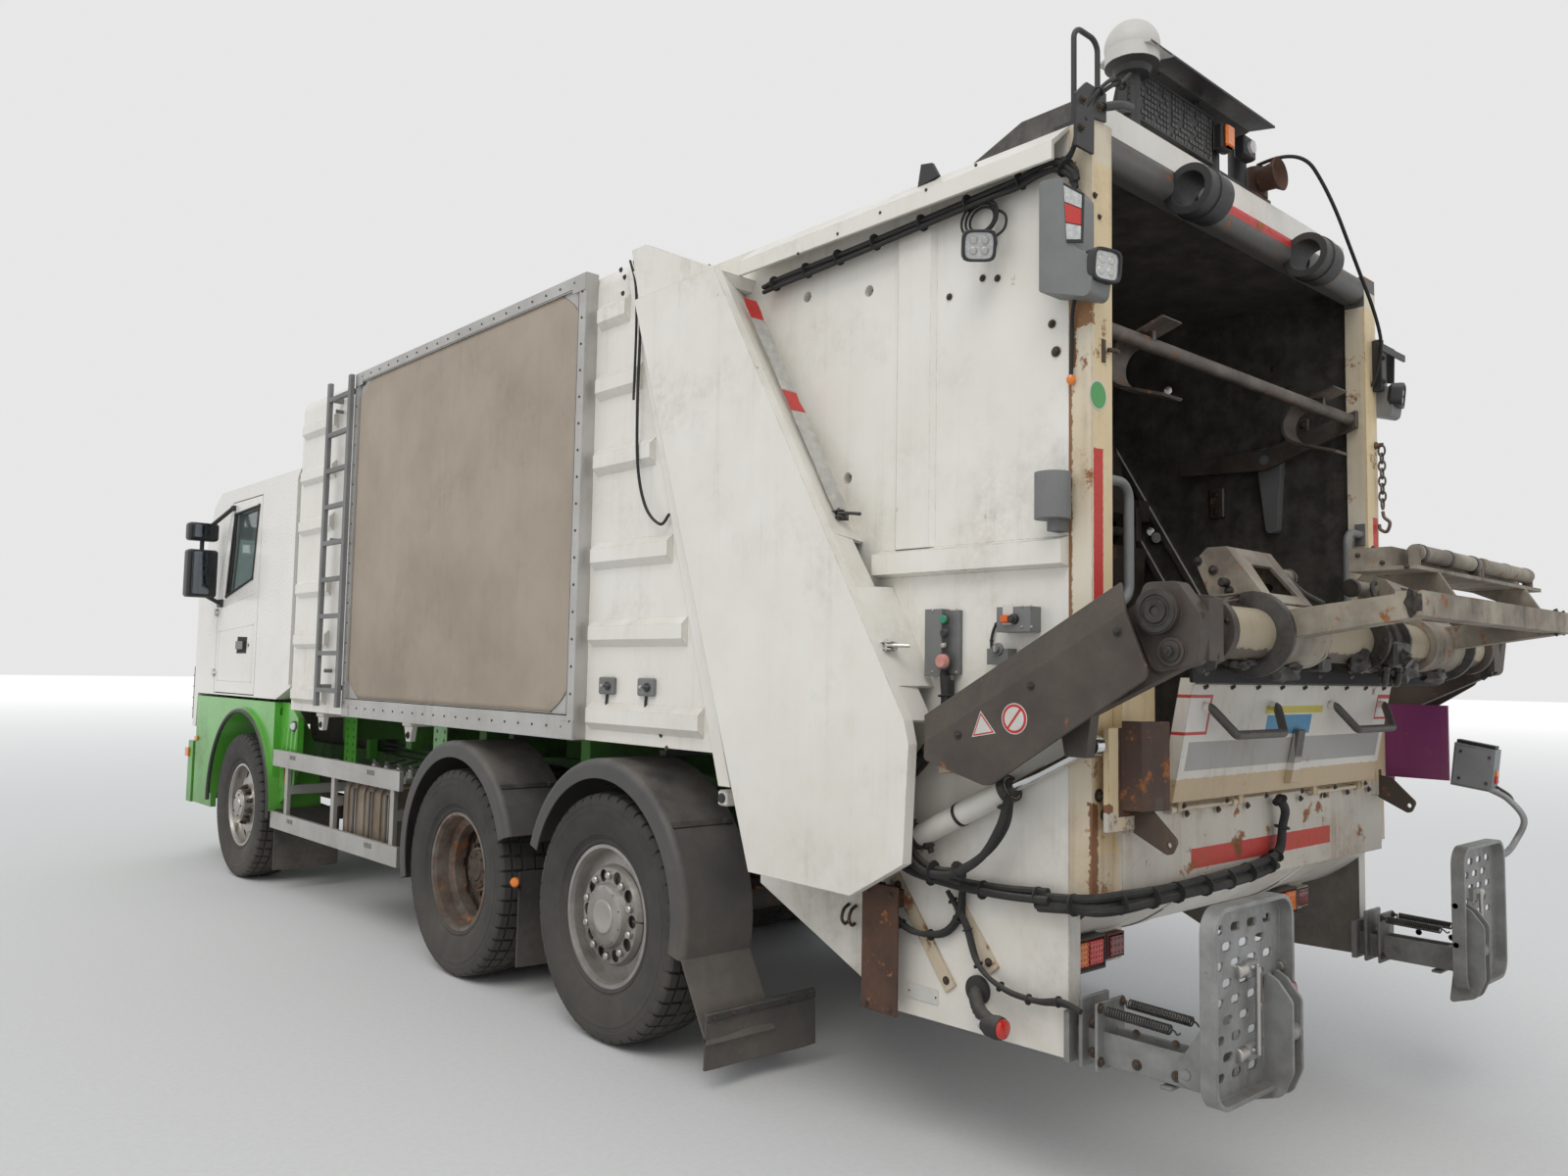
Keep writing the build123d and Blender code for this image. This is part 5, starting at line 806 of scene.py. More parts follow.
def makeWheelParts(shape):
    height = tyreShape["radius"]
    for wheel, (side, axle, face, count) in wheelRows.items():
        mesh = bmesh.new()
        covered = wheel.startswith("tag")
        disc = face + shape["single" if count == 1 else "twin"]
        ring, rise = shape["covered" if covered else "open"]
        for angle, spot in ringSpots((side * (disc + rise), axle, height), ring, shape["nuts"], 0.5):
            if covered:
                addLathe(mesh, spot - Vector((side * 0.004, 0, 0)), (side, 0, 0),
                    [(0, 0.006), (0.009, 0.005), (0.01, 0)], 8, 1)
                continue
            addLathe(mesh, spot, (side, 0, 0), [(0, 0.021), (0.004, 0.021)], 14, 1)
            addLathe(mesh, spot, (side, 0, 0),
                [(0.003, 0.0165), (0.026, 0.0165), (0.029, 0.013)], 6, 1, angle)
            addLathe(mesh, spot, (side, 0, 0), [(0.028, 0.0095), (0.04, 0.009), (0.041, 0)], 8, 1)
        if covered:
            # stainless cover: bright nuts through its edge and a pressed ring
            cover = (side * (disc + 0.026), axle, height)
            for angle, spot in ringSpots(cover, shape["coverRing"], shape["nuts"], 0.5):
                addLathe(mesh, spot, (side, 0, 0),
                    [(-0.002, 0.017), (0.016, 0.0165), (0.021, 0.012), (0.022, 0)], 12)
            addLathe(mesh, (side * (disc + 0.058), axle, height), (side, 0, 0),
                [(0, 0.072), (0.005, 0.07), (0.006, 0.058), (0.003, 0.05), (0.003, 0)], 32)
        else:
            hub = disc + shape["hub"]
            addLathe(mesh, (side * hub, axle, height), (side, 0, 0),
                [(-0.002, 0.1), (0.008, 0.098), (0.012, 0.09), (0.013, 0.06), (0.02, 0.055), (0.021, 0)], 32,
                0 if count == 1 else 1)
            bolts = 8 if count == 2 else 5
            for angle, spot in ringSpots((side * (hub + 0.01), axle, height), shape["hubRing"], bolts):
                addBolt(mesh, spot, (side, 0, 0), 0.008, 1, False)
        valve = [(side * (disc - 0.006), axle + 0.235, height), (side * (disc + 0.03), axle + 0.232, 0.53),
            (side * (disc + 0.05), axle + 0.205, 0.534)]
        addHose(mesh, valve, 0.0045, 8, 1)
        finishPiece(mesh, "wheelParts_" + wheel, "wheel_" + wheel,
            ["brightSteel" if not wheel.startswith("drive") else "rimRusty", "dirtyNuts"])


makeTyres()
makeWheelParts(wheelShape)
print("tyres and wheel parts done")


# banner sheets, pulled tight in their frames
bannerShape = {"front": -1.149, "rear": 1.359, "low": 1.356, "high": 3.294, "face": 1.2545, "corner": 0.07,
    "puff": 0.004, "across": 84, "upward": 62, "ripple": 0.0016, "sag": 0.0022, "cut": 1.86}


def makeBanner(side, name, shape):
    mesh = bmesh.new()
    midY, midZ = (shape["front"] + shape["rear"]) / 2, (shape["low"] + shape["high"]) / 2
    halfY, halfZ = (shape["rear"] - shape["front"]) / 2, (shape["high"] - shape["low"]) / 2
    grid = []
    for row in range(shape["upward"] + 1):
        line = []
        for column in range(shape["across"] + 1):
            u, v = 2 * column / shape["across"] - 1, 2 * row / shape["upward"] - 1
            inset = shape["corner"] * max(0.0, abs(u) + abs(v) - shape["cut"]) / (2 - shape["cut"])
            edge = (1 - u ** 6) * (1 - v ** 6)
            ripple = math.sin(26 * u + 3 * v) * v ** 4 + math.sin(22 * v + 2 * u) * u ** 4
            out = shape["puff"] * edge + shape["ripple"] * ripple * (1 - u ** 10) * (1 - v ** 10)
            out += shape["sag"] * edge * math.sin(3.1 * u + 1.0) * math.sin(2.3 * v)
            line.append(mesh.verts.new((side * (shape["face"] + out), midY + u * (halfY - inset * abs(v)),
                midZ + v * (halfZ - inset * abs(u) * 0.9))))
        grid.append(line)
    for row, after in zip(grid, grid[1:]):
        bridgeRings(mesh, row, after, 0, False)
    piece = finishPiece(mesh, name, "chassis", ["dustyVinyl"], 60.0)
    hem = piece.modifiers.new("thickness", "SOLIDIFY")
    hem.thickness = 0.0012
    hem.offset = 1.0
    return piece


rivetShape = [(-0.001, 0.0065), (0.0015, 0.006), (0.003, 0.003), (0.0032, 0)]


def makeBannerTrim(side, name):
    # clamp rails over the sheet's edge, corner plates, and a row of rivets along the outer edge
    mesh = bmesh.new()
    low, high, front, rear, outer = 1.25, 3.35, -1.205, 1.415, 1.2668
    for y in (front + 0.03, rear - 0.03):
        for number in range(17):
            addLathe(mesh, (side * outer, y, low + 0.08 + number * 0.121), (side, 0, 0), rivetShape, 8, 1)
    for z in (low + 0.055, high - 0.03):
        for number in range(20):
            addLathe(mesh, (side * outer, front + 0.1 + number * 0.1275, z), (side, 0, 0), rivetShape, 8, 1)
    for y0, y1, z0, z1 in ((front + 0.056, front + 0.063, low + 0.108, high - 0.058),
            (rear - 0.063, rear - 0.056, low + 0.108, high - 0.058),
            (front + 0.056, rear - 0.056, low + 0.105, low + 0.112),
            (front + 0.056, rear - 0.056, high - 0.064, high - 0.057)):
        addBlock(mesh, (side * 1.2515, y0, z0), (side * 1.266, y1, z1))
    for y in (front, rear):
        for z in (low, high):
            ySpan = (y, y + 0.115) if y == front else (y - 0.115, y)
            zSpan = (z, z + 0.085) if z == low else (z - 0.085, z)
            addBlock(mesh, (side * 1.2652, ySpan[0] + 0.004, zSpan[0] + 0.004),
                (side * 1.2684, ySpan[1] - 0.004, zSpan[1] - 0.004), 0, 0.001)
    finishPiece(mesh, name, "chassis", ["aluminium", "dirtyNuts"])


for side, title in ((1, "Left"), (-1, "Right")):
    makeBanner(side, "bannerSheet" + title, bannerShape)
    makeBannerTrim(side, "bannerTrim" + title)
print("banner sheets done")


# small parts are built round their own centre, then turned to face a direction
def addTurned(mesh, place, facing, build, roll=0.0):
    part = bmesh.new()
    build(part)
    turn = Vector(facing).to_track_quat("X", "Z").to_matrix().to_4x4() @ Matrix.Rotation(roll, 4, "X")
    bmesh.ops.transform(part, matrix=Matrix.Translation(place) @ turn, verts=part.verts)
    data = bpy.data.meshes.new("part")
    part.to_mesh(data)
    part.free()
    mesh.from_mesh(data)
    bpy.data.meshes.remove(data)


def addTies(mesh, points, radius, every, slot=0):
    line = smoothRoute(points)
    gone = every * 0.6
    for spot, after in zip(line, line[1:]):
        gone += (after - spot).length
        if gone > every:
            gone = 0.0
            along = (after - spot).normalized()
            addLathe(mesh, spot, along, [(-0.0025, radius), (-0.0025, radius + 0.002),
                (0.0025, radius + 0.002), (0.0025, radius)], 12, slot)


def addBundle(mesh, points, radius, offsets, slot=0, every=0.16):
    for shift in offsets:
        jitter = [Vector(point) + Vector(shift) + Vector([dice.uniform(-0.004, 0.004) for way in "xyz"])
            for point in points]
        addHose(mesh, jitter, radius, 8, slot, 6)
    middle = [Vector(point) + sum((Vector(shift) for shift in offsets), Vector()) / len(offsets)
        for point in points]
    spread = max((Vector(first) - Vector(second)).length for first in offsets for second in offsets)
    addTies(mesh, middle, radius + spread / 2, every, slot)


# cables along the tailgate's left wall, held by ties
wallCables = {
    "eaves": [(1.098, 2.46, 3.055), (1.098, 2.57, 3.063), (1.098, 2.99, 3.08), (1.098, 3.52, 3.103),
              (1.096, 3.66, 3.112), (1.09, 3.8, 3.125), (1.094, 3.868, 3.08), (1.1, 3.885, 3.036)],
    "roofTail": [(1.088, 3.8, 3.118), (1.094, 3.86, 3.145), (1.098, 3.905, 3.235), (1.04, 3.918, 3.33),
                 (0.95, 3.92, 3.4), (0.83, 3.87, 3.45), (0.72, 3.835, 3.53)],
    "corner": [(1.086, 3.395, 1.56), (1.095, 3.405, 1.45), (1.108, 3.39, 1.36), (1.098, 3.28, 1.26),
               (1.086, 3.17, 1.16), (1.084, 3.15, 1.03), (1.084, 3.22, 0.93), (1.086, 3.42, 0.9),
               (1.085, 3.62, 0.895), (1.088, 3.8, 0.91)],
    "low": [(1.078, 3.1, 0.86), (1.08, 3.14, 0.78), (1.082, 3.24, 0.722), (1.08, 3.37, 0.735),
            (1.078, 3.44, 0.8), (1.078, 3.452, 0.88)],
    "toStep": [(1.085, 3.4, 0.87), (1.084, 3.47, 0.78), (1.084, 3.52, 0.667), (1.086, 3.62, 0.615),
               (1.088, 3.74, 0.604), (1.092, 3.83, 0.622), (1.095, 3.9, 0.61)],
    "isolator": [(1.068, 3.63, 1.742), (1.068, 3.575, 1.735), (1.068, 3.55, 1.69), (1.068, 3.552, 1.64),
                 (1.068, 3.58, 1.615)],
    "plugTail": [(1.085, 3.872, 2.72), (1.074, 3.852, 2.66), (1.07, 3.847, 2.57), (1.07, 3.844, 2.475)],
}


def makeWallCables(routes):
    mesh = bmesh.new()
    addBundle(mesh, routes["eaves"], 0.0085,
        [(0, 0, 0), (0.012, 0, 0.013), (-0.002, 0, 0.024), (0.012, 0, -0.012)])
    addBundle(mesh, routes["roofTail"], 0.007, [(0, 0, 0), (0.01, 0.004, 0.008)], 0, 0.12)
    addBundle(mesh, routes["corner"], 0.013, [(0, 0, 0), (0.022, 0, 0.004), (0.006, -0.02, 0.02)], 0, 0.2)
    addBundle(mesh, routes["low"], 0.009, [(0, 0, 0), (0.014, 0, 0.006)], 0, 0.12)
    addBundle(mesh, routes["toStep"], 0.008, [(0, 0, 0), (0.012, 0.0, 0.006)], 0, 0.1)
    addHose(mesh, routes["isolator"], 0.0045, 8)
    addTies(mesh, routes["isolator"], 0.0045, 0.05)
    addHose(mesh, routes["plugTail"], 0.006, 8)
    addLathe(mesh, routes["plugTail"][-1], (0, 0, -1),
        [(0, 0.008), (0.012, 0.014), (0.022, 0.013), (0.03, 0.006)], 8, 1)
    # the spare cable, rolled up and hung from the run above, and its tail to the work lamp
    for turnNumber in range(3):
        size = 0.05 + 0.012 * turnNumber
        loop = [(1.086 + 0.007 * turnNumber, 3.515 + size * math.cos(angle),
            3.045 + 0.8 * size * math.sin(angle))
            for angle in (math.pi / 2 + 2 * math.pi * step / 14 for step in range(15))]
        addHose(mesh, loop, 0.0045, 7, 0, 3)
    addHose(mesh, [(1.086, 3.545, 3.08), (1.09, 3.61, 3.035), (1.1, 3.615, 2.985),
        (1.125, 3.585, 2.95)], 0.0045, 7)
    finishPiece(mesh, "gateWallCables", "tailgate", ["rubber", "amberLamp"])


def lampHead(part):
    # rounded square work lamp, facing along X
    depth = 0.03
    outline = []
    for way in range(32):
        angle = 2 * math.pi * way / 32
        cosine, sine = math.cos(angle), math.sin(angle)
        grow = (abs(cosine) ** 5 + abs(sine) ** 5) ** (-0.2)
        outline.append((0.055 * grow * cosine, 0.05 * grow * sine))
    rings = []
    for along, scale in ((-depth, 0.7), (-depth * 0.5, 0.97), (depth * 0.7, 1.0), (depth, 0.97),
            (depth, 0.84), (depth * 0.75, 0.8)):
        rings.append([part.verts.new((along, y * scale, z * scale)) for y, z in outline])
    for first, second in zip(rings, rings[1:]):
        bridgeRings(part, first, second)
    part.faces.new(rings[0]).material_index = 0
    part.faces.new(rings[-1]).material_index = 1
    for column in (-0.018, 0.018):
        for row in (-0.016, 0.016):
            addLathe(part, (0.021, column, row), (1, 0, 0), [(0, 0.014), (0.004, 0.011), (0.005, 0)], 12, 2)


def makeWorkLamps():
    mesh = bmesh.new()
    addTurned(mesh, (1.15, 3.552, 2.932), (0.62, 0.62, -0.34), lampHead)
    addHose(mesh, [(1.062, 3.53, 2.965), (1.1, 3.535, 2.955), (1.13, 3.54, 2.945)], 0.012)
    addLathe(mesh, (1.06, 3.53, 2.965), (1, 0, 0), [(0, 0.028), (0.006, 0.028), (0.01, 0.018)], 16)
    for side in (1, -1):
        addTurned(mesh, (side * 1.106, 3.972, 2.768), (side * 0.25, 0.95, -0.1), lampHead)
    finishPiece(mesh, "workLamps", "tailgate", ["blackPlastic", "clearLens", "brightSteel"])


postLamp = {"outline": ((3.884, 3.023), (3.946, 2.975), (3.942, 2.843), (3.894, 2.856)), "face": 1.158}


def makePostLamps(shape):
    mesh = bmesh.new()
    corners = [Vector((0, y, z)) for y, z in shape["outline"]]
    middle = sum(corners, Vector()) / 4
    for side in (1, -1):
        face = side * shape["face"]
        frame = [middle + (corner - middle) * 1.12 for corner in corners]
        addPlate(mesh, face - side * 0.002, [corner.yz for corner in frame], side * 0.008)
        top, tail, bottom, front = corners
        for low, high, slot in ((0.0, 0.3, 1), (0.32, 0.68, 2), (0.7, 1.0, 1)):
            panel = [top.lerp(front, low), tail.lerp(bottom, low), tail.lerp(bottom, high),
                top.lerp(front, high)]
            addPlate(mesh, face + side * 0.004, [corner.yz for corner in panel], side * 0.005, slot)
            for row in range(4):
                for column in range(4):
                    u, v = (column + 0.5) / 4, (row + 0.5) / 4
                    spot = panel[0].lerp(panel[1], u).lerp(panel[3].lerp(panel[2], u), v)
                    addLathe(mesh, (face + side * 0.009, spot.y, spot.z), (side, 0, 0),
                        [(0, 0.0045), (0.0015, 0)], 6, slot)
    finishPiece(mesh, "postLamps", "tailgate", ["blackPlastic", "clearLens", "redLamp"])


# push buttons, isolator, knob and their rings on the left wall's boxes
buttonRows = (
    # height, radius, length, slot of the cap
    (1.745, 0.0145, 0.012, 1), (1.701, 0.0135, 0.008, 0), (1.661, 0.0095, 0.01, 2),
    (1.609, 0.0235, 0.022, 3),
)


def makeSwitches(rows):
    mesh = bmesh.new()
    for height, radius, length, slot in rows:
        addLathe(mesh, (1.101, 3.385, height), (1, 0, 0),
            [(0, radius * 1.25), (0.004, radius * 1.25), (0.005, radius * 1.1)])
        addLathe(mesh, (1.104, 3.385, height), (1, 0, 0),
            [(0, radius), (length * 0.7, radius), (length, radius * 0.8), (length * 1.05, 0)], 24, slot)
    for y, z in ((3.335, 1.575), (3.435, 1.575), (3.335, 1.775), (3.435, 1.775)):
        addBolt(mesh, (1.1015, y, z), (1, 0, 0), 0.004, 2, False)
    addLathe(mesh, (1.085, 3.395, 1.563), (0, 0, -1),
        [(0, 0.016), (0.014, 0.016), (0.018, 0.012), (0.03, 0.012)], 10, 4)
    # isolator: orange handle over a black knob, on the grey box
    addBlock(mesh, (1.1145, 3.628, 1.722), (1.1185, 3.668, 1.784), 5, 0.002)
    addBlock(mesh, (1.118, 3.632, 1.728), (1.138, 3.66, 1.752), 6, 0.003)
    addLathe(mesh, (1.1145, 3.672, 1.74), (1, 0, 0),
        [(0, 0.017), (0.012, 0.015), (0.014, 0.01), (0.022, 0.01)], 18)
    for y, z in ((3.7, 1.715), (3.735, 1.715), (3.7, 1.778), (3.735, 1.778)):
        addBolt(mesh, (1.1145, y, z), (1, 0, 0), 0.004, 2, False)
    addLathe(mesh, (1.1055, 3.604, 1.648), (1, 0, 0),
        [(0, 0.02), (0.006, 0.019), (0.008, 0.013), (0.02, 0.012), (0.021, 0)], 18, 4)
    addBlock(mesh, (1.12, 3.602, 1.638), (1.128, 3.606, 1.658), 2, 0.001)
    finishPiece(mesh, "gateSwitches", "tailgate",
        ["blackPlastic", "greenLens", "brightSteel", "paleRed", "greySteel", "whitePlastic", "orangePlastic"])


def makeBodySwitches(places):
    # on the body side by the cover, each with a short lever
    mesh = bmesh.new()
    for y in places:
        addBlock(mesh, (1.199, y - 0.055, 1.455), (1.222, y + 0.055, 1.53), 4, 0.005)
        addLathe(mesh, (1.221, y + 0.02, 1.492), (1, 0, 0), [(0, 0.02), (0.008, 0.019), (0.01, 0.012)], 18)
        addBlock(mesh, (1.229, y + 0.004, 1.486), (1.24, y + 0.05, 1.498), 0, 0.003)
        addLathe(mesh, (1.221, y - 0.03, 1.492), (1, 0, 0), [(0, 0.008), (0.006, 0.007), (0.007, 0)], 12, 2)
        addHose(mesh, [(1.205, y - 0.01, 1.457), (1.206, y - 0.012, 1.42),
            (1.204, y - 0.012, 1.36)], 0.006, 8)
    finishPiece(mesh, "bodySwitches", "chassis",
        ["blackPlastic", "blackPlastic", "brightSteel", "blackPlastic", "greySteel"])


makeSwitches(buttonRows)
makeBodySwitches((1.595, 1.885))


def toggleLatch(part):
    # over-centre latch: base, lugs, lever and hook bar, along Y
    addBlock(part, (0, -0.035, -0.016), (0.005, 0.03, 0.016), 0, 0.001)
    for z in (-0.014, 0.009):
        addPrism(part, [(0.004, -0.02, z), (0.03, -0.014, z), (0.034, 0.0, z), (0.03, 0.014, z),
            (0.004, 0.022, z)], (0, 0, 0.005))
    addLathe(part, (0.024, -0.004, -0.02), (0, 0, 1), [(0, 0.006), (0.04, 0.006)], 10)
    addHose(part, [(0.026, -0.004, 0), (0.03, 0.03, 0.0), (0.022, 0.075, 0.0)], 0.0065, 8, 0, 4)
    addHose(part, [(0.018, -0.004, -0.012), (0.016, -0.05, -0.012), (0.016, -0.06, 0.0),
        (0.016, -0.05, 0.012), (0.018, -0.004, 0.012)], 0.0032, 7, 0, 4)


def makeLatches():
    mesh = bmesh.new()
    for y, z, facing, slot in ((2.945, 2.115, (0.75, 0.6, 0.28), 0), (3.235, 1.655, (0.85, 0.5, 0.1), 1)):
        before = len(mesh.faces)
        addTurned(mesh, (1.205 if slot else 1.15, y, z), facing, toggleLatch)
        mesh.faces.ensure_lookup_table()
        for face in mesh.faces[before:]:
            face.material_index = slot
    finishPiece(mesh, "coverLatches", "tailgate", ["blackPlastic", "brightSteel"])


# bolts and plugs on the tailgate's walls, posts and sill: place, facing, radius
gateBolts = (
    ((1.062, 3.5, 2.86), (1, 0, 0), 0.008), ((1.062, 3.56, 2.845), (1, 0, 0), 0.008),
    ((1.062, 3.735, 2.94), (1, 0, 0), 0.006), ((1.062, 3.77, 2.65), (1, 0, 0), 0.009),
    ((1.062, 3.785, 2.56), (1, 0, 0), 0.011), ((1.062, 3.36, 2.83), (1, 0, 0), 0.008),
    ((1.035, 3.911, 1.36), (0, 1, 0), 0.013), ((1.03, 3.911, 1.222), (0, 1, 0), 0.013),
    ((1.002, 3.911, 1.165), (0, 1, 0), 0.012), ((-1.03, 3.911, 1.36), (0, 1, 0), 0.012),
    ((-1.03, 3.911, 1.222), (0, 1, 0), 0.012), ((1.045, 3.911, 3.02), (0, 1, 0), 0.007),
    ((1.02, 3.911, 2.96), (0, 1, 0), 0.006),
)


def makeGateBolts(rows):
    mesh = bmesh.new()
    for place, facing, radius in rows:
        addBolt(mesh, place, facing, radius)
    for number in range(5):
        addLathe(mesh, (1.151, 2.7 + 0.21 * number, 3.128 + 0.018 * number), (1, 0, 0),
            [(-0.002, 0.006), (0.001, 0.006), (0.003, 0.003), (0.0035, 0)], 8)
    for number in range(9):
        addBolt(mesh, (-0.8 + 0.2 * number, 3.951, 1.145), (0, 1, 0), 0.008)
    # bracket with a pin on the left post
    addBlock(mesh, (0.992, 3.91, 2.515), (1.008, 3.916, 2.585), 0, 0.001)
    addHose(mesh, [(0.985, 3.918, 2.555), (0.96, 3.93, 2.555), (0.95, 3.93, 2.55)], 0.007, 8, 0, 2)
    # hooks under the wall
    for y in (2.93, 2.965):
        addHose(mesh, [(1.065, y, 0.76), (1.09, y, 0.745), (1.1, y, 0.715), (1.085, y, 0.695),
            (1.07, y, 0.7)], 0.006, 8, 0, 5)
    finishPiece(mesh, "gateBolts", "tailgate", ["dirtyNuts"])


# reflective strip down the cover's slanted hem: where each band begins and ends, and its slot
gateStrip = {
    "start": (0, 2.35, 3.13),
    "down": (0, 0.512, -0.859),
    "out": (0, 0.859, 0.512),
    "near": 1.104,
    "far": 1.184,
    "ragged": 0.012,
    "bands": ((0.13, 0.235, 1), (0.238, 0.29, 0), (0.292, 0.6, 0), (0.604, 0.7, 1), (0.703, 1.16, 0)),
}


def makeGateSigns(strip):
    # the strip, and a plain green disc on the post
    mesh = bmesh.new()
    start, down, out = Vector(strip["start"]), Vector(strip["down"]), Vector(strip["out"])
    for low, high, slot in strip["bands"]:
        steps = max(2, int((high - low) / 0.05))
        ragged = [dice.uniform(0.0, strip["ragged"]) for number in range(steps + 1)]
        rows = []
        for number in range(steps + 1):
            spot = start + down * (low + (high - low) * number / steps)
            near, far = strip["near"] + ragged[number], strip["far"] - ragged[-number - 1] * 0.5
            rows.append([Vector((near, 0, 0)) + spot, Vector((far, 0, 0)) + spot])
        under = [[mesh.verts.new(spot + out * 0.0008) for spot in row] for row in rows]
        over = [[mesh.verts.new(spot + out * 0.002) for spot in row] for row in rows]
        addSlab(mesh, under, over, slot)
    addLathe(mesh, (1.029, 3.9102, 2.41), (0, 1, 0), [(0, 0.045), (0.0012, 0.045), (0.0014, 0.041)], 40, 2)
    addLathe(mesh, (1.029, 3.9112, 2.41), (0, 1, 0), [(0, 0.0405), (0.0009, 0.0405), (0.001, 0)], 40, 3)
    finishPiece(mesh, "gateSigns", "tailgate", ["reflectGrey", "redVinyl", "whitePlastic", "greenVinyl"])
    # rusty plate that hangs under the wall
    plate = bmesh.new()
    addBlock(plate, (1.128, 3.062, 0.45), (1.14, 3.225, 0.87), 0, 0.004)
    for z in (0.84, 0.47):
        for y in (3.09, 3.195):
            addBolt(plate, (1.14, y, z), (1, 0, 0), 0.008, 1)
    addBlock(plate, (1.06, 3.1, 0.79), (1.13, 3.19, 0.85), 0, 0.004)
    finishPiece(plate, "hangingPlate", "tailgate", ["brownRubber", "dirtyNuts"])
    # side markers on their rubber stalks
    for side in (1, -1):
        stalk = bmesh.new()
        route = [(side * 1.06, 3.5, 0.585), (side * 1.095, 3.515, 0.575), (side * 1.13, 3.56, 0.545),
            (side * 1.14, 3.62, 0.52)]
        addHose(stalk, route, 0.02, 12, 0, 8, 0.12)
        addLathe(stalk, (side * 1.06, 3.5, 0.585), (side, 0, 0),
            [(0, 0.045), (0.012, 0.045), (0.02, 0.03)], 20)
        addLathe(stalk, (side * 1.14, 3.6, 0.515), (0, 1, 0),
            [(-0.02, 0.02), (0, 0.032), (0.035, 0.036), (0.05, 0.033)])
        addLathe(stalk, (side * 1.14, 3.649, 0.515), (0, 1, 0),
            [(0, 0.03), (0.012, 0.028), (0.018, 0.018), (0.02, 0)], 24, 1)
        addLathe(stalk, (side * 1.14, 3.582, 0.515), (0, -1, 0),
            [(0, 0.022), (0.01, 0.018), (0.012, 0)], 24, 2)
        finishPiece(stalk, "sideMarker" + ("Left" if side == 1 else "Right"), "tailgate",
            ["rubber", "redLamp", "clearLens"])


# rear lamp lenses: each with its own dots
lensRows = (
    # low x, high x, low z, high z, face y, slot, dots across, dots up
    (0.826, 0.898, 0.667, 0.745, 3.738, 1, 5, 5), (0.742, 0.82, 0.667, 0.745, 3.738, 2, 5, 5),
    (-0.613, -0.538, 0.667, 0.745, 3.738, 1, 5, 5), (-0.532, -0.457, 0.667, 0.745, 3.738, 2, 5, 5),
    (0.61, 0.692, 0.674, 0.74, 3.73, 3, 4, 3), (-0.741, -0.657, 0.674, 0.74, 3.73, 3, 4, 3),
)


def makeRearLenses(rows):
    mesh = bmesh.new()
    for x0, x1, z0, z1, face, slot, across, upward in rows:
        addBlock(mesh, (x0, face - 0.001, z0), (x1, face + 0.006, z1), slot, 0.003)
        for column in range(across):
            for row in range(upward):
                place = (x0 + (x1 - x0) * (column + 0.5) / across, face + 0.005,
                    z0 + (z1 - z0) * (row + 0.5) / upward)
                addLathe(mesh, place, (0, 1, 0), [(0, 0.0055), (0.003, 0.004), (0.004, 0)], 8, slot)
    for x0, x1 in ((0.735, 0.905), (-0.62, -0.45)):
        for z in (0.655, 0.753):
            addBlock(mesh, (x0 - 0.004, 3.7, z - 0.004), (x1 + 0.004, 3.745, z + 0.004), 0, 0.002)
        for x in (x0, x1):
            addBlock(mesh, (x - 0.004, 3.7, 0.656), (x + 0.004, 3.745, 0.752), 0, 0.002)
    finishPiece(mesh, "rearLenses", "tailgate", ["blackPlastic", "amberGlow", "redGlow", "brownLens"])
    cable = bmesh.new()
    addBundle(cable, [(0.05, 3.965, 0.945), (0.2, 3.968, 0.93), (0.42, 3.968, 0.917), (0.745, 3.968, 0.912),
        (1.0, 3.968, 0.915), (1.1, 3.94, 0.912), (1.105, 3.86, 0.905), (1.095, 3.74, 0.893)], 0.0135,
        [(0, 0, 0), (0, 0.006, 0.024), (0, 0.014, -0.01)], 0, 0.14)
    addBundle(cable, [(0.05, 3.965, 0.945), (-0.01, 3.966, 0.99), (-0.02, 3.97, 1.06), (-0.012, 3.985, 1.12),
        (0.02, 3.975, 1.165)], 0.0125, [(0, 0, 0), (0.024, 0.004, 0)], 0, 0.1)
    addHose(cable, [(0.745, 3.7, 0.7), (0.72, 3.69, 0.78), (0.76, 3.68, 0.86), (0.86, 3.68, 0.9)], 0.007, 8)
    finishPiece(cable, "sillHoses", "tailgate", ["rubber"])


makeWallCables(wallCables)
makeWorkLamps()
makePostLamps(postLamp)
makeLatches()
makeGateBolts(gateBolts)
makeGateSigns(gateStrip)
makeRearLenses(lensRows)
print("tailgate wall, lamps and cables done")


# the hopper's rounded underside, from the sill beam down and forward: Y and Z of its section
hopperBelly = {
    "line": [(3.924, 0.924), (3.86, 0.872), (3.77, 0.8), (3.66, 0.735), (3.52, 0.7), (3.34, 0.69),
             (3.14, 0.72), (2.95, 0.8), (2.8, 0.93), (2.74, 1.03)],
    "half": 0.9985, "thick": 0.005, "ribs": (-0.42, 0.42), "bolts": 12,
}


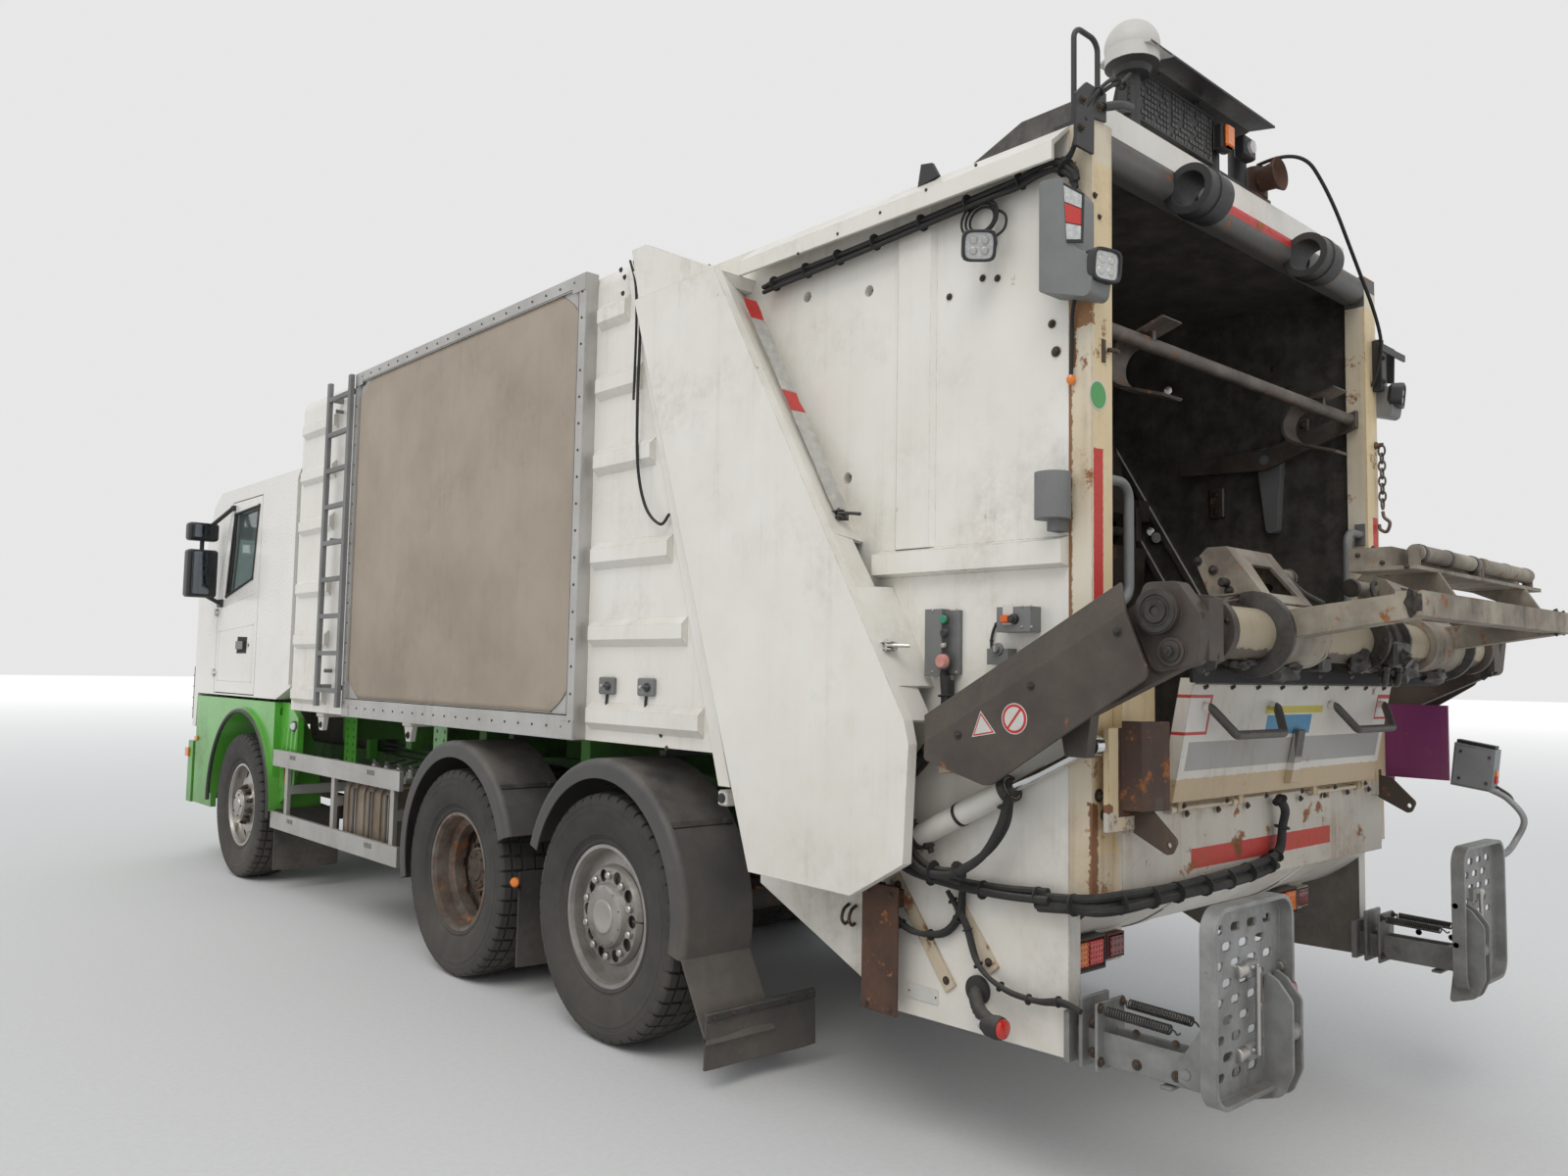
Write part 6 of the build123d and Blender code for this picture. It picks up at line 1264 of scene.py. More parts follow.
def makeBelly(shape):
    mesh = bmesh.new()
    line = smoothRoute([(0, y, z) for y, z in shape["line"]], 4)
    columns = [shape["half"] * (number / 12 - 1) for number in range(25)]
    outside = [[mesh.verts.new((x, point.y, point.z)) for point in line] for x in columns]
    inside = [[mesh.verts.new((x, point.y - 0.002, point.z + shape["thick"]))
        for point in line] for x in columns]
    addSlab(mesh, outside, inside)
    for x in shape["ribs"]:
        edges = []
        for across, drop in ((-0.034, 0.001), (-0.028, -0.005), (0.028, -0.005), (0.034, 0.001)):
            edges.append([mesh.verts.new((x + across, point.y, point.z + drop)) for point in line[3:-6]])
        for first, second in zip(edges, edges[1:]):
            bridgeRings(mesh, first, second, 0, False)
    for number in range(shape["bolts"]):
        addBolt(mesh, (-0.93 + 0.169 * number, 3.895, 0.898), (0, 0.63, -0.78), 0.009, 1)
    finishPiece(mesh, "hopperBelly", "tailgate", ["gateWhite", "dirtyNuts"])


# flat bars and a blank plate on the tailgate's lower sides: their ends in Y and Z, plate and its screws
barShape = {
    "face": 1.0602,
    "thick": 0.008,
    "halfWidth": 0.024,
    "bars": (((3.145, 0.885), (3.392, 0.565)), ((3.42, 0.835), (3.562, 0.655))),
    "plate": ((3.205, 0.5), (3.335, 0.548)),
    "screws": (3.213, 3.327),
}


def makeSideBars(shape):
    mesh = bmesh.new()
    face, thick = shape["face"], shape["thick"]
    low, high = shape["plate"]
    for side in (1, -1):
        for (y0, z0), (y1, z1) in shape["bars"]:
            along = Vector((0, y1 - y0, z1 - z0)).normalized()
            across = Vector((0, -along.z, along.y)) * shape["halfWidth"]
            first, last = Vector((side * face, y0, z0)), Vector((side * face, y1, z1))
            addPrism(mesh, [first + across, last + across, last - across, first - across],
                (side * thick, 0, 0))
            for end, step in ((first, 0.03), (last, -0.03)):
                addBolt(mesh, end + along * step + Vector((side * thick, 0, 0)), (side, 0, 0), 0.009, 1)
        addBlock(mesh, (side * face, *low), (side * 1.063, *high), 2, 0.0008)
        for y in shape["screws"]:
            addBolt(mesh, (side * 1.063, y, 0.524), (side, 0, 0), 0.003, 1, False)
    finishPiece(mesh, "sideBars", "tailgate", ["creamPaint", "dirtyNuts", "whitePlastic"])


makeBelly(hopperBelly)
makeSideBars(barShape)


def addLump(mesh, place, size, slot=0, rough=0.22):
    # greasy lump: a round form pushed in and out
    before = set(mesh.verts)
    made = bmesh.ops.create_icosphere(mesh, subdivisions=3, radius=1.0)
    phase = [dice.uniform(0, 6.3) for number in range(6)]
    for vert in made["verts"]:
        x, y, z = vert.co
        push = rough * (math.sin(4 * x + phase[0]) * math.sin(5 * y + phase[1]) + 0.7 * math.sin(
            7 * z + phase[2]) * math.sin(6 * x + phase[3]) + 0.35 * math.sin(15 * y + phase[4]) *
            math.sin(13 * z + phase[5]))
        spot = vert.co * (1 + push)
        vert.co = Vector(place) + Vector((spot.x * size[0], spot.y * size[1], spot.z * size[2]))
    for face in mesh.faces:
        if all(vert not in before for vert in face.verts):
            face.material_index = slot


def addSpring(mesh, start, end, radius, wire, turns, slot=0):
    start, end = Vector(start), Vector(end)
    axis, across, up = axisFrame(end - start)
    length = (end - start).length
    line = []
    for step in range(turns * 10 + 1):
        angle = 2 * math.pi * step / 10
        line.append(start + axis * (length * step / (turns * 10)) + across * (radius * math.cos(angle)) + up *
            (radius * math.sin(angle)))
    addHose(mesh, line, wire, 6, slot, 0)
    for spot, way in ((start, -1), (end, 1)):
        addHose(mesh, [spot + across * radius, spot + axis * (way * 0.012),
            spot + axis * (way * 0.024) + up * 0.008, spot + axis * (way * 0.03)], wire, 6, slot, 4)


# lifter: bosses, bolts, locks and hoses on the arms; plain signs on the guard
guardBolts = ((4.12, 1.689), (3.84, 1.538), (3.575, 1.385))


def makeArmParts(bolts):
    mesh = bmesh.new()
    for side in (1, -1):
        for y, z in bolts:
            addBolt(mesh, (side * 1.262, y, z), (side, 0, 0), 0.0085)
        # pressed rings on the hub boss and the stop boss
        hub = Vector((side * 1.2245, 4.21, 1.745))
        addLathe(mesh, hub, (side, 0, 0), [(0, 0.06), (0.004, 0.058), (0.004, 0.044), (0.001, 0.042),
            (0.001, 0.034), (0.006, 0.032), (0.006, 0.014), (-0.004, 0.012), (-0.004, 0)], 36)
        addLathe(mesh, (side * 1.209, 4.245, 1.638), (side, 0, 0), [(0, 0.03), (0.006, 0.028), (0.008, 0.02)])
        addBolt(mesh, (side * 1.215, 4.245, 1.638), (side, 0, 0), 0.016, 0, False)
        addLathe(mesh, (side * 1.193, 3.5, 1.32), (side, 0, 0), [(0, 0.04), (0.006, 0.038), (0.008, 0.022)])
        addBolt(mesh, (side * 1.199, 3.5, 1.32), (side, 0, 0), 0.014, 0, False)
        for angle, spot in ringSpots((side * 1.04, 4.24, 1.7), 0.082, 6, 0.3):
            addBolt(mesh, spot, (side, 0, 0), 0.0075, 0, False)
        addLump(mesh, (side * 1.1, 4.275, 1.64), (0.03, 0.045, 0.05), 1)
        addLump(mesh, (side * 0.6, 4.262, 1.598), (0.075, 0.04, 0.034), 1)
        addLump(mesh, (side * 0.8, 4.24, 1.618), (0.05, 0.03, 0.022), 1)
        addBlock(mesh, (side * 0.36 - 0.04, 4.2, 1.595), (side * 0.36 + 0.04, 4.29, 1.645), 1, 0.008)
        addBolt(mesh, (side * 0.36 + side * 0.042, 4.245, 1.62), (side, 0, 0), 0.014)
    # rotary drive in the middle of the torque tube, with its pipes
    addLathe(mesh, (-0.13, 4.262, 1.7), (1, 0, 0),
        [(0, 0.102), (0.02, 0.104), (0.022, 0.09), (0.1, 0.088), (0.102, 0.1), (0.12, 0.098), (0.122, 0.092),
        (0.17, 0.09), (0.172, 0.102), (0.19, 0.1)], 36)
    for angle, spot in ringSpots((0.06, 4.262, 1.7), 0.088, 10):
        addBolt(mesh, spot, (1, 0, 0), 0.008, 0, False)
    addBlock(mesh, (-0.1, 4.3, 1.615), (0.03, 4.372, 1.7), 1, 0.01)
    addLathe(mesh, (-0.035, 4.352, 1.655), (0, 0.8, -0.6),
        [(0, 0.03), (0.03, 0.03), (0.032, 0.022), (0.045, 0.02)], 20)
    for x in (-0.085, 0.02):
        addLathe(mesh, (x, 4.335, 1.618), (0, 0, -1),
            [(0, 0.014), (0.012, 0.014), (0.014, 0.01), (0.03, 0.01)], 6, 2)
        addHose(mesh, [(x, 4.335, 1.6), (x - 0.01, 4.325, 1.565), (x - 0.09, 4.295, 1.565),
            (x - 0.24, 4.262, 1.585), (x - 0.42, 4.25, 1.6), (-0.8, 4.236, 1.612),
            (-1.0, 4.21, 1.62)], 0.0115, 10, 3)
    addLump(mesh, (-0.24, 4.285, 1.615), (0.07, 0.045, 0.045), 1)
    addLump(mesh, (0.13, 4.29, 1.635), (0.05, 0.035, 0.04), 1)
    # stiff wires along the tube between the brackets
    for lift in (0.0, 0.018):
        addHose(mesh, [(0.98, 4.24, 1.778 + lift), (0.9, 4.235, 1.785 + lift),
            (0.75, 4.2, 1.8 + lift)], 0.005, 7)
    # dark rubber lip over the flap
    addBlock(mesh, (-0.95, 4.155, 1.556), (0.95, 4.167, 1.6), 3, 0.003)
    for number in range(8):
        addBolt(mesh, (-0.875 + 0.25 * number, 4.167, 1.586), (0, 1, 0), 0.007)
    finishPiece(mesh, "armParts", "lift_arms", ["wornSteel", "greasyBlack", "dirtyNuts", "rubber"])


def makeSigns():
    mesh = bmesh.new()
    for side in (1, -1):
        face = side * 1.2621
        corners = [(3.628, 1.382), (3.716, 1.398), (3.66, 1.462)]
        middle = Vector((0, sum(y for y, z in corners) / 3, sum(z for y, z in corners) / 3))
        for scale, lift, slot in ((1.0, 0.0, 0), (0.88, 0.0006, 1), (0.72, 0.0012, 0)):
            points = [middle + (Vector((0, y, z)) - middle) * scale for y, z in corners]
            addPlate(mesh, face + side * lift, [point.yz for point in points], side * 0.0007, slot)
        centre = (face, 3.783, 1.443)
        for radius, lift, slot in ((0.045, 0.0, 0), (0.042, 0.0006, 1), (0.034, 0.0012, 0)):
            addLathe(mesh, (face + side * lift, centre[1], centre[2]), (side, 0, 0),
                [(0, radius), (0.0007, radius), (0.0008, 0)], 40, slot)
        addTurned(mesh, (face + side * 0.0019, centre[1], centre[2]), (side, 0, 0),
            lambda part: addBlock(part, (0, -0.036, -0.0035), (0.0007, 0.036, 0.0035), 1), 0.9)
    finishPiece(mesh, "guardSigns", "lift_arms", ["whitePlastic", "redVinyl"])


# tilt frame: Y and Z of its bolts, X of the rollers
tiltShape = {
    "knobs": ((4.262, 1.638), (4.302, 1.645)),
    "plateBolts": ((4.11, 1.895), (4.06, 1.925), (4.16, 1.83), (4.185, 1.72)),
    "topBolts": (0.5, 0.65),
    "lipBolts": 8,
    "armBolts": ((4.468, 1.93), (4.535, 1.905), (4.6, 1.89)),
    "rollers": (0.05, 0.26, 0.47),
}


def makeTiltParts(shape):
    mesh = bmesh.new()
    for side in (1, -1):
        outer, inner = side * 0.7205, side * 0.4295
        for y, z in shape["knobs"]:
            addLathe(mesh, (outer, y, z), (side, 0, 0),
                [(0, 0.02), (0.012, 0.019), (0.016, 0.012), (0.017, 0)], 16, 1)
        for y, z in shape["plateBolts"]:
            addBolt(mesh, (outer, y, z), (side, 0, 0), 0.01)
            addBolt(mesh, (inner, y, z), (-side, 0, 0), 0.01)
        for x in shape["topBolts"]:
            addBolt(mesh, (side * x, 4.113, 1.962), (0, 0, 1), 0.009)
        # pivots with cotter pins between the plates
        addLathe(mesh, (side * 0.7, 4.15, 1.855), (side, 0, 0),
            [(-0.26, 0.014), (0.045, 0.014), (0.05, 0.01)], 14, 1)
        addLathe(mesh, (side * 0.3, 4.12, 1.9), (side, 0, 0),
            [(-0.06, 0.03), (-0.045, 0.034), (-0.04, 0.029)], 20, 1)
        addLathe(mesh, (side * 0.56, 4.24, 1.7), (side, 0, 0),
            [(0.165, 0.118), (0.17, 0.125), (0.185, 0.125), (0.19, 0.118)], 32, 1)
        for number in range(shape["lipBolts"]):
            addBolt(mesh, (side * (0.1 + 0.062 * number), 4.5, 1.9502), (0, 0, 1), 0.006, 0, False)
        for y, z in shape["armBolts"]:
            addBolt(mesh, (side * 0.5602, y, z), (side, 0, 0), 0.007, 0, False)
        for x in (0.6, 0.68):
            addLump(mesh, (side * x, 4.655, 1.782), (0.012, 0.02, 0.035), 2, 0.3)
        # roller ends and their worn bands
        for x in shape["rollers"]:
            addLathe(mesh, (side * x, 4.6, 1.935), (1, 0, 0),
                [(-0.012, 0.0245), (-0.01, 0.0265), (0.01, 0.0265), (0.012, 0.0245)], 20, 1)
        addHose(mesh, [(side * 0.44, 4.13, 1.93), (side * 0.36, 4.15, 1.91), (side * 0.3, 4.19, 1.85),
            (side * 0.26, 4.24, 1.812)], 0.009, 9, 3)
    finishPiece(mesh, "tiltParts", "tilt_frame", ["dirtyNuts", "lifterPaint", "greasyBlack", "rubber"])


# lift cylinders: clamp bands, ports, and the two hoses that loop under each barrel
cylinderLine = ((3.23, 1.01), (3.94, 1.37))


def makeCylinderParts():
    start, end = Vector((0, *cylinderLine[0])), Vector((0, *cylinderLine[1]))
    along = (end - start).normalized()
    mesh = bmesh.new()
    for side in (1, -1):
        shift = Vector((side * 1.105, 0, 0))
        for gone, radius, length in ((0.05, 0.043, 0.02), (0.25, 0.0385, 0.012), (0.452, 0.043, 0.028)):
            addLathe(mesh, start + along * gone + shift, along,
                [(0, 0.035), (0, radius), (length, radius), (length, 0.035)], 28, 1 if gone > 0.4 else 0)
        addLathe(mesh, start + along * 0.48 + shift, along,
            [(0, 0.032), (0.006, 0.031), (0.008, 0.02)], 24, 1)
        for gone in (0.09, 0.43):
            port = start + along * gone + shift + Vector((0, 0.45, -0.9)).normalized() * 0.034
            addLathe(mesh, port, (0, 0.45, -0.9),
                [(0, 0.014), (0.014, 0.014), (0.016, 0.011), (0.032, 0.011)], 6, 1)
            addLump(mesh, port + Vector((0, 0, -0.005)), (0.018, 0.02, 0.014), 2)
    for side in (1, -1):
        # the hoses run outboard of the barrel, up to the port on its head
        for shift in (0.0, 0.026):
            addHose(mesh, [(side * (1.125 + shift), 3.275, 1.095),
                (side * (1.14 + shift), 3.29, 1.0 - shift * 0.3),
                (side * (1.152 + shift), 3.37, 0.955 - shift * 0.4),
                (side * (1.155 + shift), 3.49, 0.962 - shift * 0.4),
                (side * (1.155 + shift), 3.6, 1.03 - shift * 0.5), (side * (1.152 + shift), 3.665, 1.11),
                (side * (1.138 + shift * 0.6), 3.672, 1.175), (side * 1.118, 3.652, 1.205)], 0.0125, 10, 3)
        ties = ((3.37, 0.95), (3.49, 0.957), (3.6, 1.024))
        addTies(mesh, [Vector((side * 1.168, y, z)) for y, z in ties], 0.03, 0.1, 3)
    finishPiece(mesh, "cylinderParts", "lift_barrels", ["gateWhite", "wornSteel", "greasyBlack", "rubber"])


makeArmParts(guardBolts)
makeSigns()
makeTiltParts(tiltShape)
makeCylinderParts()
print("lifter parts done")


# rider steps: springs on the fixed arms, bolts, latch rods; a control box on the right one
# steps: X of the springs, Y of the arm's bolts, Z of the blocks and pins on each step
stepShape = {
    "springs": (1.062, 0.945),
    "springRadius": 0.0125,
    "springTurns": 26,
    "armBolts": (3.9, 4.04, 4.16),
    "blocks": (0.56, 0.78),
    "pins": (0.62, 0.76),
    "sideBolts": 3,
}


def makeStepParts(shape):
    mesh = bmesh.new()
    for side in (1, -1):
        for x in shape["springs"]:
            addSpring(mesh, (side * x, 3.955, 0.622), (side * x, 4.155, 0.622 - 0.006), shape["springRadius"],
                0.0028, shape["springTurns"])
        addBlock(mesh, (side * 0.93, 3.872, 0.448), (side * 1.075, 3.884, 0.645), 1, 0.003)
        addBlock(mesh, (side * 0.93, 3.925, 0.448), (side * 1.075, 3.935, 0.64), 1, 0.003)
        for x in (0.945, 1.06):
            for z in (0.475, 0.625):
                addBolt(mesh, (side * x, 3.935, z), (0, 1, 0), 0.01, 2)
        for y in shape["armBolts"]:
            addBolt(mesh, (side * 1.0405, y, 0.49), (side, 0, 0), 0.01, 2)
            addBolt(mesh, (side * 1.0405, y, 0.575), (side, 0, 0), 0.008, 2)
        addBlock(mesh, (side * 1.0 - 0.05, 4.115, 0.448), (side * 1.0 + 0.05, 4.15, 0.458), 1, 0.002)
    finishPiece(mesh, "stepArmParts", "tailgate", ["springSteel", "galvanised", "dirtyNuts"])
    for side, title in ((1, "left"), (-1, "right")):
        part = bmesh.new()
        rod = side * 0.885
        for z in shape["blocks"]:
            addBlock(part, (rod - side * 0.035, 4.272, z - 0.022),
                (rod + side * 0.03, 4.305, z + 0.022), 0, 0.004)
            addLathe(part, (rod + side * 0.03, 4.288, z), (side, 0, 0),
                [(0, 0.02), (0.04, 0.02), (0.044, 0.014)], 18, 1)
            for x in (-0.015, 0.012):
                addBolt(part, (rod + x, 4.305, z + 0.008), (0, 1, 0), 0.006, 1, False)
        addLathe(part, (rod, 4.315, 0.555), (0, 0, 1), [(0, 0.007), (0.235, 0.007)], 10, 1)
        if side == 1:
            # round red lens behind the tread
            addLathe(part, (0.705, 4.318, 0.69), (0, 1, 0), [(0, 0.036), (0.008, 0.036), (0.01, 0.03)], 28, 2)
            addLathe(part, (0.705, 4.322, 0.69), (0, 1, 0), [(0, 0.031), (0.007, 0.028), (0.009, 0)], 28, 3)
        for z in shape["pins"]:
            addLathe(part, (side * 0.718, 4.292, z), (-side, 0, 0),
                [(0, 0.014), (0.03, 0.014), (0.033, 0.01)], 14, 1)
        for number in range(shape["sideBolts"]):
            addBolt(part, (side * 1.062, 4.262, 0.47 + 0.05 * number), (side, 0, 0), 0.008, 1)
        finishPiece(part, "stepParts_" + title, "step_" + title,
            ["galvanised", "brightSteel", "blackPlastic", "redLamp"])


controlRoute = ((-1.125, 4.3, 0.9), (-1.22, 4.305, 0.905), (-1.312, 4.312, 0.945), (-1.332, 4.338, 1.03),
    (-1.328, 4.285, 1.105), (-1.326, 4.215, 1.142))


def makeControlBox(route):
    mesh = bmesh.new()
    addHose(mesh, route, 0.0125, 12, 0, 10)
    addPlate(mesh, -1.363, ((4.085, 1.15), (4.235, 1.13), (4.255, 1.3), (4.105, 1.325)), 0.072, 1)
    addPlate(mesh, -1.369, ((4.095, 1.158), (4.228, 1.14), (4.246, 1.292), (4.112, 1.314)), 0.084, 1)
    addPlate(mesh, -1.348, ((4.108, 1.3255), (4.25, 1.3025), (4.252, 1.315), (4.11, 1.338)), 0.042, 2)
    addBlock(mesh, (-1.34, 4.2365, 1.165), (-1.315, 4.2495, 1.19), 3, 0.001)
    addBlock(mesh, (-1.34, 4.2395, 1.192), (-1.315, 4.2525, 1.215), 4, 0.001)
    addHose(mesh, [(-1.363, 4.1, 1.17), (-1.4, 4.07, 1.18), (-1.44, 4.09, 1.23), (-1.4, 4.14, 1.25),
        (-1.365, 4.13, 1.22)], 0.0045, 8, 5)
    for y, z in ((4.12, 1.18), (4.22, 1.165), (4.235, 1.27), (4.13, 1.29)):
        addBolt(mesh, (-1.285, y, z), (1, 0, 0), 0.006, 5, False)
    addHose(mesh, [(-1.345, 4.24, 1.15), (-1.345, 4.285, 1.12), (-1.342, 4.3, 1.09)], 0.006, 8, 2)
    finishPiece(mesh, "stepControlBox", "step_right",
        ["galvanised", "greyPlastic", "blackPlastic", "redVinyl", "amberLamp", "dirtyNuts"])


makeStepParts(stepShape)
makeControlBox(controlRoute)
print("step parts done")


# roof: lamp board cells, flasher, siren and brackets; the right post's arm
roofBoard = {"left": 0.125, "right": 0.685, "low": 3.445, "high": 3.607, "face": 3.804,
    "across": 28, "upward": 8}


def makeRoofParts(board):
    mesh = bmesh.new()
    wide = (board["right"] - board["left"]) / board["across"]
    tall = (board["high"] - board["low"]) / board["upward"]
    for column in range(board["across"]):
        for row in range(board["upward"]):
            if column == 14 or dice.random() < 0.22:
                continue
            x = board["left"] + wide * column
            z = board["low"] + tall * row
            addBlock(mesh, (x + 0.0025, board["face"] - 0.001, z + 0.003),
                (x + wide * dice.choice((0.85, 1.0)) - 0.0005, board["face"] + 0.0035, z + tall - 0.003))
    addBlock(mesh, (0.118, 3.8, 3.606), (0.692, 3.811, 3.616), 1, 0.002)
    addBlock(mesh, (0.118, 3.8, 3.436), (0.692, 3.811, 3.446), 1, 0.002)
    # amber flasher in its housing
    addBlock(mesh, (0.03, 3.795, 3.5), (0.1, 3.835, 3.6), 1, 0.008)
    addBlock(mesh, (0.036, 3.834, 3.508), (0.094, 3.852, 3.592), 2, 0.007)
    # left post's top bracket
    addPrism(mesh, [(1.156, 3.911, 3.14), (1.156, 3.911, 3.3), (1.1, 3.911, 3.352), (0.995, 3.911, 3.352),
        (0.995, 3.911, 3.262), (1.06, 3.911, 3.255), (1.062, 3.911, 3.14)], (0, 0.009, 0), 1)
    for x, z in ((1.13, 3.2), (1.03, 3.3), (1.12, 3.29)):
        addBolt(mesh, (x, 3.92, z), (0, 1, 0), 0.01, 3)
    addHose(mesh, [(1.02, 3.925, 3.3), (0.93, 3.93, 3.335), (0.85, 3.915, 3.36)], 0.014, 10, 1)
    # fin on the eaves
    addPlate(mesh, 1.075, ((3.235, 3.235), (3.33, 3.252), (3.3, 3.305), (3.25, 3.315)), 0.012, 1)
    # rusty siren and the bits round it
    addLathe(mesh, (-0.27, 3.8, 3.5), (0, 1, 0.05),
        [(0, 0.045), (0.05, 0.05), (0.075, 0.066), (0.078, 0.062), (0.05, 0.04), (0.045, 0)], 28, 4)
    addBlock(mesh, (-0.14, 3.8, 3.52), (-0.05, 3.845, 3.6), 1, 0.006)
    addLathe(mesh, (-0.095, 3.845, 3.56), (0, 1, 0),
        [(0, 0.026), (0.012, 0.024), (0.014, 0.016), (0.016, 0)], 20, 5)
    for x in (0.2, 0.34, 0.48, 0.62):
        addBolt(mesh, (x, 3.8, 3.652), (0, 0, -1), 0.006, 3, False)
    # arm on the right post, with its pin
    addBlock(mesh, (-1.262, 3.946, 2.945), (-0.985, 3.956, 2.975), 1, 0.002)
    addBlock(mesh, (-1.045, 3.911, 2.78), (-1.02, 3.95, 3.0), 1, 0.003)
    for z in (2.82, 2.92):
        addBolt(mesh, (-1.032, 3.95, z), (0, 1, 0), 0.009, 3)
    finishPiece(mesh, "roofParts", "tailgate",
        ["ledCell", "blackPlastic", "amberGlow", "dirtyNuts", "brownRubber", "clearLens"])


# chain on the post: links, pitch, and half height and half width of a link
chainShape = {"top": (-1.04, 3.935, 2.53), "links": 8, "pitch": 0.032, "tall": 0.022, "wide": 0.013}


def makeChain(shape):
    mesh = bmesh.new()
    tall, wide = shape["tall"], shape["wide"]
    x, y, top = shape["top"]
    for number in range(shape["links"]):
        spot = Vector((x, y, top - shape["pitch"] * number))
        ring = []
        for step in range(13):
            angle = 2 * math.pi * step / 12
            flat = wide * math.cos(angle)
            offset = Vector((flat, 0, 0)) if number % 2 else Vector((0, flat, 0))
            ring.append(spot + offset + Vector((0, 0, tall * math.sin(angle))))
        addHose(mesh, ring, 0.0042, 7, 0, 2)
    hook = [(-1.04, 3.935, 2.275), (-1.04, 3.94, 2.25), (-1.04, 3.962, 2.225), (-1.04, 3.95, 2.19),
        (-1.04, 3.925, 2.2), (-1.04, 3.92, 2.222)]
    addHose(mesh, hook, 0.007, 9, 0, 6)
    addLathe(mesh, (-1.04, 3.911, 2.555), (0, 1, 0),
        [(0, 0.016), (0.006, 0.016), (0.01, 0.009), (0.03, 0.009)], 12)
    finishPiece(mesh, "postChain", "tailgate", ["wornSteel"])


makeRoofParts(roofBoard)
makeChain(chainShape)


# things on the hopper's inner walls: a round lamp, hoses and the opener's brackets
# inside the hopper: a lamp, a bundle of hoses by its shifts, pads with their bolts in Y and Z
hopperShape = {
    "lamp": (2.93, 2.235),
    "hoseShifts": (0.0, 0.024, 0.046),
    "pads": (((3.2, 2.3), (3.27, 2.44)), ((3.55, 2.56), (3.66, 2.7))),
    "padBolts": ((3.235, 2.33), (3.235, 2.41), (3.575, 2.59), (3.635, 2.67), (3.6, 2.63)),
    "wallBolts": 5,
}
# the flap's two bolt rows: how many, the first one, and the step in X
flapShape = {
    "out": (0, 0.982, -0.19),
    "rows": ((9, (-0.68, 4.0605, 1.546), 0.17, 0.008), (6, (-0.68, 3.986, 1.178), 0.272, 0.007)),
}


def makeHopperParts(shape):
    mesh = bmesh.new()
    addLathe(mesh, (-0.9995, *shape["lamp"]), (1, 0, 0), [(0, 0.036), (0.012, 0.034), (0.016, 0.026)], 24, 2)
    addLathe(mesh, (-0.986, *shape["lamp"]), (1, 0, 0), [(0, 0.027), (0.006, 0.024), (0.009, 0)], 24, 3)
    for shift in shape["hoseShifts"]:
        addHose(mesh, [(0.985 - shift * 0.2, 3.3 + shift, 2.72), (0.97, 3.26 + shift, 2.6 - shift),
            (0.975, 3.34 + shift, 2.44), (0.985, 3.46 + shift, 2.3), (0.988, 3.56, 2.08 + shift),
            (0.99, 3.58 + shift, 1.86)], 0.0105, 9)
    for side in (1, -1):
        for low, high in shape["pads"]:
            addBlock(mesh, (side * 0.9995, *low), (side * 0.978, *high), 1, 0.005)
        for y, z in shape["padBolts"]:
            addBolt(mesh, (side * 0.978, y, z), (-side, 0, 0), 0.011, 4)
        for number in range(shape["wallBolts"]):
            addBolt(mesh, (side * 0.9995, 3.5 + 0.07 * number, 2.95 - 0.1 * number), (-side, 0, 0), 0.009, 4)
    finishPiece(mesh, "hopperParts", "tailgate",
        ["rubber", "wornSteel", "blackPlastic", "whitePlastic", "dirtyNuts"])


def makeFlapParts(shape):
    mesh = bmesh.new()
    for count, (x, y, z), step, radius in shape["rows"]:
        for number in range(count):
            addBolt(mesh, Vector((x + step * number, y, z)), Vector(shape["out"]), radius)
    finishPiece(mesh, "flapParts", "flap", ["dirtyNuts"])


makeHopperParts(hopperShape)
makeFlapParts(flapShape)


# the loose cable from the siren over to the right post
roofCable = {
    "route": [(-0.27, 3.785, 3.563), (-0.29, 3.94, 3.6), (-0.44, 3.99, 3.44), (-0.66, 3.995, 3.22),
              (-0.87, 3.99, 3.05), (-1.0, 3.965, 2.93), (-1.005, 3.916, 2.8)],
    "thick": 0.014, "long": 1.229,
}


def makeRoofCable(cable):
    line = bpy.data.curves.new("roofCable", "CURVE")
    line.dimensions = "3D"
    line.bevel_depth = cable["thick"] / 2
    line.bevel_resolution = 3
    line.resolution_u = 12
    line.use_fill_caps = True
    spline = line.splines.new("NURBS")
    spline.points.add(len(cable["route"]) - 1)
    for point, place in zip(spline.points, cable["route"]):
        point.co = (*place, 1.0)
    spline.use_endpoint_u = True
    spline.order_u = 3
    line.materials.append(finishes["rubber"])
    piece = bpy.data.objects.new("roofCable", line)
    bpy.context.scene.collection.objects.link(piece)
    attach(piece, "tailgate")


makeRoofCable(roofCable)
print("roof, hopper and flap parts done")


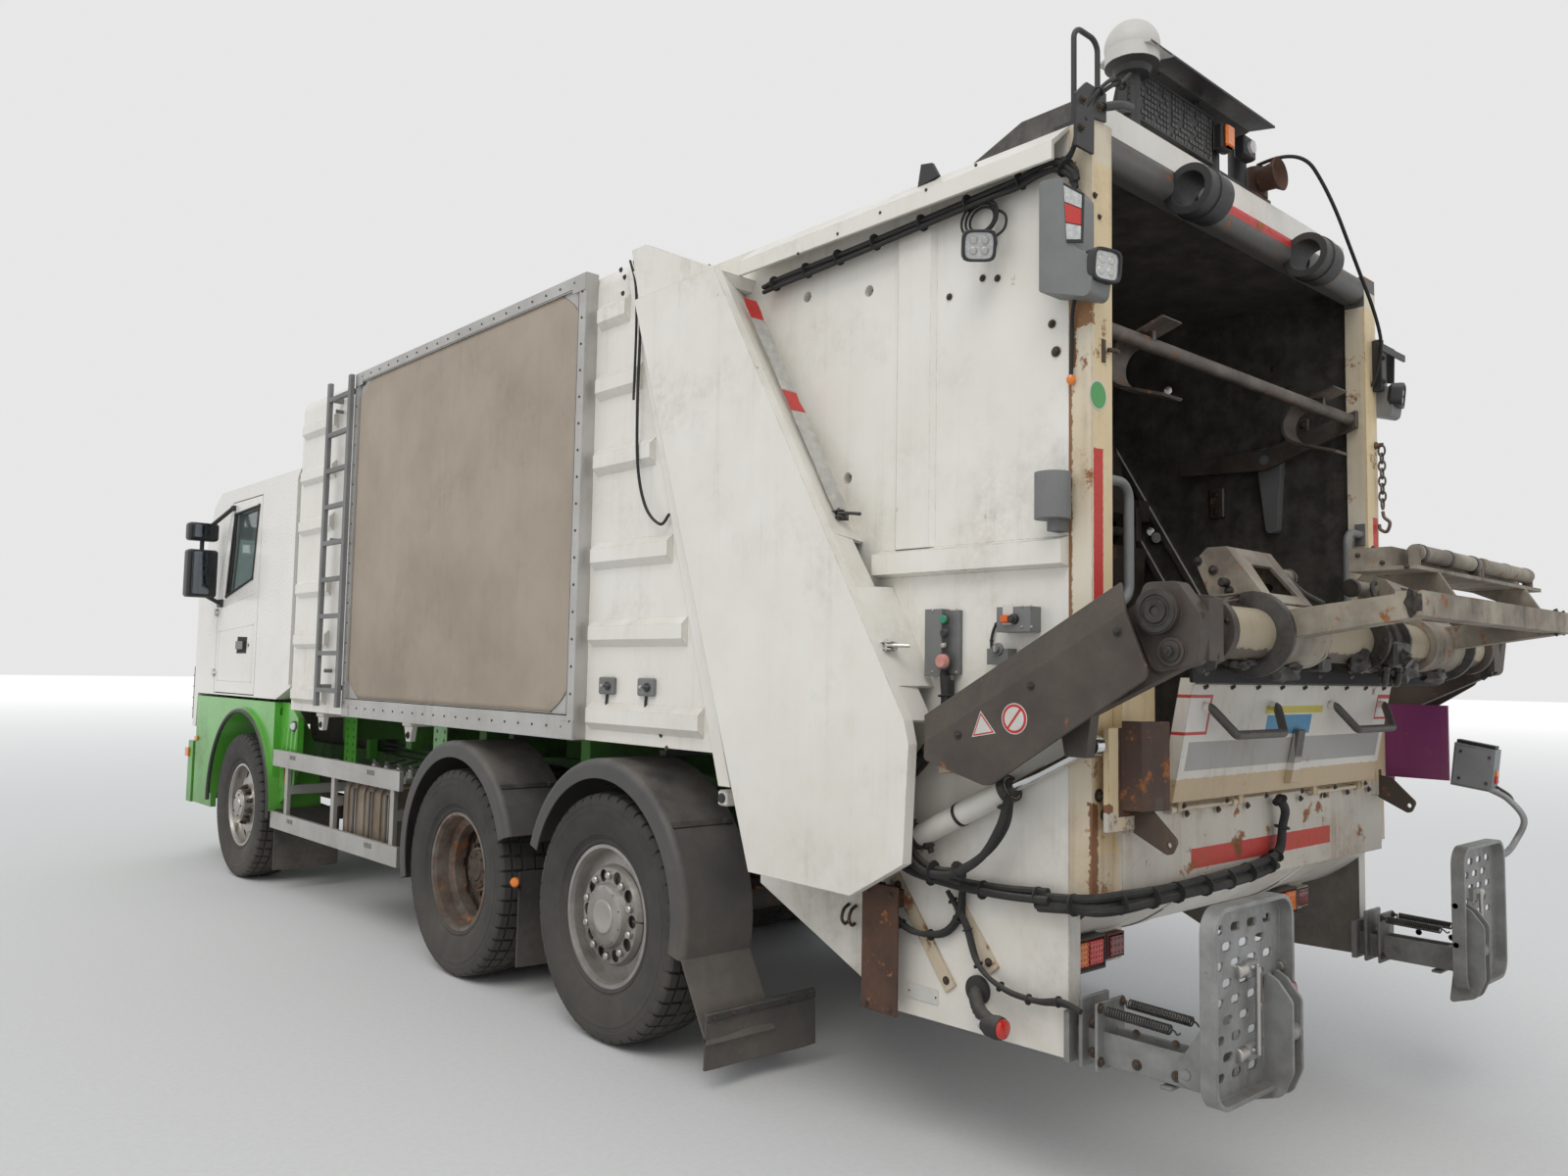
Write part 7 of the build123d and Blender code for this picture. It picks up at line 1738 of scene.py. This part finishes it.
# cab: visor and its ends in Y and Z, windscreen rubber, wipers, grille, roof markers
cabShape = {
    "visor": ((-4.215, 2.856), (-4.4, 2.795), (-4.485, 2.7), (-4.505, 2.6), (-4.497, 2.598), (-4.474, 2.692),
        (-4.394, 2.784), (-4.212, 2.845)),
    "visorEnd": ((-4.2, 2.862), (-4.4, 2.8), (-4.49, 2.7), (-4.508, 2.6), (-4.44, 2.66), (-4.34, 2.74),
        (-4.2, 2.8)),
    "visorHalf": 1.07,
    "visorArms": (-0.7, 0.0, 0.7),
    "screen": ((-1.06, -4.504, 2.062), (1.06, -4.504, 2.062), (1.0, -4.2, 2.738), (-1.0, -4.2, 2.738)),
    "wipers": (-0.62, 0.12),
    "corner": (1.08, -4.47, 1.1),
    "cornerLines": (1.18, 1.27, 1.36, 1.45),
    "grilleRows": 4,
    "grilleBars": 17,
    "roofMarkers": (-0.95, 0.95),
}
# doors: Y and Z of the window, of the hollow round the handle and of the pressed panel; mirror faces
doorShape = {
    "window": ((-3.77, 2.07), (-3.17, 2.185), (-3.09, 2.72), (-3.64, 2.7)),
    "hollow": ((-3.455, 1.63), (-3.235, 1.63), (-3.225, 1.75), (-3.44, 1.755)),
    "panel": ((-3.9, 1.42), (-3.1, 1.42), (-3.1, 1.84), (-3.9, 1.8)),
    "mirrors": ((2.075, 2.415, -3.7795), (2.513, 2.627, -3.7895)),
}


def addLoop(mesh, corners, radius, sides=8, slot=0):
    # a strip round a window: its corners are eased by two points each
    points = []
    for number, corner in enumerate(corners):
        before, after = Vector(corners[number - 1]), Vector(corners[(number + 1) % len(corners)])
        corner = Vector(corner)
        points += [corner.lerp(before, 0.05), corner.lerp(before, 0.015).lerp(after, 0.015),
            corner.lerp(after, 0.05)]
    addHose(mesh, points + [points[0], points[1]], radius, sides, slot, 4)


def makeCabParts(shape):
    mesh = bmesh.new()
    # tinted visor over the windscreen, on three arms
    half = shape["visorHalf"]
    addPlate(mesh, -half, shape["visor"], 2 * half)
    for side in (1, -1):
        addPlate(mesh, side * half, shape["visorEnd"], side * 0.008)
    for x in shape["visorArms"]:
        addHose(mesh, [(x, -4.225, 2.78), (x, -4.34, 2.775), (x, -4.4, 2.785)], 0.008, 8, 0, 3)
    # windscreen rubber and wipers
    addLoop(mesh, shape["screen"], 0.01, 8, 1)
    for x in shape["wipers"]:
        addLathe(mesh, (x, -4.535, 1.995), (0, -0.85, 0.5), [(0, 0.022), (0.014, 0.02), (0.02, 0.01)], 14, 1)
        addHose(mesh, [(x, -4.55, 2.005), (x + 0.12, -4.535, 2.045), (x + 0.36, -4.505, 2.1)], 0.007, 8, 1, 4)
        addHose(mesh, [(x + 0.08, -4.522, 2.066), (x + 0.36, -4.497, 2.108),
            (x + 0.64, -4.478, 2.15)], 0.006, 8, 1, 4)
    # dark corner strips and the grille's frame
    across, front, foot = shape["corner"]
    for side in (1, -1):
        inner, outer = [], []
        for step in range(7):
            angle = math.radians(12 + 9 * step)
            for line, radius in ((inner, 0.1195), (outer, 0.124)):
                line.append((side * (across + radius * math.cos(angle)), front - radius * math.sin(angle),
                    foot))
        addPrism(mesh, inner + list(reversed(outer)), (0, 0, 0.42), 1)
        for z in shape["cornerLines"]:
            low = [(side * (across + 0.1265 * math.cos(math.radians(18 + 8 * step))),
                front - 0.1265 * math.sin(math.radians(18 + 8 * step)), z) for step in range(6)]
            addHose(mesh, low, 0.004, 6, 1, 3)
    for number in range(shape["grilleRows"]):
        z = 1.13 + 0.15 * number
        addHose(mesh, [(-0.8, -4.612, z + 0.05), (0, -4.614, z + 0.05),
            (0.8, -4.612, z + 0.05)], 0.01, 8, 1, 4)
        for x in range(shape["grilleBars"]):
            addBlock(mesh, (-0.8 + 0.1 * x - 0.003, -4.612, z + 0.004),
                (-0.8 + 0.1 * x + 0.003, -4.602, z + 0.096), 1)
    # roof markers and the door-side lamp
    for x in shape["roofMarkers"]:
        addBlock(mesh, (x - 0.05, -4.0, 2.899), (x + 0.05, -3.93, 2.922), 2, 0.008)
    finishPiece(mesh, "cabParts", "cab", ["smokedPlastic", "blackPlastic", "amberLamp"])


def makeDoorParts(shape):
    for side, title in ((1, "left"), (-1, "right")):
        door = bmesh.new()
        addLoop(door, [(side * 1.199, y, z) for y, z in shape["window"]], 0.011)
        addHose(door, [(side * 1.199, -3.7, 2.085), (side * 1.199, -3.64, 2.4),
            (side * 1.199, -3.615, 2.69)], 0.009, 8, 0, 3)
        # hollow round the handle, its lock and the pressed crease under the window
        addPlate(door, side * 1.1995, shape["hollow"], side * 0.0025)
        addLathe(door, (side * 1.2, -3.19, 1.69), (side, 0, 0),
            [(0, 0.012), (0.003, 0.011), (0.004, 0)], 14, 1)
        addHose(door, [(side * 1.1985, -3.96, 1.985), (side * 1.1985, -3.6, 2.015),
            (side * 1.1985, -3.06, 2.075)], 0.0035, 6, 2, 5)
        addLoop(door, [(side * 1.1985, y, z) for y, z in shape["panel"]], 0.0035, 6, 2)
        # mirror faces
        x0, x1 = sorted((side * (1.47 - 0.018), side * (1.47 - 0.148)))
        for low, high, face in shape["mirrors"]:
            addBlock(door, (x0, face - 0.004, low), (x1, face + 0.0015, high), 3, 0.0015)
            addLoop(door, [(x0 + 0.004, face, low + 0.004), (x1 - 0.004, face, low + 0.004),
                (x1 - 0.004, face, high - 0.004), (x0 + 0.004, face, high - 0.004)], 0.004, 6)
        finishPiece(door, "doorParts_" + title, "door_" + title,
            ["rubber", "dirtyNuts", "cabWhite", "mirrorGlass"])


# front arches and chassis sides: rubber lips, lamps, flaps, brackets, straps
sideShape = {
    "arch": (-3.225, 0.522, 0.688),  # its Y, Z and radius
    "lamps": (((1.199, -4.6, 0.79), (1.216, -4.52, 0.86), 0.005),
        ((1.199, -4.36, 0.93), (1.216, -4.3, 0.965), 0.005),
        ((1.149, -2.44, 0.74), (1.16, -2.39, 0.86), 0.004)),
    "flaps": ((-2.5, 0.15, 0.56, 0.74, 1.19), (0.875, 0.16, 0.6, 0.66, 1.2),
        (2.375, 0.085, 0.3, 0.7, 1.255)),  # Y, foot, head, near and far edge
    "plates": ((-1.93, 0.19), (-0.6, 0.17)),  # Y and width
    "clipRows": (0.935, 0.515),
    "clipPlaces": (-2.18, -0.9),
    "seams": ((0.275, (42, 130)), (1.63, (38, 132))),  # axle and angles
    "straps": (-1.24, -1.0, -0.76),
    "valves": (-1.3, -1.12, -0.94, -0.78),
}


def makeChassisSides(shape):
    mesh = bmesh.new()
    archY, archZ, reach = shape["arch"]
    for side in (1, -1):
        rim = []
        for step in range(33):
            angle = math.radians(-2 + 184 * step / 32)
            rim.append((side * 1.224, archY + reach * math.cos(angle), archZ + reach * math.sin(angle)))
        addHose(mesh, rim, 0.015, 8, 0, 1)
        # side lamps: amber on the bumper's corner and by the rear of the arch, round lamp, red marker
        for low, high, ease in shape["lamps"]:
            addBlock(mesh, (side * low[0], *low[1:]), (side * high[0], *high[1:]), 1, ease)
        addLathe(mesh, (side * 1.14, -2.3, 1.135), (side, 0.25, 0),
            [(0, 0.036), (0.022, 0.036), (0.026, 0.03)])
        addLathe(mesh, (side * 1.164, -2.294, 1.135), (side, 0.25, 0),
            [(0, 0.028), (0.006, 0.024), (0.008, 0)], 24, 2)
        # strengthening ribs and bolts on the panel behind the wheel
        for number in range(4):
            y = -2.53 + 0.075 * number
            addPrism(mesh, [(side * 1.149, y, 0.7), (side * 1.16, y + 0.006, 0.7),
                (side * 1.16, y + 0.022, 0.7), (side * 1.149, y + 0.028, 0.7)], (0, 0.05, 0.42), 3)
        # rubber flaps: front, between the rear wheels, rear
        for y, low, high, near, far in shape["flaps"]:
            grid = []
            for row in range(9):
                line = []
                for column in range(13):
                    x = near + (far - near) * column / 12
                    z = high + (low - high) * row / 8
                    curve = 0.012 * math.sin(3.2 * column / 12 + y) * row / 8 + 0.006 * math.sin(
                        9 * column / 12) * row / 8
                    line.append((side * x, y + curve, z + 0.006 * math.sin(5 * x) * (row == 8)))
                grid.append(line)
            front = [[mesh.verts.new(point) for point in line] for line in grid]
            back = [[mesh.verts.new((x, y2 + 0.008, z)) for x, y2, z in line] for line in grid]
            addSlab(mesh, front, back, 4)
        addBlock(mesh, (side * 0.7, 2.372, 0.262), (side * 1.256, 2.392, 0.292), 0, 0.003)
        for number in range(6):
            addBolt(mesh, (side * (0.75 + 0.095 * number), 2.392, 0.277), (0, 1, 0), 0.008, 5)
        # perforated plates and white brackets that carry the body
        for y, wide in shape["plates"]:
            fore, aft = y - wide / 2, y + wide / 2
            addPlate(mesh, side * 0.905, ((fore, 0.9), (aft, 0.9), (aft, 1.22),
                (fore, 1.22)), side * 0.008, 3)
            for row in range(6):
                for column in (-0.05, 0.05):
                    addLathe(mesh, (side * 0.9125, y + column + 0.01 * (row % 2), 0.93 + 0.05 * row),
                        (side, 0, 0), [(0, 0.011), (0.0012, 0.011), (0.0014, 0)], 12)
            addBlock(mesh, (side * 0.9, y - 0.02, 1.215), (side * 1.14, y + 0.1, 1.245), 6, 0.005)
            foot = ((y - 0.012, 1.22), (y + 0.1, 1.22), (y + 0.075, 1.13), (y + 0.02, 1.13))
            addPlate(mesh, side * 1.1, foot, side * 0.03, 6)
            addBolt(mesh, (side * 1.13, y + 0.045, 1.165), (side, 0, 0), 0.014, 5)
        # clips in the guard rails
        for z in shape["clipRows"]:
            for y in shape["clipPlaces"]:
                for number in range(4):
                    addBlock(mesh, (side * 1.2148, y + 0.028 * number, z - 0.014),
                        (side * 1.2162, y + 0.028 * number + 0.012, z + 0.014))
        # seam bands over the mudguards
        for axle, angles in shape["seams"]:
            for turn in angles:
                angle = math.radians(turn)
                along = Vector((0, -math.sin(angle), math.cos(angle)))
                out = Vector((0, math.cos(angle), math.sin(angle)))
                base = Vector((0, axle, 0.577)) + out * 0.6075
                corners = [base - along * 0.014, base + along * 0.014, base + along * 0.012 + out * 0.006,
                    base - along * 0.012 + out * 0.006]
                addPlate(mesh, side * 0.93, [corner.yz for corner in corners], side * 0.3)
                place = Vector((side * 0.955, 0, 0)) + base + out * 0.005
                corner = Vector((0.02, 0.015, 0.012))
                addBlock(mesh, place - corner, place + corner, 0, 0.004)
        # amber marker between the mudguards, on a short rubber foot
        addHose(mesh, [(side * 1.2, 0.87, 0.53), (side * 1.225, 0.895, 0.545),
            (side * 1.24, 0.915, 0.56)], 0.016, 10, 0, 3)
        addLathe(mesh, (side * 1.24, 0.915, 0.563), (side * 0.6, 0.8, 0.1),
            [(0, 0.022), (0.016, 0.024), (0.03, 0.018), (0.034, 0)], 20, 1)
        # bracket foot under the body's rear end
        addBlock(mesh, (side * 1.06, 2.29, 1.045), (side * 1.15, 2.345, 1.105), 6, 0.006)
        addLathe(mesh, (side * 1.15, 2.318, 1.075), (side, 0, 0), [(0, 0.02), (0.006, 0.019), (0.007, 0)], 14)
    # straps and pipework of the silencer, valves above it
    for y in shape["straps"]:
        addBlock(mesh, (1.149, y - 0.012, 0.47), (1.154, y + 0.012, 0.81), 0, 0.001)
    for y in shape["valves"]:
        addBlock(mesh, (0.93, y - 0.05, 0.86), (1.06, y + 0.04, 0.905), 7, 0.01)
        addLathe(mesh, (1.0, y, 0.9), (0, 0, 1),
            [(0, 0.032), (0.03, 0.03), (0.036, 0.02), (0.05, 0.018)], 18, 7)
        addHose(mesh, [(1.0, y, 0.945), (1.02, y + 0.03, 0.97), (1.03, y + 0.09, 0.955),
            (1.0, y + 0.15, 0.91)], 0.009, 9)
        addHose(mesh, [(0.96, y + 0.02, 0.9), (0.97, y + 0.05, 0.94), (0.93, y + 0.1, 0.96),
            (0.86, y + 0.13, 0.98)], 0.007, 8)
    finishPiece(mesh, "chassisSides", "chassis",
        ["blackPlastic", "amberLamp", "clearLens", "greenPaint", "flapRubber", "dirtyNuts",
        "whitePaint", "aluminium"])


# cables in the joint between body and tailgate, bolts, ladder feet, lines under the body (X and Z)
bodyShape = {
    "joint": ((1.205, 1.7, 3.34), (1.215, 1.76, 3.22), (1.232, 1.8, 3.03), (1.236, 1.8, 2.7),
        (1.236, 1.815, 2.42), (1.236, 1.88, 2.24), (1.232, 1.98, 2.16), (1.215, 2.02, 2.2)),
    "jointBolts": ((1.64, 3.31), (1.67, 3.27), (1.66, 3.2)),
    "hemBolts": ((1.5, 1.33), (1.56, 1.33), (1.98, 1.3), (2.02, 1.25)),
    "footRows": (1.52, 2.35, 3.18),
    "footPlaces": (-1.56, -1.24),
    "lines": ((0.505, 1.0), (0.505, 0.965), (0.51, 0.93), (-0.505, 1.0), (-0.505, 0.96)),
}


def makeBodyParts(shape):
    mesh = bmesh.new()
    for side in (1, -1):
        joint = [(side * x, y, z) for x, y, z in shape["joint"]]
        addHose(mesh, joint, 0.0065, 8)
        addHose(mesh, [(x, y - 0.03, z + 0.01) for x, y, z in joint[:4]], 0.0055, 8)
        for y, z in shape["jointBolts"]:
            addBolt(mesh, (side * 1.2305, y, z), (side, 0, 0), 0.008, 1)
        for y, z in shape["hemBolts"]:
            addBolt(mesh, (side * 1.2005, y, z), (side, 0, 0), 0.007, 1)
    for z in shape["footRows"]:
        for y in shape["footPlaces"]:
            addHose(mesh, [(1.2, y, z), (1.225, y, z), (1.245, y, z)], 0.012, 8, 2, 2)
    # air and hydraulic lines along the frame
    for number, (x, z) in enumerate(shape["lines"]):
        points = [(x + 0.004 * math.sin(3.0 * step + number), -2.3 + 0.45 * step,
            z + 0.006 * math.sin(2.1 * step + number)) for step in range(10)]
        addHose(mesh, points, 0.009, 8, 0, 3)
    finishPiece(mesh, "bodyParts", "chassis", ["rubber", "dirtyNuts", "greySteel"])


makeCabParts(cabShape)
makeDoorParts(doorShape)
makeChassisSides(sideShape)
makeBodyParts(bodyShape)
print("cab and chassis parts done")


# floor and light
def blendForCamera(tree, shader, white, target, mask=None):
    # white as the camera sees it, straight or in a reflection; the shader for all other light
    rays = tree.nodes.new("ShaderNodeLightPath").outputs
    seen = mathNode(tree, "MAXIMUM", mathNode(tree, "MAXIMUM", rays["Is Camera Ray"], rays["Is Glossy Ray"]),
        rays["Is Transmission Ray"])
    blend = tree.nodes.new("ShaderNodeMixShader")
    joinNode(tree, seen if mask is None else mathNode(tree, "MULTIPLY", mask, seen), blend.inputs[0])
    tree.links.new(shader.outputs[0], blend.inputs[1])
    tree.links.new(white.outputs[0], blend.inputs[2])
    tree.links.new(blend.outputs[0], target)


def addFloor():
    reach = 120.0
    mesh = bpy.data.meshes.new("floor")
    mesh.from_pydata([(-reach, -reach, 0), (reach, -reach, 0), (reach, reach, 0), (-reach, reach, 0)],
        [], [(0, 1, 2, 3)])
    floor = bpy.data.objects.new("floor", mesh)
    bpy.context.scene.collection.objects.link(floor)
    material, tree, shader = startMaterial("paleFloor")
    shader.inputs["Roughness"].default_value = 0.9
    shader.inputs["Specular IOR Level"].default_value = 0.2
    place = placeNode(tree)
    tone = noiseNode(tree, place, 40.0, 8.0, 0.75)
    joinNode(tree, mixNode(tree, rampNode(tree, tone, 0.3, 0.7), (0.6, 0.6, 0.6), (0.66, 0.66, 0.66)),
        shader.inputs["Base Color"])
    white = tree.nodes.new("ShaderNodeEmission")
    far = rampNode(tree, vectorNode(tree, "LENGTH", place)["Value"], 9.0, 45.0)
    blendForCamera(tree, shader, white, tree.nodes["Material Output"].inputs["Surface"], far)
    mesh.materials.append(material)


lightSetup = {"sky": 0.78, "sun": 1.1, "sunTurn": (math.radians(38), 0.0,
    math.radians(118)), "sunSpread": 35.0}


def addLight(setup):
    scene = bpy.context.scene
    scene.view_settings.view_transform = "Standard"
    world = bpy.data.worlds.new("softSky")
    scene.world = world
    world.use_nodes = True
    tree = world.node_tree
    sky = tree.nodes["Background"]
    sky.inputs["Color"].default_value = (0.94, 0.97, 1.0, 1.0)
    sky.inputs["Strength"].default_value = setup["sky"]
    white = tree.nodes.new("ShaderNodeBackground")
    blendForCamera(tree, sky, white, tree.nodes["World Output"].inputs["Surface"])
    lamp = bpy.data.lights.new("softSun", "SUN")
    lamp.energy = setup["sun"]
    lamp.angle = math.radians(setup["sunSpread"])
    lamp.color = (1.0, 0.97, 0.93)
    sun = bpy.data.objects.new("softSun", lamp)
    sun.rotation_euler = setup["sunTurn"]
    scene.collection.objects.link(sun)


addFloor()
addLight(lightSetup)
print("floor and light done")
